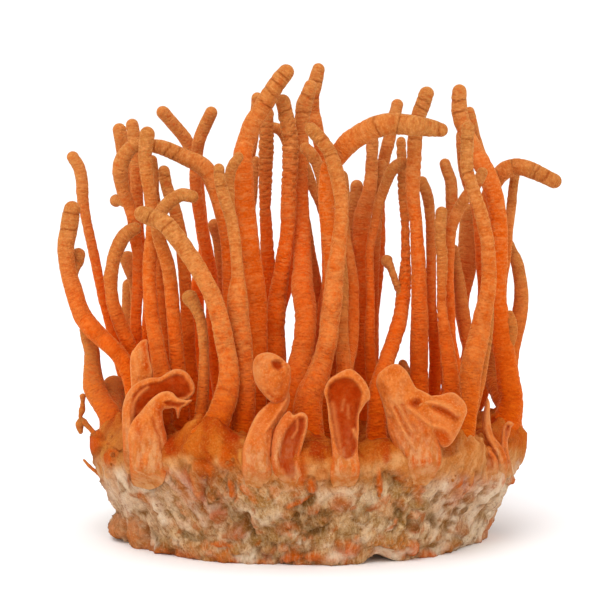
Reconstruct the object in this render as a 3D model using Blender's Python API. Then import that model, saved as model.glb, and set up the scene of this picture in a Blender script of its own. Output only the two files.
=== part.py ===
"""A cordyceps bunch: slender orange club stems on a round block of overgrown rice.

Lengths in the tables are millimetres. A row of a stem is (u, v, depth, width):
u to the right and v above the base as seen from the front, depth behind the
middle of the block, and the width of the stem there.
"""
import math

import bmesh
import bpy
import numpy as np
from mathutils import Vector
from mathutils.geometry import tessellate_polygon

MM = 0.001
GAP = 0.0003

# Block of rice, in metres
BLOCK_BASE_RADIUS = 0.0330
BLOCK_WAIST_RADIUS = 0.0350
BLOCK_TOP_RADIUS = 0.0390
BLOCK_HEIGHT = 0.0195
BLOCK_DOME = 0.0030
BLOCK_SIDES = 36
RIM_RISE = 0.0025
RIM_TILT = 0.0016

# Stems
STEM_SIDES = 7
THIN_STEM_SIDES = 6
THIN_STEM = 2.5
STEM_FLARE = 1.18
ROOT_DEPTH = 2.5
PATH_TOLERANCE = 0.39
OUTLINE_TOLERANCE = 0.22

# The line of sight that the rows were read along
SIGHT_TILT = math.radians(6.5)
SIGHT_DISTANCE = 600.0
SIGHT_HEIGHT = 42.3
SIGHT_SIDE = -0.9

STEM_ORANGE = (0.72, 0.155, 0.022, 1.0)
STEM_DEEP = (0.60, 0.085, 0.010, 1.0)
LOBE_TAN = (0.66, 0.27, 0.09, 1.0)
BLOCK_CREAM = (0.74, 0.55, 0.36, 1.0)

# Stems: where each is rooted on the block (x, y), and its rows from tip to foot
STEMS = {
    "stem_01_tall_leaning": {
        "root": (-9.5, -15.0),
        "rows": [
            (-2.5, 83.3, -9.0, 2.9), (-3.8, 81.7, -9.0, 3.1), (-5.0, 79.9, -9.0, 3.2),
            (-6.1, 78.1, -9.0, 3.4), (-7.3, 76.1, -9.0, 3.2), (-8.6, 73.8, -9.0, 3.4),
            (-9.6, 71.1, -9.0, 3.4), (-10.3, 68.4, -10.0, 3.6), (-10.3, 65.3, -10.0, 3.8),
            (-10.2, 61.2, -10.0, 4.0), (-9.6, 56.7, -10.0, 3.6), (-9.1, 52.2, -11.0, 3.6),
            (-8.6, 48.6, -11.0, 3.6), (-8.1, 45.0, -12.0, 3.6), (-7.7, 41.4, -12.0, 3.6),
            (-7.7, 36.0, -13.0, 3.6), (-7.9, 28.8, -14.0, 4.1),
        ],
    },
    "stem_02_behind_tall": {
        "root": (-6.0, 24.0),
        "rows": [
            (-7.7, 78.7, 14.0, 2.0), (-7.9, 75.6, 15.0, 2.2), (-8.6, 71.5, 16.0, 2.2),
            (-9.4, 66.6, 17.0, 2.3), (-9.7, 60.3, 18.0, 2.3), (-9.4, 53.1, 19.0, 2.3),
            (-8.5, 45.9, 20.0, 2.5), (-6.8, 36.9, 22.0, 2.7),
        ],
    },
    "stem_03_wrinkled": {
        "root": (-5.5, -10.0),
        "rows": [
            (-3.1, 78.1, -5.0, 2.5), (-2.7, 76.1, -5.0, 2.7), (-2.2, 74.2, -5.0, 2.7),
            (-1.8, 71.8, -5.0, 2.7), (-1.7, 69.3, -5.0, 2.9), (-1.8, 65.7, -5.0, 2.7),
            (-2.0, 62.1, -5.0, 2.7), (-2.1, 58.1, -5.0, 2.7), (-2.3, 54.0, -5.0, 2.5),
            (-2.9, 50.2, -5.8, 2.7), (-3.4, 46.6, -6.0, 2.9), (-4.0, 43.0, -6.0, 3.3),
            (-4.4, 39.4, -7.0, 3.6), (-4.7, 35.8, -7.0, 4.1), (-4.7, 32.2, -8.0, 4.5),
            (-4.5, 26.1, -9.0, 4.5),
        ],
    },
    "stem_04_straight": {
        "root": (-7.5, 2.0),
        "rows": [
            (-5.8, 76.1, 1.0, 2.0), (-6.0, 73.8, 1.0, 2.4), (-6.1, 69.3, 1.0, 2.6), (-6.2, 65.3, 1.0, 2.4),
            (-6.3, 61.7, 1.0, 2.2), (-6.3, 58.5, 1.0, 2.0), (-6.1, 54.9, 1.0, 2.2), (-5.9, 51.3, 1.0, 2.4),
            (-5.7, 48.4, 1.0, 2.4), (-5.8, 44.1, 1.0, 2.5), (-6.1, 38.7, 1.0, 2.7), (-6.5, 31.5, 2.0, 2.9),
        ],
    },
    "stem_05_back": {
        "root": (-2.5, 14.0),
        "rows": [
            (-4.9, 73.4, 8.0, 1.8), (-3.6, 72.9, 9.0, 2.0), (-2.4, 71.3, 10.0, 2.2),
            (-1.8, 68.4, 11.0, 2.2), (-1.9, 63.9, 12.0, 2.2), (-2.1, 57.6, 12.0, 2.2),
            (-1.7, 51.3, 13.0, 2.1), (-2.2, 45.5, 13.0, 2.2), (-3.6, 40.5, 13.0, 2.3),
            (-4.9, 34.2, 14.0, 2.5),
        ],
    },
    "stem_05b_back_thin": {
        "root": (-11.0, 7.0),
        "rows": [
            (-7.9, 67.5, 7.0, 1.4), (-8.2, 64.8, 7.0, 1.4), (-8.5, 61.2, 7.0, 1.6), (-9.0, 56.7, 7.0, 1.6),
            (-9.0, 50.4, 7.0, 1.8), (-8.5, 42.3, 7.0, 2.0), (-7.9, 34.2, 7.0, 2.2),
        ],
    },
    "stem_06_tallest_back": {
        "root": (4.0, 25.0),
        "rows": [
            (3.3, 83.8, 14.0, 2.3), (2.8, 81.7, 14.0, 2.7), (2.2, 79.2, 14.0, 2.7), (2.2, 76.5, 15.0, 2.7),
            (2.8, 74.2, 15.0, 2.5), (3.4, 71.1, 16.0, 2.3), (4.1, 67.5, 17.0, 2.3), (4.7, 62.1, 18.0, 2.3),
            (5.0, 54.9, 19.0, 2.3), (5.4, 47.7, 20.0, 2.5), (5.6, 38.7, 22.0, 2.7),
        ],
    },
    "stem_07_front_middle": {
        "root": (-4.0, -20.0),
        "rows": [
            (1.9, 80.8, -1.0, 2.3), (1.3, 79.0, -1.0, 2.7), (0.7, 77.2, -1.0, 2.9), (0.4, 75.1, -1.0, 2.7),
            (0.4, 72.5, -1.0, 2.3), (0.4, 70.0, -1.5, 2.2), (0.3, 66.6, -2.0, 2.2), (0.3, 62.1, -2.0, 2.3),
            (0.4, 58.1, -2.0, 2.5), (0.4, 54.5, -2.5, 3.0), (0.4, 51.3, -3.8, 3.1), (0.5, 47.7, -6.5, 3.4),
            (0.4, 45.0, -9.0, 3.9), (0.8, 42.3, -11.0, 3.9), (1.1, 39.6, -13.0, 3.8),
            (0.9, 36.0, -15.0, 3.8), (0.4, 32.4, -16.0, 4.1), (-0.5, 27.9, -18.0, 4.5),
            (-1.4, 23.4, -19.0, 4.7),
        ],
    },
    "stem_07b_forked_back": {
        "root": (3.0, 13.0),
        "rows": [
            (0.5, 59.4, 6.0, 1.6), (1.2, 55.3, 6.0, 1.8), (1.9, 50.9, 7.0, 1.8), (2.7, 46.6, 8.0, 2.0),
            (3.2, 42.7, 9.0, 2.2), (3.3, 38.7, 10.0, 2.3), (3.1, 33.3, 11.0, 2.5),
        ],
        "forks": [
            [
                (0.5, 67.5, 5.0, 1.8), (1.4, 65.3, 5.0, 1.8), (2.3, 62.6, 5.0, 1.8), (3.5, 59.8, 5.0, 1.6),
                (4.5, 56.5, 5.0, 1.8), (5.1, 51.3, 4.0, 2.0), (5.0, 45.0, 6.0, 2.3), (4.1, 39.1, 9.0, 2.3),
            ],
        ],
    },
    "stem_08_front_curved": {
        "root": (0.5, -28.0),
        "rows": [
            (2.0, 73.1, -16.0, 2.3), (3.2, 71.8, -16.0, 2.5), (4.3, 70.5, -17.0, 2.5),
            (5.4, 68.8, -17.0, 2.5), (6.2, 66.6, -18.0, 2.7), (6.8, 64.3, -18.0, 2.7),
            (7.3, 61.6, -19.0, 2.6), (7.5, 58.5, -20.0, 2.4), (7.3, 55.3, -21.0, 2.5),
            (7.0, 52.2, -21.0, 2.9), (6.6, 49.1, -22.0, 3.1), (6.2, 45.9, -22.0, 3.4),
            (5.9, 42.3, -23.0, 3.6), (5.4, 38.7, -23.0, 3.6), (5.0, 35.1, -24.0, 3.6),
            (4.1, 31.5, -24.0, 3.8), (2.9, 27.9, -25.0, 4.5), (1.4, 23.9, -26.0, 5.2),
        ],
    },
    "stem_09_bent_thin": {
        "root": (2.0, -12.0),
        "rows": [
            (1.0, 69.6, -7.5, 2.2), (2.0, 68.6, -7.5, 2.3), (3.0, 67.0, -7.0, 2.2), (3.8, 64.8, -7.0, 2.2),
            (4.3, 61.2, -7.0, 2.2), (4.7, 55.8, -7.0, 2.2), (5.0, 49.5, -8.0, 2.2), (5.0, 42.3, -9.0, 2.3),
            (4.0, 34.2, -10.0, 2.5),
        ],
    },
    "stem_10_long_arch": {
        "root": (4.0, -17.0),
        "rows": [
            (25.4, 72.9, -19.0, 2.5), (23.4, 73.3, -19.0, 3.1), (20.7, 73.7, -19.0, 3.6),
            (18.0, 74.0, -18.0, 3.7), (15.3, 73.9, -18.0, 3.9), (12.8, 73.1, -17.0, 3.9),
            (10.6, 71.9, -16.0, 3.8), (8.6, 70.4, -15.0, 3.8), (6.8, 68.2, -14.0, 3.4),
            (5.4, 66.1, -13.0, 3.1), (4.9, 63.5, -13.0, 2.9), (4.8, 60.3, -13.0, 2.9),
            (5.0, 55.8, -13.0, 2.7), (5.4, 50.9, -13.0, 2.5), (5.8, 45.5, -13.0, 2.5),
            (5.8, 38.7, -14.0, 2.7), (5.0, 30.6, -15.0, 3.1),
        ],
    },
    "stem_11_back_pair": {
        "root": (12.0, 18.0),
        "rows": [
            (17.5, 77.4, 4.0, 2.2), (17.1, 75.6, 4.0, 2.3), (16.4, 72.9, 5.0, 2.3), (15.8, 70.2, 5.0, 2.3),
            (15.1, 67.5, 6.0, 2.2), (14.7, 63.9, 7.0, 2.0), (14.3, 60.3, 7.0, 2.0), (14.2, 56.3, 8.0, 2.2),
            (14.2, 52.2, 8.0, 2.2), (13.9, 48.1, 9.0, 2.3), (13.5, 44.1, 10.0, 2.3),
            (13.0, 39.6, 12.0, 2.3), (12.9, 34.2, 14.0, 2.5),
        ],
        "forks": [
            [
                (14.8, 66.8, 3.5, 1.6), (14.5, 63.9, 3.5, 1.6), (14.2, 60.3, 3.5, 1.6),
                (13.9, 55.8, 3.5, 1.6), (13.6, 50.4, 4.5, 1.6), (13.4, 45.5, 7.0, 1.6),
                (13.1, 40.1, 11.0, 2.0),
            ],
        ],
    },
    "stem_12_tall_right": {
        "root": (20.5, -9.0),
        "rows": [
            (22.8, 79.4, -11.5, 2.7), (22.1, 77.4, -11.5, 2.8), (21.4, 75.6, -11.5, 2.8),
            (21.0, 73.4, -11.5, 2.8), (20.7, 71.1, -11.5, 2.7), (20.6, 68.4, -11.5, 2.7),
            (20.4, 65.3, -11.5, 2.7), (20.3, 62.1, -11.5, 2.5), (20.5, 59.4, -11.0, 2.4),
            (20.9, 56.3, -11.0, 2.3), (21.1, 52.7, -11.0, 2.4), (21.3, 49.1, -11.0, 2.6),
            (21.4, 45.0, -11.0, 2.7), (21.5, 38.7, -10.5, 3.1), (21.4, 34.2, -10.0, 3.2),
            (21.4, 27.9, -9.0, 3.2),
        ],
        "buds": [
            [
                (18.5, 30.8, -6.5, 1.6), (19.1, 29.2, -7.5, 2.0), (20.2, 27.2, -8.5, 2.3),
            ],
        ],
    },
    "stem_13_bumpy": {
        "root": (12.5, -19.0),
        "rows": [
            (18.2, 70.9, -5.5, 1.6), (18.3, 68.4, -5.5, 1.6), (18.4, 63.9, -5.5, 1.6),
            (18.6, 60.3, -6.0, 1.6), (18.9, 56.7, -6.5, 1.5), (19.0, 53.1, -7.0, 1.5),
            (19.0, 49.5, -7.0, 1.7), (18.9, 46.3, -7.0, 2.2), (18.6, 43.2, -7.5, 2.5),
            (18.2, 40.1, -9.5, 2.6), (17.6, 37.6, -11.5, 2.8), (16.7, 34.7, -13.0, 2.8),
            (15.8, 32.0, -15.0, 2.9), (14.8, 29.0, -17.0, 3.1), (13.9, 25.2, -18.0, 3.2),
        ],
        "buds": [
            [
                (15.6, 49.4, -8.0, 2.1), (16.3, 48.1, -8.0, 1.3), (16.9, 46.6, -8.0, 1.1),
                (17.4, 45.0, -8.0, 1.1), (18.4, 42.7, -8.0, 1.1),
            ],
        ],
    },
    "stem_14_swollen": {
        "root": (10.0, -3.0),
        "rows": [
            (13.1, 72.7, 1.0, 2.2), (13.0, 70.2, 1.0, 2.2), (12.9, 67.5, 1.0, 2.2), (12.8, 64.8, 1.0, 2.4),
            (12.5, 62.1, 0.0, 2.6), (11.9, 59.8, 0.0, 2.9), (11.2, 57.2, 0.0, 3.2), (11.1, 54.5, 0.0, 3.4),
            (11.0, 51.7, -1.0, 3.1), (11.3, 48.6, -1.0, 2.7), (11.6, 45.0, -2.0, 2.7),
            (11.5, 38.7, -2.0, 2.9), (11.2, 31.5, -3.0, 3.2),
        ],
    },
    "stem_15_thin_curved": {
        "root": (12.5, -10.0),
        "rows": [
            (18.4, 67.0, -9.0, 2.2), (17.1, 66.2, -8.5, 2.2), (16.2, 65.1, -8.0, 2.0),
            (15.5, 63.4, -7.0, 1.9), (14.8, 61.4, -6.0, 1.8), (14.2, 59.6, -5.5, 1.8),
            (13.8, 57.6, -5.0, 1.7), (13.3, 55.1, -5.0, 1.6), (12.8, 52.6, -5.0, 1.5),
            (12.5, 49.9, -5.5, 1.5), (12.6, 46.3, -6.0, 1.5), (12.7, 41.4, -7.0, 1.6),
            (12.6, 34.2, -9.0, 2.0),
        ],
    },
    "stem_16_back_short": {
        "root": (8.0, 9.0),
        "rows": [
            (10.2, 62.8, 7.0, 2.3), (10.0, 60.3, 7.0, 2.3), (9.5, 57.6, 7.0, 2.3), (9.0, 54.0, 7.0, 2.3),
            (9.0, 49.5, 7.0, 2.3), (9.4, 43.2, 7.0, 2.3), (9.7, 35.1, 8.0, 2.5),
        ],
    },
    "stem_18_thin": {
        "root": (22.5, 3.5),
        "rows": [
            (21.9, 63.5, -4.0, 2.2), (22.7, 61.9, -4.0, 2.0), (23.2, 59.8, -3.0, 2.0),
            (23.4, 57.6, -3.0, 1.8), (23.5, 54.9, -3.0, 1.7), (23.6, 51.3, -2.0, 1.8),
            (23.6, 45.9, -1.0, 1.8), (23.7, 40.5, 0.0, 1.8), (24.2, 35.1, 1.0, 2.2),
            (24.3, 28.8, 2.0, 2.4),
        ],
    },
    "stem_19_hooked_thin": {
        "root": (26.5, -2.5),
        "rows": [
            (26.1, 66.8, 0.0, 2.0), (26.6, 65.3, 0.0, 2.1), (27.2, 63.4, 0.0, 2.2), (27.3, 60.3, 0.0, 2.2),
            (27.2, 56.7, 0.0, 2.0), (26.8, 51.3, 0.0, 2.0), (26.5, 45.0, 0.0, 2.0),
            (26.4, 36.9, -1.5, 2.2), (26.5, 28.8, -2.5, 2.3),
        ],
    },
    "stem_20_front_short": {
        "root": (26.0, -17.0),
        "rows": [
            (25.5, 58.1, -13.0, 2.1), (25.3, 55.6, -13.0, 2.1), (25.3, 53.1, -13.0, 2.0),
            (25.6, 50.4, -13.0, 2.1), (25.6, 47.3, -13.0, 1.9), (25.5, 44.1, -13.0, 1.7),
            (25.5, 41.4, -13.0, 1.7), (25.8, 38.3, -14.0, 2.0), (26.3, 35.1, -14.0, 2.5),
            (26.8, 31.5, -15.0, 2.9), (27.3, 27.0, -16.0, 3.2),
        ],
    },
    "stem_21_curved_across": {
        "root": (28.0, -9.5),
        "rows": [
            (32.8, 65.2, -10.0, 2.0), (32.0, 63.5, -10.0, 2.0), (31.0, 62.1, -9.0, 2.1),
            (29.9, 60.8, -9.0, 2.2), (28.8, 59.0, -8.0, 2.2), (27.8, 56.9, -8.0, 2.2),
            (27.2, 54.7, -8.0, 2.0), (27.1, 52.0, -8.0, 1.7), (27.0, 49.1, -8.0, 1.6),
            (26.9, 45.5, -8.0, 1.6), (27.1, 41.9, -8.0, 1.6), (27.2, 38.3, -8.0, 1.6),
            (27.3, 34.7, -9.0, 1.8), (28.1, 28.8, -9.0, 2.5),
        ],
    },
    "stem_22_stout_right": {
        "root": (36.0, -4.5),
        "rows": [
            (28.7, 79.9, -2.0, 2.5), (28.6, 77.8, -2.0, 2.7), (28.8, 75.6, -2.0, 2.8),
            (29.5, 73.3, -2.0, 2.8), (30.4, 71.1, -2.0, 2.9), (31.5, 68.9, -2.0, 3.1),
            (32.6, 67.0, -3.0, 3.2), (33.7, 64.8, -3.0, 3.2), (34.5, 62.6, -3.0, 3.2),
            (35.2, 59.9, -3.0, 3.1), (35.7, 56.7, -3.0, 3.0), (35.9, 53.1, -3.0, 2.9),
            (35.9, 49.1, -3.0, 2.8), (35.7, 45.9, -3.0, 2.7), (35.8, 42.3, -3.0, 2.7),
            (36.1, 38.7, -3.0, 3.4), (36.4, 35.1, -3.0, 3.8), (37.0, 31.5, -3.0, 4.0),
            (37.5, 27.9, -3.5, 4.3), (38.0, 23.9, -4.0, 4.5), (38.4, 19.8, -4.3, 4.6),
        ],
        "buds": [
            [
                (37.8, 39.8, -3.0, 1.3), (38.1, 38.2, -3.5, 1.8), (38.2, 36.2, -3.5, 1.8),
                (37.4, 33.3, -3.0, 1.6),
            ],
        ],
        "forks": [
            [
                (35.5, 37.8, 5.0, 2.5), (35.5, 34.2, 5.0, 2.5), (35.1, 31.1, 5.0, 3.1),
                (34.9, 28.3, 4.5, 3.4), (35.8, 25.6, 2.5, 3.2), (37.1, 22.5, -1.0, 3.1),
            ],
        ],
    },
    "stem_22b_back_thin": {
        "root": (30.0, 20.0),
        "rows": [
            (29.0, 72.0, 12.0, 1.8), (29.1, 69.3, 12.0, 1.8), (29.4, 66.1, 13.0, 1.8),
            (30.2, 63.0, 14.0, 1.8), (31.3, 60.3, 15.0, 1.8), (32.0, 56.7, 15.0, 1.8),
            (32.4, 53.1, 14.5, 2.0), (32.7, 49.1, 14.5, 2.2), (33.1, 45.0, 14.5, 2.2),
            (32.9, 40.9, 15.0, 2.2), (32.6, 36.0, 16.0, 2.3), (32.4, 31.5, 17.0, 2.3),
        ],
    },
    "stem_23_front_right": {
        "root": (27.0, -25.0),
        "rows": [
            (30.2, 73.3, -18.0, 2.3), (30.1, 70.7, -18.0, 2.4), (30.0, 67.9, -18.0, 2.4),
            (30.1, 65.7, -18.0, 2.4), (30.6, 63.7, -18.5, 2.4), (31.2, 61.9, -18.5, 2.4),
            (31.9, 59.9, -19.0, 2.4), (32.5, 58.0, -19.0, 2.5), (33.1, 55.6, -19.0, 2.5),
            (33.7, 52.9, -19.0, 2.5), (33.9, 49.9, -19.0, 2.6), (34.0, 47.0, -19.0, 2.7),
            (33.8, 44.1, -20.0, 2.8), (33.3, 41.4, -20.0, 3.1), (32.7, 38.7, -20.0, 3.4),
            (32.1, 35.5, -21.0, 3.7), (31.3, 32.2, -22.0, 3.9), (30.7, 28.8, -22.0, 3.9),
            (30.6, 24.7, -23.0, 3.2), (30.1, 20.7, -24.0, 3.2), (29.4, 16.7, -25.0, 3.6),
        ],
        "forks": [
            [
                (34.2, 42.3, -14.0, 1.4), (34.1, 38.7, -14.5, 1.6), (33.7, 35.1, -16.0, 1.8),
                (33.1, 31.9, -18.0, 2.0), (32.4, 28.3, -20.0, 2.2), (31.5, 24.3, -22.0, 2.2),
            ],
        ],
    },
    "stem_24_back": {
        "root": (27.0, 25.5),
        "rows": [
            (30.5, 76.1, 4.0, 2.0), (30.9, 74.3, 4.0, 2.1), (31.3, 72.2, 6.0, 2.2), (32.0, 69.8, 7.0, 2.2),
            (32.9, 67.1, 9.0, 2.2), (34.0, 63.9, 10.0, 2.2), (34.6, 59.4, 11.5, 2.2),
            (34.9, 54.0, 14.0, 2.2), (34.9, 47.7, 18.0, 2.3), (34.4, 40.5, 20.0, 2.3),
            (33.7, 33.3, 22.0, 2.5),
        ],
    },
    "stem_25_bent_right": {
        "root": (29.5, 13.5),
        "rows": [
            (45.8, 63.7, 2.0, 2.6), (44.0, 64.6, 2.0, 2.7), (42.1, 65.5, 3.0, 2.9), (40.3, 66.1, 3.0, 3.0),
            (38.5, 66.2, 4.0, 3.1), (36.9, 65.6, 4.0, 3.1), (35.5, 64.2, 5.0, 3.0), (34.5, 62.3, 5.0, 2.9),
            (33.8, 59.9, 5.0, 2.7), (33.8, 56.7, 5.0, 2.5), (34.0, 52.2, 6.0, 2.5), (34.6, 46.8, 8.0, 2.5),
            (34.9, 40.5, 10.0, 2.5), (34.6, 34.2, 11.0, 2.5), (33.5, 28.8, 12.0, 2.7),
            (32.0, 23.9, 13.0, 2.7),
        ],
    },
    "stem_26_thin_right": {
        "root": (36.8, 5.6),
        "rows": [
            (38.9, 66.1, 8.0, 1.6), (38.6, 64.1, 8.0, 1.7), (38.3, 61.9, 8.0, 1.7), (38.1, 59.6, 8.0, 1.8),
            (37.8, 57.1, 7.0, 1.7), (37.5, 54.5, 6.0, 1.7), (37.3, 52.0, 6.0, 1.8), (37.0, 49.1, 6.0, 1.8),
            (36.5, 45.9, 6.0, 1.8), (36.4, 42.3, 6.5, 1.8), (36.7, 36.9, 8.0, 2.0), (37.4, 30.6, 8.0, 2.0),
            (37.8, 25.2, 7.0, 2.0),
        ],
    },
    "stem_27_far_right": {
        "root": (35.5, 11.2),
        "rows": [
            (37.6, 52.6, 12.0, 1.6), (38.2, 51.1, 12.0, 1.8), (39.0, 49.1, 11.0, 2.2),
            (39.5, 46.6, 11.0, 2.3), (39.8, 43.9, 10.0, 2.5), (39.7, 41.2, 10.0, 2.7),
            (39.3, 38.5, 10.0, 2.8), (38.7, 35.8, 10.5, 2.7), (38.1, 32.9, 11.0, 2.7),
            (37.9, 28.8, 11.0, 2.5), (38.0, 24.3, 10.8, 2.5),
        ],
    },
    "stem_29_thin_left": {
        "root": (-30.0, 4.0),
        "rows": [
            (-40.9, 68.0, -1.0, 2.2), (-39.8, 66.1, -1.0, 2.2), (-39.3, 63.9, -1.0, 2.2),
            (-39.2, 61.7, -1.0, 2.2), (-39.0, 59.6, -1.0, 2.0), (-38.5, 56.7, -1.0, 1.8),
            (-37.7, 53.1, -1.0, 1.8), (-36.9, 49.5, -1.0, 1.8), (-36.2, 45.9, -1.0, 1.7),
            (-35.4, 42.3, 0.0, 1.7), (-34.5, 39.1, 1.0, 1.8), (-33.5, 35.6, 2.0, 2.0),
            (-32.4, 31.5, 3.0, 2.3),
        ],
    },
    "stem_30_bowed_left": {
        "root": (-29.0, -14.0),
        "rows": [
            (-41.0, 58.7, -8.0, 2.9), (-41.3, 57.1, -8.0, 3.1), (-41.6, 54.9, -8.0, 3.1),
            (-42.1, 52.2, -8.0, 3.0), (-42.0, 49.5, -8.0, 2.9), (-41.5, 46.8, -8.0, 2.9),
            (-40.7, 44.1, -8.5, 3.1), (-39.9, 41.4, -9.0, 3.1), (-39.0, 39.3, -9.0, 3.3),
            (-37.5, 37.3, -10.0, 3.4), (-35.8, 35.6, -10.0, 3.2), (-34.1, 34.0, -11.0, 3.1),
            (-32.6, 32.4, -11.0, 3.1), (-31.3, 30.4, -12.0, 3.2), (-30.2, 27.7, -12.5, 3.4),
            (-29.5, 23.9, -13.0, 3.6),
        ],
        "buds": [
            [
                (-39.9, 50.4, -5.5, 2.6), (-40.0, 49.1, -5.5, 2.2), (-40.5, 47.7, -6.5, 1.6),
                (-41.0, 45.4, -8.0, 1.6),
            ],
        ],
    },
    "stem_32_back_left": {
        "root": (-24.0, 19.0),
        "rows": [
            (-32.5, 72.9, 6.0, 2.5), (-32.2, 71.1, 6.0, 2.5), (-31.7, 67.5, 7.0, 2.3),
            (-30.8, 63.9, 8.0, 2.3), (-29.9, 59.4, 10.0, 2.2), (-29.2, 54.0, 11.0, 2.2),
            (-28.1, 48.1, 12.0, 2.3), (-27.1, 42.7, 14.0, 2.3), (-27.2, 37.8, 15.0, 2.4),
            (-27.3, 32.4, 16.0, 2.5),
        ],
    },
    "stem_33_straight_left": {
        "root": (-25.0, 5.0),
        "rows": [
            (-30.2, 73.8, 0.0, 2.3), (-29.9, 72.0, 0.0, 2.3), (-29.6, 69.3, 0.0, 2.3),
            (-29.5, 65.7, 0.0, 2.3), (-29.4, 62.1, 0.0, 2.2), (-29.3, 58.5, 0.0, 2.2),
            (-29.2, 54.5, 0.0, 2.2), (-28.6, 50.4, 0.0, 2.2), (-27.7, 45.9, 1.0, 2.2),
            (-27.0, 41.4, 2.0, 2.2), (-26.3, 36.9, 3.0, 2.3), (-25.6, 31.5, 4.0, 2.5),
        ],
    },
    "stem_34_front_left": {
        "root": (-25.0, -20.0),
        "rows": [
            (-27.5, 72.2, -14.0, 2.7), (-27.8, 70.2, -14.0, 2.5), (-27.9, 67.9, -14.0, 2.4),
            (-27.7, 65.7, -14.0, 2.4), (-27.4, 63.5, -14.0, 2.3), (-27.0, 61.4, -14.0, 2.3),
            (-26.7, 58.9, -14.0, 2.3), (-26.5, 56.3, -14.0, 2.3), (-26.6, 53.8, -14.0, 2.4),
            (-26.9, 51.3, -14.0, 2.4), (-27.1, 48.6, -14.0, 2.4), (-27.1, 45.5, -14.5, 2.4),
            (-26.9, 42.3, -15.0, 2.5), (-26.6, 39.1, -15.0, 2.6), (-26.0, 35.6, -16.0, 2.7),
            (-25.4, 32.0, -17.0, 2.9), (-24.7, 27.9, -18.0, 3.2),
        ],
    },
    "stem_34b_thin": {
        "root": (-22.5, -6.5),
        "rows": [
            (-26.6, 67.5, -5.5, 1.8), (-26.3, 64.8, -6.0, 1.8), (-26.2, 61.7, -7.0, 1.8),
            (-25.7, 58.1, -8.0, 1.8), (-25.5, 54.0, -8.0, 1.8), (-25.5, 49.5, -8.0, 1.8),
            (-25.2, 44.1, -8.0, 2.0), (-24.7, 37.8, -8.0, 2.2), (-23.9, 30.6, -8.0, 2.5),
        ],
    },
    "stem_35_elbow_left": {
        "root": (-27.5, -3.0),
        "rows": [
            (-29.8, 70.2, -9.0, 2.5), (-31.0, 69.1, -9.0, 2.7), (-32.0, 67.5, -9.0, 2.8),
            (-32.4, 65.7, -9.0, 2.8), (-32.2, 63.9, -8.0, 2.6), (-31.7, 61.6, -7.0, 2.4),
            (-30.7, 59.2, -6.0, 2.2), (-30.0, 56.7, -6.0, 2.2), (-29.7, 53.8, -5.0, 2.2),
            (-29.2, 50.4, -5.0, 2.0), (-29.2, 46.8, -4.0, 2.0), (-29.3, 43.2, -4.0, 2.0),
            (-29.5, 39.6, -4.0, 2.0), (-29.5, 36.0, -4.0, 2.2), (-29.2, 30.6, -3.0, 2.5),
        ],
        "buds": [
            [
                (-33.1, 60.2, -3.5, 2.3), (-32.4, 60.3, -4.5, 2.0), (-31.1, 59.6, -6.0, 1.6),
            ],
        ],
    },
    "stem_37_bent_top": {
        "root": (-13.0, -6.0),
        "rows": [
            (-26.2, 70.0, -9.0, 2.5), (-24.7, 69.7, -9.0, 2.7), (-22.7, 68.9, -9.0, 2.8),
            (-20.5, 67.9, -9.0, 2.9), (-18.4, 66.9, -9.0, 3.1), (-16.7, 65.5, -9.0, 3.1),
            (-15.8, 63.4, -9.0, 2.8), (-14.9, 61.0, -9.0, 2.7), (-14.2, 58.3, -9.0, 2.6),
            (-13.5, 55.3, -8.5, 2.5), (-13.0, 52.0, -8.0, 2.5), (-12.8, 48.1, -8.0, 2.5),
            (-12.6, 43.2, -7.0, 2.7), (-12.2, 36.0, -7.0, 2.9),
        ],
    },
    "stem_38_front_sweep": {
        "root": (-17.5, -31.0),
        "rows": [
            (-28.4, 57.8, -22.0, 2.9), (-26.5, 57.1, -22.0, 3.1), (-24.5, 56.2, -22.5, 3.1),
            (-22.7, 54.2, -23.0, 3.2), (-20.6, 51.3, -23.0, 3.1), (-18.6, 48.3, -23.5, 3.1),
            (-17.0, 45.5, -24.0, 3.0), (-15.7, 42.8, -24.0, 3.1), (-14.8, 40.1, -24.5, 3.1),
            (-14.1, 37.3, -25.0, 3.3), (-13.5, 34.2, -25.0, 3.4), (-12.9, 31.1, -26.0, 3.4),
            (-12.8, 27.9, -27.0, 3.8), (-13.5, 24.3, -28.0, 4.3), (-14.9, 20.7, -29.0, 4.5),
            (-16.2, 17.5, -30.0, 4.9),
        ],
    },
    "stem_39_hooked": {
        "root": (-21.5, -16.0),
        "rows": [
            (-19.4, 60.9, -18.0, 2.3), (-21.1, 61.2, -18.0, 2.4), (-22.9, 60.4, -18.0, 2.4),
            (-24.4, 59.0, -18.0, 2.4), (-25.5, 57.2, -17.5, 2.3), (-25.7, 54.9, -17.0, 2.3),
            (-25.0, 52.2, -17.0, 2.4), (-24.0, 49.3, -16.5, 2.5), (-23.4, 45.9, -16.0, 2.5),
            (-23.0, 41.9, -16.0, 2.5), (-22.6, 36.9, -16.0, 2.5), (-22.1, 31.1, -16.0, 2.7),
        ],
    },
    "stem_40_slim": {
        "root": (-18.5, -8.0),
        "rows": [
            (-24.5, 65.5, -10.0, 2.1), (-24.1, 63.2, -10.0, 2.2), (-23.5, 61.2, -10.0, 2.2),
            (-22.7, 59.0, -10.0, 2.3), (-22.0, 56.3, -10.0, 2.3), (-21.4, 53.5, -10.0, 2.3),
            (-21.1, 50.2, -10.0, 2.3), (-20.8, 46.8, -10.0, 2.3), (-20.5, 42.3, -9.0, 2.3),
            (-20.2, 36.9, -9.0, 2.5), (-19.9, 30.6, -8.0, 2.7),
        ],
    },
    "stem_41_knobbed": {
        "root": (-11.0, -25.0),
        "rows": [
            (-14.6, 65.9, -20.0, 2.0), (-14.4, 63.9, -20.0, 2.1), (-14.0, 62.1, -20.0, 2.2),
            (-13.5, 60.3, -20.0, 2.2), (-12.9, 58.5, -20.0, 2.2), (-12.3, 56.5, -20.0, 2.2),
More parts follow.
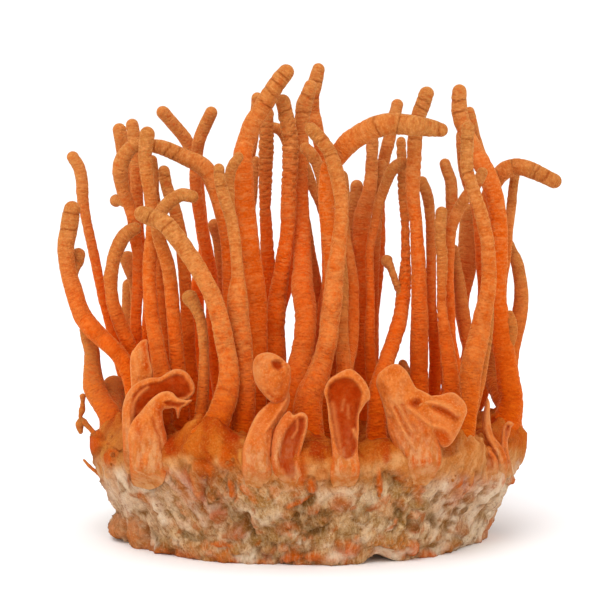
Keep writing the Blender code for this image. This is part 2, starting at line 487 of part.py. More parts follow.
            (-11.8, 53.5, -20.5, 2.1), (-11.4, 50.0, -21.0, 2.1), (-11.2, 46.8, -21.0, 2.3),
            (-11.2, 44.1, -21.5, 3.2), (-11.2, 41.6, -22.0, 3.8), (-11.0, 38.3, -22.0, 3.8),
            (-10.4, 34.7, -22.5, 3.6), (-10.1, 30.6, -23.0, 3.4), (-9.9, 26.1, -24.0, 3.8),
        ],
        "buds": [
            [
                (-11.1, 68.0, -16.0, 1.9), (-12.2, 66.3, -16.0, 2.0), (-12.7, 64.4, -16.0, 2.0),
                (-12.7, 62.1, -16.5, 1.8), (-12.5, 59.6, -18.0, 1.6), (-12.2, 56.5, -20.0, 1.4),
            ],
        ],
    },
    "stem_43_back_leaning": {
        "root": (-17.0, 28.0),
        "rows": [
            (-24.7, 76.1, 14.0, 2.3), (-22.9, 74.0, 15.0, 2.3), (-21.2, 72.0, 16.0, 2.3),
            (-19.8, 69.8, 17.0, 2.3), (-18.7, 66.6, 18.0, 2.3), (-18.4, 62.1, 20.0, 2.3),
            (-17.6, 54.9, 22.0, 2.3), (-17.1, 51.7, 22.0, 2.3), (-17.5, 48.6, 23.0, 2.3),
            (-18.4, 45.0, 24.0, 2.5), (-18.5, 40.5, 25.0, 2.5), (-18.4, 34.2, 26.0, 2.5),
        ],
    },
    "stem_44_back_slanted": {
        "root": (-15.0, 14.0),
        "rows": [
            (-16.0, 76.0, 4.0, 2.3), (-17.2, 73.4, 5.0, 2.4), (-18.1, 71.1, 5.0, 2.3),
            (-18.5, 68.9, 6.0, 2.2), (-18.8, 65.3, 6.0, 2.2), (-18.7, 62.1, 7.0, 2.2),
            (-18.2, 58.5, 8.0, 2.2), (-17.5, 54.9, 9.0, 2.3), (-16.8, 51.3, 10.0, 2.3),
            (-16.1, 47.3, 11.0, 2.5), (-15.7, 42.3, 12.0, 2.5), (-15.5, 35.1, 13.0, 2.7),
        ],
    },
    "stem_45_crook_left": {
        "root": (-28.5, -8.0),
        "rows": [
            (-29.6, 55.2, -9.0, 2.2), (-30.7, 54.7, -9.0, 2.5), (-31.9, 53.5, -9.0, 2.6),
            (-32.8, 51.8, -9.0, 2.6), (-33.5, 49.9, -9.0, 2.5), (-33.8, 48.2, -9.0, 2.4),
            (-34.1, 46.4, -9.0, 2.6), (-34.0, 44.1, -9.0, 2.3), (-33.7, 41.8, -9.0, 2.4),
            (-32.9, 39.4, -8.5, 2.6), (-32.0, 37.1, -8.0, 2.7), (-31.0, 34.6, -8.0, 2.7),
            (-29.9, 31.1, -7.5, 2.7),
        ],
    },
    "stem_46_short_pair": {
        "root": (-29.0, 11.0),
        "rows": [
            (-31.0, 49.7, 4.0, 2.9), (-30.3, 47.9, 4.0, 2.9), (-29.7, 45.5, 5.0, 2.3),
            (-29.5, 42.3, 6.0, 2.0), (-29.6, 38.7, 7.0, 2.0), (-29.4, 34.2, 8.0, 2.3),
        ],
        "forks": [
            [
                (-30.8, 45.0, 10.0, 2.3), (-30.9, 42.3, 10.0, 2.2), (-30.9, 39.1, 10.0, 2.2),
                (-30.4, 35.5, 9.5, 2.3), (-29.9, 31.9, 9.0, 2.3),
            ],
        ],
    },
    "stem_47_small_tapered": {
        "root": (-18.5, -24.5),
        "rows": [
            (-19.8, 42.7, -21.0, 2.9), (-18.7, 40.9, -21.0, 2.2), (-17.9, 38.7, -21.0, 2.0),
            (-17.5, 36.0, -21.5, 1.9), (-17.3, 32.9, -22.0, 1.8), (-17.3, 29.3, -23.0, 2.0),
            (-17.5, 25.2, -23.5, 2.2),
        ],
    },
    "stem_49_back_short": {
        "root": (-12.0, 23.0),
        "rows": [
            (-15.4, 55.8, 13.0, 2.3), (-14.7, 53.5, 14.0, 2.2), (-14.3, 50.4, 15.0, 2.2),
            (-14.0, 46.8, 16.0, 2.3), (-13.9, 42.3, 17.0, 2.3), (-13.7, 35.1, 19.0, 2.5),
        ],
    },
    "stem_51_low_left": {
        "root": (-33.5, -8.0),
        "rows": [
            (-38.9, 36.9, -4.5, 1.6), (-38.3, 35.5, -4.5, 2.3), (-37.5, 33.3, -5.0, 2.7),
            (-37.4, 31.1, -5.0, 2.9), (-37.3, 29.0, -5.5, 3.4), (-37.0, 26.6, -6.0, 4.0),
            (-35.9, 24.3, -7.0, 3.8), (-34.4, 22.0, -8.0, 4.0),
        ],
        "forks": [
            [
                (-33.5, 26.6, -2.0, 4.3), (-33.5, 24.3, -3.0, 4.9), (-33.8, 22.0, -6.0, 4.7),
            ],
        ],
    },
    "stem_52_thick_back": {
        "root": (24.0, 19.0),
        "rows": [
            (30.4, 58.1, 18.5, 3.1), (30.4, 55.8, 18.5, 3.4), (30.3, 52.7, 18.5, 3.6),
            (30.1, 49.5, 18.5, 3.6), (29.6, 46.3, 19.0, 3.4), (29.0, 42.8, 19.0, 2.9),
            (29.2, 39.6, 19.0, 2.5), (29.8, 36.0, 19.0, 2.3), (30.1, 31.5, 19.0, 2.5),
        ],
    },
    "stem_53_small_club": {
        "root": (28.0, 5.0),
        "rows": [
            (27.9, 51.7, 4.0, 1.1), (28.1, 50.0, 4.0, 1.5), (28.3, 47.7, 4.0, 1.9), (28.7, 45.0, 4.0, 2.2),
            (29.0, 42.3, 4.0, 2.4), (29.4, 39.4, 4.0, 2.5), (29.9, 36.4, 4.0, 2.3), (30.3, 32.4, 4.0, 2.5),
        ],
    },
    "stem_54_forked_middle": {
        "root": (7.0, -23.0),
        "rows": [
            (7.3, 50.2, -15.0, 1.8), (7.6, 46.8, -15.0, 2.0), (7.7, 43.2, -16.0, 2.0),
            (7.6, 39.1, -17.0, 2.1), (7.6, 35.1, -18.0, 2.3), (7.9, 30.1, -19.5, 2.7),
        ],
        "forks": [
            [
                (7.5, 64.6, -8.0, 2.2), (7.8, 61.7, -8.0, 2.2), (7.6, 58.1, -8.0, 2.2),
                (8.0, 53.5, -8.5, 2.1), (8.8, 49.5, -9.0, 2.1), (9.4, 45.4, -9.0, 2.2),
                (9.5, 41.4, -10.0, 2.2), (9.5, 36.9, -12.0, 2.2), (9.1, 32.9, -15.0, 2.3),
                (8.4, 29.0, -19.0, 2.3),
            ],
        ],
    },
}

# Lobes are sheets: outline (u, v), depth at heights (v, depth), thickness and how round the edge is
LOBES = {
    "lobe_curled_ribbon": (
        {
            "outline": (
                (-31.0, 11.0), (-31.7, 13.5), (-31.9, 17.1), (-32.0, 20.0), (-32.0, 22.5), (-31.5, 24.7),
                (-30.4, 26.5), (-28.8, 27.7), (-27.0, 28.3), (-25.2, 28.4), (-23.8, 29.3), (-22.3, 29.9),
                (-20.7, 29.5), (-19.6, 28.3), (-18.9, 26.5), (-19.4, 25.0), (-20.9, 24.1), (-23.0, 23.6),
                (-25.2, 23.4), (-27.0, 22.9), (-28.1, 21.1), (-28.4, 17.1), (-28.8, 11.0),
            ),
            "depth": ((29.9, -25.2), (24.3, -25.8), (18.9, -26.8), (11.0, -27.2)),
            "thick": 2.2,
            "edge": 0.9,
        },
        {
            "outline": (
                (-29.9, 8.8), (-30.6, 11.7), (-30.8, 15.3), (-31.0, 18.2), (-30.1, 20.5), (-28.6, 22.3),
                (-27.4, 23.8), (-26.5, 24.7), (-25.2, 25.6), (-23.9, 25.9), (-22.9, 25.6), (-22.0, 24.7),
                (-20.7, 24.3), (-19.4, 24.3), (-20.3, 23.4), (-21.4, 22.7), (-21.8, 21.1), (-22.1, 21.1),
                (-22.5, 22.7), (-23.8, 22.7), (-24.7, 22.3), (-24.5, 20.0), (-23.9, 17.5), (-23.8, 14.6),
                (-23.9, 11.7), (-24.8, 9.2), (-27.4, 8.1),
            ),
            "depth": ((25.9, -27.9), (22.5, -28.4), (17.1, -29.2), (8.1, -29.8)),
            "thick": 2.6,
            "edge": 1.3,
        },
    ),
    "lobe_knob": (
        {
            "outline": (
                (-4.3, 23.4), (-5.6, 24.3), (-6.7, 25.4), (-7.7, 26.8), (-8.3, 28.3), (-8.5, 30.2),
                (-8.3, 31.5), (-7.6, 32.4), (-6.5, 32.8), (-5.2, 32.8), (-3.8, 32.2), (-2.7, 31.3),
                (-1.8, 30.4), (-1.6, 28.8), (-1.8, 26.8), (-2.2, 25.2), (-3.1, 23.9),
            ),
            "depth": ((32.8, -33.2), (23.4, -33.0)),
            "thick": 4.8,
            "edge": 2.6,
        },
        {
            "outline": (
                (-9.4, 8.5), (-10.3, 11.0), (-10.4, 13.1), (-10.3, 15.5), (-9.5, 18.0), (-8.8, 19.8),
                (-7.7, 21.8), (-6.5, 23.0), (-5.2, 24.1), (-3.8, 25.0), (-2.3, 26.1), (-1.8, 24.8),
                (-2.2, 22.9), (-3.2, 21.1), (-4.5, 19.3), (-5.0, 17.1), (-5.2, 14.4), (-5.0, 11.7),
                (-5.2, 9.2), (-7.2, 7.9),
            ),
            "depth": ((26.1, -31.8), (20.7, -34.6), (15.3, -37.6), (8.1, -38.4)),
            "thick": 2.6,
            "edge": 1.3,
        },
    ),
    "lobe_hooked_tongue": (
        {
            "outline": (
                (-2.5, 8.1), (-4.1, 9.9), (-5.0, 12.2), (-5.2, 14.9), (-5.0, 17.1), (-4.3, 19.4),
                (-3.1, 21.4), (-2.0, 22.3), (-1.1, 21.6), (-0.2, 22.0), (0.7, 22.0), (1.4, 21.2),
                (1.4, 19.8), (1.1, 18.2), (0.5, 16.2), (0.0, 14.2), (0.0, 12.4), (0.5, 10.6), (0.4, 9.0),
                (-0.9, 8.1),
            ),
            "depth": ((22.3, -35.6), (17.1, -37.2), (13.5, -38.6), (8.1, -39.0)),
            "thick": 2.6,
            "edge": 1.2,
        },
    ),
    "lobe_paddle": (
        {
            "outline": (
                (6.8, 7.7), (5.8, 9.0), (5.4, 11.0), (5.8, 13.9), (5.6, 17.1), (5.2, 20.0), (5.0, 22.5),
                (4.7, 24.3), (4.3, 25.7), (4.7, 27.0), (5.4, 28.1), (6.7, 29.0), (7.6, 29.5),
                (8.8, 29.9), (9.9, 29.5), (11.2, 28.3), (12.1, 27.0), (12.6, 25.6), (12.6, 24.5),
                (11.9, 23.8), (11.2, 22.7), (10.6, 21.4), (10.6, 18.9), (10.4, 15.3), (10.8, 12.4),
                (10.6, 10.4), (9.7, 8.8), (8.5, 7.9),
            ),
            "depth": ((29.9, -36.6), (17.1, -37.2), (13.5, -38.6), (10.6, -39.1), (7.7, -39.0)),
            "thick": 2.4,
            "edge": 1.0,
            "dish": 0.8,
        },
    ),
    "lobe_fused_pair": (
        {
            "outline": (
                (19.8, 9.2), (18.7, 11.0), (18.2, 13.1), (17.5, 14.9), (16.6, 16.7), (15.8, 18.9),
                (15.5, 21.1), (14.9, 23.4), (14.2, 25.6), (13.7, 27.2), (14.0, 28.8), (15.1, 29.9),
                (16.2, 30.6), (17.5, 30.8), (18.5, 30.2), (19.4, 29.2), (20.2, 27.7), (20.9, 26.5),
                (22.1, 25.9), (23.6, 25.0), (24.7, 22.9), (24.8, 20.3), (24.8, 17.8), (25.4, 15.3),
                (25.4, 13.1), (24.8, 11.5), (23.9, 10.1), (22.3, 8.8),
            ),
            "depth": ((30.8, -31.6), (24.3, -31.8), (17.1, -32.4), (13.5, -33.2), (8.8, -33.6)),
            "thick": 3.4,
            "edge": 1.9,
        },
        {
            "outline": (
                (22.3, 20.0), (21.4, 21.6), (21.1, 23.2), (21.8, 24.3), (23.4, 25.0), (25.2, 25.2),
                (26.5, 25.6), (27.7, 25.6), (28.8, 24.8), (29.7, 23.8), (30.1, 22.3), (29.7, 21.1),
                (29.0, 19.4), (28.3, 18.0), (27.4, 16.6), (26.3, 15.8), (25.2, 16.0), (24.5, 17.3),
                (23.6, 18.5),
            ),
            "depth": ((25.6, -31.6), (20.7, -32.6), (15.8, -32.6)),
            "thick": 3.0,
            "edge": 1.4,
        },
    ),
    "lobe_flake": (
        {
            "outline": (
                (-29.9, 17.1), (-30.2, 22.5), (-30.4, 27.0), (-30.6, 30.6), (-30.4, 32.6), (-29.7, 33.7),
                (-29.0, 34.6), (-28.3, 35.1), (-27.5, 35.1), (-27.4, 33.7), (-27.0, 31.5), (-26.5, 29.0),
                (-27.0, 24.3), (-27.4, 17.1),
            ),
            "depth": ((35.1, -22.0), (17.1, -23.2)),
            "thick": 1.2,
            "edge": 0.5,
        },
    ),
    "lobe_right_fins": (
        {
            "outline": (
                (35.6, 9.2), (35.1, 11.3), (34.9, 13.7), (34.2, 15.8), (33.3, 17.5), (32.8, 18.9),
                (32.8, 20.7), (33.1, 22.7), (33.5, 24.3), (33.8, 24.7), (34.2, 23.6), (34.2, 21.8),
                (34.4, 19.6), (34.9, 17.8), (36.0, 16.4), (36.9, 14.9), (37.4, 13.0), (37.3, 10.8),
                (36.7, 9.2),
            ),
            "depth": ((24.7, -17.5), (19.8, -18.8), (17.1, -19.8), (9.2, -19.8)),
            "thick": 2.6,
            "edge": 1.0,
        },
        {
            "outline": (
                (36.0, 9.9), (36.0, 12.6), (36.0, 14.9), (36.2, 17.1), (36.4, 18.9), (36.9, 20.0),
                (37.6, 20.5), (38.5, 20.0), (38.0, 19.3), (37.8, 18.2), (37.4, 16.9), (37.6, 14.9),
                (38.0, 12.8), (38.2, 10.3),
            ),
            "depth": ((20.5, -14.0), (17.1, -16.2), (13.5, -17.8), (9.9, -18.2)),
            "thick": 2.4,
            "edge": 0.8,
        },
        {
            "outline": (
                (31.9, 10.3), (31.3, 12.1), (31.3, 14.2), (32.0, 15.3), (33.3, 15.7), (34.6, 15.1),
                (35.5, 13.7), (35.8, 12.1), (35.3, 10.4), (33.7, 9.7),
            ),
            "depth": ((15.7, -21.2), (9.7, -22.6)),
            "thick": 3.0,
            "edge": 1.4,
        },
    ),
}

def place(u, v, depth):
    """Point in millimetres on the line of sight through (u, v), at the given depth, with its scale."""
    forward = Vector((0.0, math.cos(SIGHT_TILT), -math.sin(SIGHT_TILT)))
    upward = Vector((0.0, math.sin(SIGHT_TILT), math.cos(SIGHT_TILT)))
    middle = Vector((SIGHT_SIDE, 0.0, SIGHT_HEIGHT))
    eye = middle - SIGHT_DISTANCE * forward
    seen = middle + Vector((u, 0.0, 0.0)) + (v - SIGHT_HEIGHT) * upward
    share = (depth - eye.y) / (seen.y - eye.y)
    return eye + (seen - eye) * share, share


def rim_rise(angle):
    """How far the rim stands above the dome, in millimetres; it is highest at the front."""
    return RIM_RISE / MM - RIM_TILT / MM * math.sin(angle) + 0.35 * math.sin(3 * angle + 1.0)


def dome(x, y):
    """Height of the top of the block, in millimetres."""
    reach = math.hypot(x, y) / (BLOCK_TOP_RADIUS / MM)
    rise = BLOCK_DOME / MM * max(0.0, 1.0 - reach * reach)
    near = min(max((reach - 0.62) / 0.28, 0.0), 1.0)
    rise += rim_rise(math.atan2(y, x)) * near * near * (3.0 - 2.0 * near)
    return (BLOCK_HEIGHT - BLOCK_DOME) / MM + rise


def spline(rows, steps=8):
    """Smooth curve through the rows."""
    rows = np.asarray(rows, float)
    curve = []
    last = len(rows) - 1
    for i in range(last):
        a = rows[i - 1] if i else 2 * rows[0] - rows[1]
        b = rows[i]
        c = rows[i + 1]
        d = rows[i + 2] if i + 2 <= last else 2 * rows[last] - rows[last - 1]
        for k in range(steps):
            t = k / steps
            curve.append(
                0.5 * (2 * b + (c - a) * t + (2 * a - 5 * b + 4 * c - d) * t * t
                       + (3 * b - a - 3 * c + d) * t ** 3)
            )
    curve.append(rows[last])
    return np.array(curve)


def thin_out(curve, tolerance):
    """Keep the points of the curve that matter for its shape."""
    keep = {0, len(curve) - 1}
    spans = [(0, len(curve) - 1)]
    while spans:
        first, last = spans.pop()
        if last - first < 2:
            continue
        chord = curve[last] - curve[first]
        span = max(float(chord @ chord), 1e-9)
        worst = 0.0
        where = first
        for i in range(first + 1, last):
            along = float((curve[i] - curve[first]) @ chord) / span
            off = float(np.linalg.norm(curve[i] - curve[first] - along * chord))
            if off > worst:
                worst = off
                where = i
        if worst > tolerance:
            keep.add(where)
            spans.append((first, where))
            spans.append((where, last))
    return curve[sorted(keep)]


def ring_mesh(rings, tip):
    """Closed mesh from a list of rings and a tip point; the last ring is capped flat."""
    mesh = bmesh.new()
    loops = []
    for ring in rings:
        loops.append([mesh.verts.new(Vector(point) * MM) for point in ring])
    sides = len(loops[0])
    top = mesh.verts.new(Vector(tip) * MM)
    for k in range(sides):
        mesh.faces.new((top, loops[0][k], loops[0][(k + 1) % sides]))
    for upper, lower in zip(loops, loops[1:]):
        for k in range(sides):
            n = (k + 1) % sides
            mesh.faces.new((upper[k], lower[k], lower[n], upper[n]))
    mesh.faces.new(list(reversed(loops[-1])))
    bmesh.ops.recalc_face_normals(mesh, faces=mesh.faces)
    return mesh


def frames(points):
    """Directions along the path and two across it, without twist."""
    across = Vector((0.0, 1.0, 0.0))
    out = []
    for i, point in enumerate(points):
        before = points[max(i - 1, 0)]
        after = points[min(i + 1, len(points) - 1)]
        along = (after - before).normalized()
        across = (across - along * across.dot(along)).normalized()
        out.append((along, across, along.cross(across)))
    return out


def stem_mesh(rows, sides, embedded):
    """Round stem with a domed tip; rows are (x, y, z, radius)."""
    curve = spline(rows)
    if embedded:
        foot = curve[-1].copy()
        foot[2] -= ROOT_DEPTH
        path = np.vstack([thin_out(curve, PATH_TOLERANCE), foot])
    else:
        path = thin_out(curve, PATH_TOLERANCE)
    points = [Vector(row[:3]) for row in path]
    turns = frames(points)
    swell = 1.0 / math.sqrt(math.sin(2 * math.pi / sides) / (2 * math.pi / sides))
    rings = []
    along, across, beside = turns[0]
    radius = path[0][3]
    tip = points[0] - along * radius
    heads = [(points[0] - along * radius * 0.62, across, beside, radius * 0.74)]
    for point, turn, row in zip(points, turns, path):
        heads.append((point, turn[1], turn[2], row[3]))
    for centre, one, two, size in heads:
        ring = []
        for k in range(sides):
            angle = 2 * math.pi * k / sides
            ring.append(centre + (one * math.cos(angle) + two * math.sin(angle)) * size * swell)
        rings.append(ring)
    return ring_mesh(rings, tip)


def moved_in(outline, step):
    """The outline moved inwards by a step."""
    points = np.asarray(outline, float)
    ahead = np.roll(points, -1, axis=0) - points
    ahead /= np.linalg.norm(ahead, axis=1)[:, None]
    behind = np.roll(ahead, 1, axis=0)
    area = np.sum(points[:, 0] * np.roll(points[:, 1], -1) - points[:, 1] * np.roll(points[:, 0], -1))
    turn = 1.0 if area > 0 else -1.0
    normal = turn * np.column_stack([-(ahead + behind)[:, 1], (ahead + behind)[:, 0]])
    length = np.linalg.norm(normal, axis=1)
    normal /= length[:, None]
    return points + normal * (step / np.maximum(length / 2.0, 0.7))[:, None]


def lobe_mesh(sheet):
    """One sheet of a lobe: flat front and back with rounded edges, inside its outline."""
    mesh = bmesh.new()
    levels = sorted(sheet["depth"])
    heights = [row[0] for row in levels]
    depths = [row[1] for row in levels]
    half = sheet["thick"] / 2
    steps = [(0.5, 1.0)]
    if sheet["thick"] > 3.2:
        steps = [(0.25, 0.66), (0.75, 0.97)]
    outline = np.array(sheet["outline"])
    turn = len(outline) // 2
    outline = np.vstack([
        thin_out(outline[:turn + 1], OUTLINE_TOLERANCE)[:-1],
        thin_out(np.vstack([outline[turn:], outline[:1]]), OUTLINE_TOLERANCE)[:-1],
    ])
    flat = [(outline.tolist(), 0.0)]
    for step, share in steps:
        flat.append((moved_in(outline, step * min(sheet["edge"], 1.6)).tolist(), share * half))
    fronts = list(flat)
    if "dish" in sheet:
        fronts.append((moved_in(outline, sheet["edge"] * 0.5 + 0.8).tolist(), half - sheet["dish"]))
    count = len(outline)
    rim = None
    for loops, way in ((fronts, -1.0), (flat, 1.0)):
        before = rim
        for k, (loop, out) in enumerate(loops):
            if k == 0 and rim is not None:
                continue
            verts = []
            for u, v in loop:
                depth = float(np.interp(v, heights, depths)) + way * out
                verts.append(mesh.verts.new(place(u, v, depth)[0] * MM))
            if before is not None:
                for i in range(count):
                    n = (i + 1) % count
                    mesh.faces.new((before[i], before[n], verts[n], verts[i]))
            if k == 0:
                rim = verts
            before = verts
        fill = tessellate_polygon([[Vector((u, v, 0.0)) for u, v in loops[-1][0]]])
        for a, b, c in fill:
            mesh.faces.new((before[a], before[b], before[c]))
    bmesh.ops.recalc_face_normals(mesh, faces=mesh.faces)
    return mesh


def block_radius(angle, z):
    """Outline of the block at a height, in millimetres; the left foot bulges out."""
    heights = (0.0, 1.2, 4.0, 7.0, 10.0, 13.0, 15.6)
    base = BLOCK_BASE_RADIUS / MM
    waist = BLOCK_WAIST_RADIUS / MM
    top = BLOCK_TOP_RADIUS / MM
    radii = (base - 0.6, base, waist - 0.8, waist + 0.2, (waist + top) / 2 + 0.2, top - 0.6, top)
    radius = float(np.interp(z, heights, radii))
    left = math.exp(-((math.atan2(math.sin(angle - math.pi), math.cos(angle - math.pi)) / 0.5) ** 2))
    radius += 3.0 * left * math.exp(-((z - 0.8) / 2.2) ** 2)
    right = math.exp(-((math.atan2(math.sin(angle + 0.25), math.cos(angle + 0.25)) / 0.4) ** 2))
    radius += 0.7 * right * math.exp(-((z - 10.0) / 4.0) ** 2)
    radius += 0.35 * math.sin(5 * angle + 0.4 * z) + 0.25 * math.sin(9 * angle + 1.3 + 0.5 * z)
    return radius


def block_mesh(grow=0.0):
    """Round block with a flat base and a low domed top, grown by a small amount on request."""
    mesh = bmesh.new()
    loops = []
    for level in (0.0, 1.2, 4.0, 7.0, 10.0, 13.0, 15.6):
        loop = []
        for k in range(BLOCK_SIDES):
            angle = 2 * math.pi * k / BLOCK_SIDES
            radius = block_radius(angle, level)
            z = level * (1.0 + 0.85 * rim_rise(angle) / 15.6)
            loop.append(mesh.verts.new(Vector((radius * math.cos(angle), radius * math.sin(angle), z)) * MM))
        loops.append(loop)
    for share in (0.965, 0.88, 0.74, 0.6, 0.36, 0.15):
        loop = []
        for k in range(BLOCK_SIDES):
            angle = 2 * math.pi * k / BLOCK_SIDES
            x = share * BLOCK_TOP_RADIUS / MM * math.cos(angle)
            y = share * BLOCK_TOP_RADIUS / MM * math.sin(angle)
            lump = 0.25 * math.sin(0.5 * x + 1.0) * math.cos(0.45 * y)
            loop.append(mesh.verts.new(Vector((x, y, dome(x, y) + lump)) * MM))
        loops.append(loop)
    for lower, upper in zip(loops, loops[1:]):
        for k in range(BLOCK_SIDES):
            n = (k + 1) % BLOCK_SIDES
            mesh.faces.new((lower[k], lower[n], upper[n], upper[k]))
    mesh.faces.new(list(reversed(loops[0])))
    middle = mesh.verts.new(Vector((0.0, 0.0, dome(0.0, 0.0))) * MM)
    for k in range(BLOCK_SIDES):
        mesh.faces.new((loops[-1][k], loops[-1][(k + 1) % BLOCK_SIDES], middle))
    bmesh.ops.recalc_face_normals(mesh, faces=mesh.faces)
    if grow:
        mesh.normal_update()
        moves = [(vert, vert.normal * grow * vert.calc_shell_factor()) for vert in mesh.verts]
        for vert, move in moves:
            vert.co += move
    return mesh


def make_object(name, mesh, smooth_angle=50.0):
    """Object from an editing mesh, triangulated and shaded smooth up to an angle."""
    bmesh.ops.triangulate(mesh, faces=mesh.faces)
    data = bpy.data.meshes.new(name)
    mesh.to_mesh(data)
    mesh.free()
    for face in data.polygons:
        face.use_smooth = True
    data.set_sharp_from_angle(angle=math.radians(smooth_angle))
    thing = bpy.data.objects.new(name, data)
    bpy.context.scene.collection.objects.link(thing)
    return thing


def combine(thing, other, how):
    """Change the object by an exact union or difference with the other."""
    change = thing.modifiers.new("combine", "BOOLEAN")
    change.operation = how
    change.solver = "EXACT"
    change.object = other
    graph = bpy.context.evaluated_depsgraph_get()
    fresh = bpy.data.meshes.new_from_object(thing.evaluated_get(graph))
    thing.modifiers.clear()
    old = thing.data
    name = old.name
    thing.data = fresh
    bpy.data.meshes.remove(old)
    fresh.name = name


def discard(thing):
    """Remove a helper object and its mesh."""
    data = thing.data
    bpy.data.objects.remove(thing, do_unlink=True)
    bpy.data.meshes.remove(data)


def tidy(thing):
    """Merge doubled points, drop cut-off scraps and triangulate."""
    mesh = bmesh.new()
    mesh.from_mesh(thing.data)
    bmesh.ops.remove_doubles(mesh, verts=mesh.verts, dist=0.00002)
    bmesh.ops.dissolve_degenerate(mesh, edges=mesh.edges, dist=0.00002)
    seen = set()
    parts = []
    for vert in mesh.verts:
        if vert in seen:
            continue
        part = [vert]
        seen.add(vert)
        for one in part:
            for edge in one.link_edges:
                far = edge.other_vert(one)
                if far not in seen:
                    seen.add(far)
                    part.append(far)
        parts.append(part)
    parts.sort(key=len, reverse=True)
    for part in parts[1:]:
        bmesh.ops.delete(mesh, geom=part, context="VERTS")
    bmesh.ops.triangulate(mesh, faces=mesh.faces)
    bmesh.ops.recalc_face_normals(mesh, faces=mesh.faces)
    mesh.to_mesh(thing.data)
    mesh.free()
    for face in thing.data.polygons:
        face.use_smooth = True
    thing.data.set_sharp_from_angle(angle=math.radians(50.0))


def colour(thing, tint, roughness):
    """Give the object a material of its own."""
    material = bpy.data.materials.new("mat_" + thing.name)
    material.use_nodes = True
    shader = material.node_tree.nodes["Principled BSDF"]
    shader.inputs["Base Color"].default_value = tint
    shader.inputs["Roughness"].default_value = roughness
    thing.data.materials.clear()
    thing.data.materials.append(material)


def stem_rows(rows, root=None):
    """Rows of a stem in space as (x, y, z, radius), ended at its root when it has one."""
    placed = []
    for u, v, depth, width in rows:
        point, share = place(u, v, depth)
        placed.append((point.x, point.y, point.z, width / 2 * share))
    if root:
        x, y = root
        width = placed[-1][3]
        while placed[-1][2] < dome(x, y) + 1.2:
            placed.pop()
        placed.append((x, y, dome(x, y), width * STEM_FLARE))
    return placed


def build_stem(name, stem, cutter):
    """One stem with its buds and forks, seated on the block."""
    width = sum(row[3] for row in stem["rows"]) / len(stem["rows"])
    sides = STEM_SIDES if width > THIN_STEM else THIN_STEM_SIDES
    thing = make_object(name, stem_mesh(stem_rows(stem["rows"], stem["root"]), sides, True))
    extras = [(rows, None) for rows in stem.get("buds", [])]
    extras += [(rows, stem["root"]) for rows in stem.get("forks", [])]
    for rows, root in extras:
        piece = stem_mesh(stem_rows(rows, root), THIN_STEM_SIDES, bool(root))
        other = make_object("other", piece)
        combine(thing, other, "UNION")
        discard(other)
    combine(thing, cutter, "DIFFERENCE")
    tidy(thing)
    pale = max(row[1] for row in stem["rows"]) > 60.0
    colour(thing, STEM_ORANGE if pale else STEM_DEEP, 0.6)
    return thing


def build_lobe(name, sheets, cutter):
    """One lobe from its sheets, cut to sit on the rim of the block."""
    thing = make_object(name, lobe_mesh(sheets[0]))
    for sheet in sheets[1:]:
        other = make_object("other", lobe_mesh(sheet))
        combine(thing, other, "UNION")
        discard(other)
    combine(thing, cutter, "DIFFERENCE")
    tidy(thing)
    colour(thing, LOBE_TAN, 0.65)
    return thing


def main():
    for thing in list(bpy.data.objects):
        bpy.data.objects.remove(thing, do_unlink=True)
    block = make_object("rice_block", block_mesh())
    colour(block, BLOCK_CREAM, 0.85)
    cutter = make_object("cutter", block_mesh(GAP))
    for name, stem in STEMS.items():
        build_stem(name, stem, cutter)
    for name, sheets in LOBES.items():
        build_lobe(name, sheets, cutter)
    discard(cutter)


main()
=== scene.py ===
"""The cordyceps bunch as it looks: wrinkled orange stems, curled lobes and the overgrown rice block.

Lengths in the tables are millimetres: u to the right and v above the base as seen from the front,
depth behind the middle of the block.
"""
import math

import bpy
import numpy as np
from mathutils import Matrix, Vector, kdtree
from mathutils.geometry import delaunay_2d_cdt


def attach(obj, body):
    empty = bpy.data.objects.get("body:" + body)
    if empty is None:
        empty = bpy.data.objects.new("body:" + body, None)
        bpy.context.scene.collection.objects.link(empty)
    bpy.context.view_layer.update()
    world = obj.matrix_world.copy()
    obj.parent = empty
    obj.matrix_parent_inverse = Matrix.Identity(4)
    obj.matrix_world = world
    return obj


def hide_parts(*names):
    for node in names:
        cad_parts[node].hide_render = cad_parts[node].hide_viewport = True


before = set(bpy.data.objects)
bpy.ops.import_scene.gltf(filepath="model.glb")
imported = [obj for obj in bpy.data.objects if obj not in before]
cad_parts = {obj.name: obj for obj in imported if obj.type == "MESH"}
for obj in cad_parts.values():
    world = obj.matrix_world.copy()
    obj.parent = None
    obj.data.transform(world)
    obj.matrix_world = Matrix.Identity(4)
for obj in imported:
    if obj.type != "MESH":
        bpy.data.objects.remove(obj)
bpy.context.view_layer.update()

MM = 0.001
# The view from the front: how far it looks down, from how far, at what point, and how wide it is
SIGHT_TILT = math.radians(6.5)
SIGHT_DISTANCE = 600.0
SIGHT_HEIGHT = 42.3
SIGHT_SIDE = -0.9
PICTURE_WIDTH = 108.0
SENSOR_WIDTH = 36.0

BLOCK_BASE_RADIUS = 33.0
BLOCK_WAIST_RADIUS = 35.0
BLOCK_TOP_RADIUS = 39.0
BLOCK_HEIGHT = 19.5
BLOCK_DOME = 3.0
RIM_RISE = 2.5
RIM_TILT = 1.6
# Height of the block's side without the rise of its rim, and the radius that turns its angles into lengths
SIDE_HEIGHT = 15.6
SIDE_RADIUS = 37.0
# A stem's foot is this much wider than its last row
STEM_FLARE = 1.18
# Steps along a stem near its tip and further on, how far from the tip they change, and a facet's width
NEAR_STEP = 0.24
FAR_STEP = 0.36
STEP_CHANGE = 14.0
STEM_FACET = 0.28
# Lobes that reach lower than this grow out of the side of the block
FOOT_LIMIT = 13.0
# Step along the edge of a lobe's sheet, and how far its first loops of points lie inside the edge
SHEET_EDGE_STEP = 0.21
SHEET_INSETS = (0.0, 0.04, 0.12, 0.24)
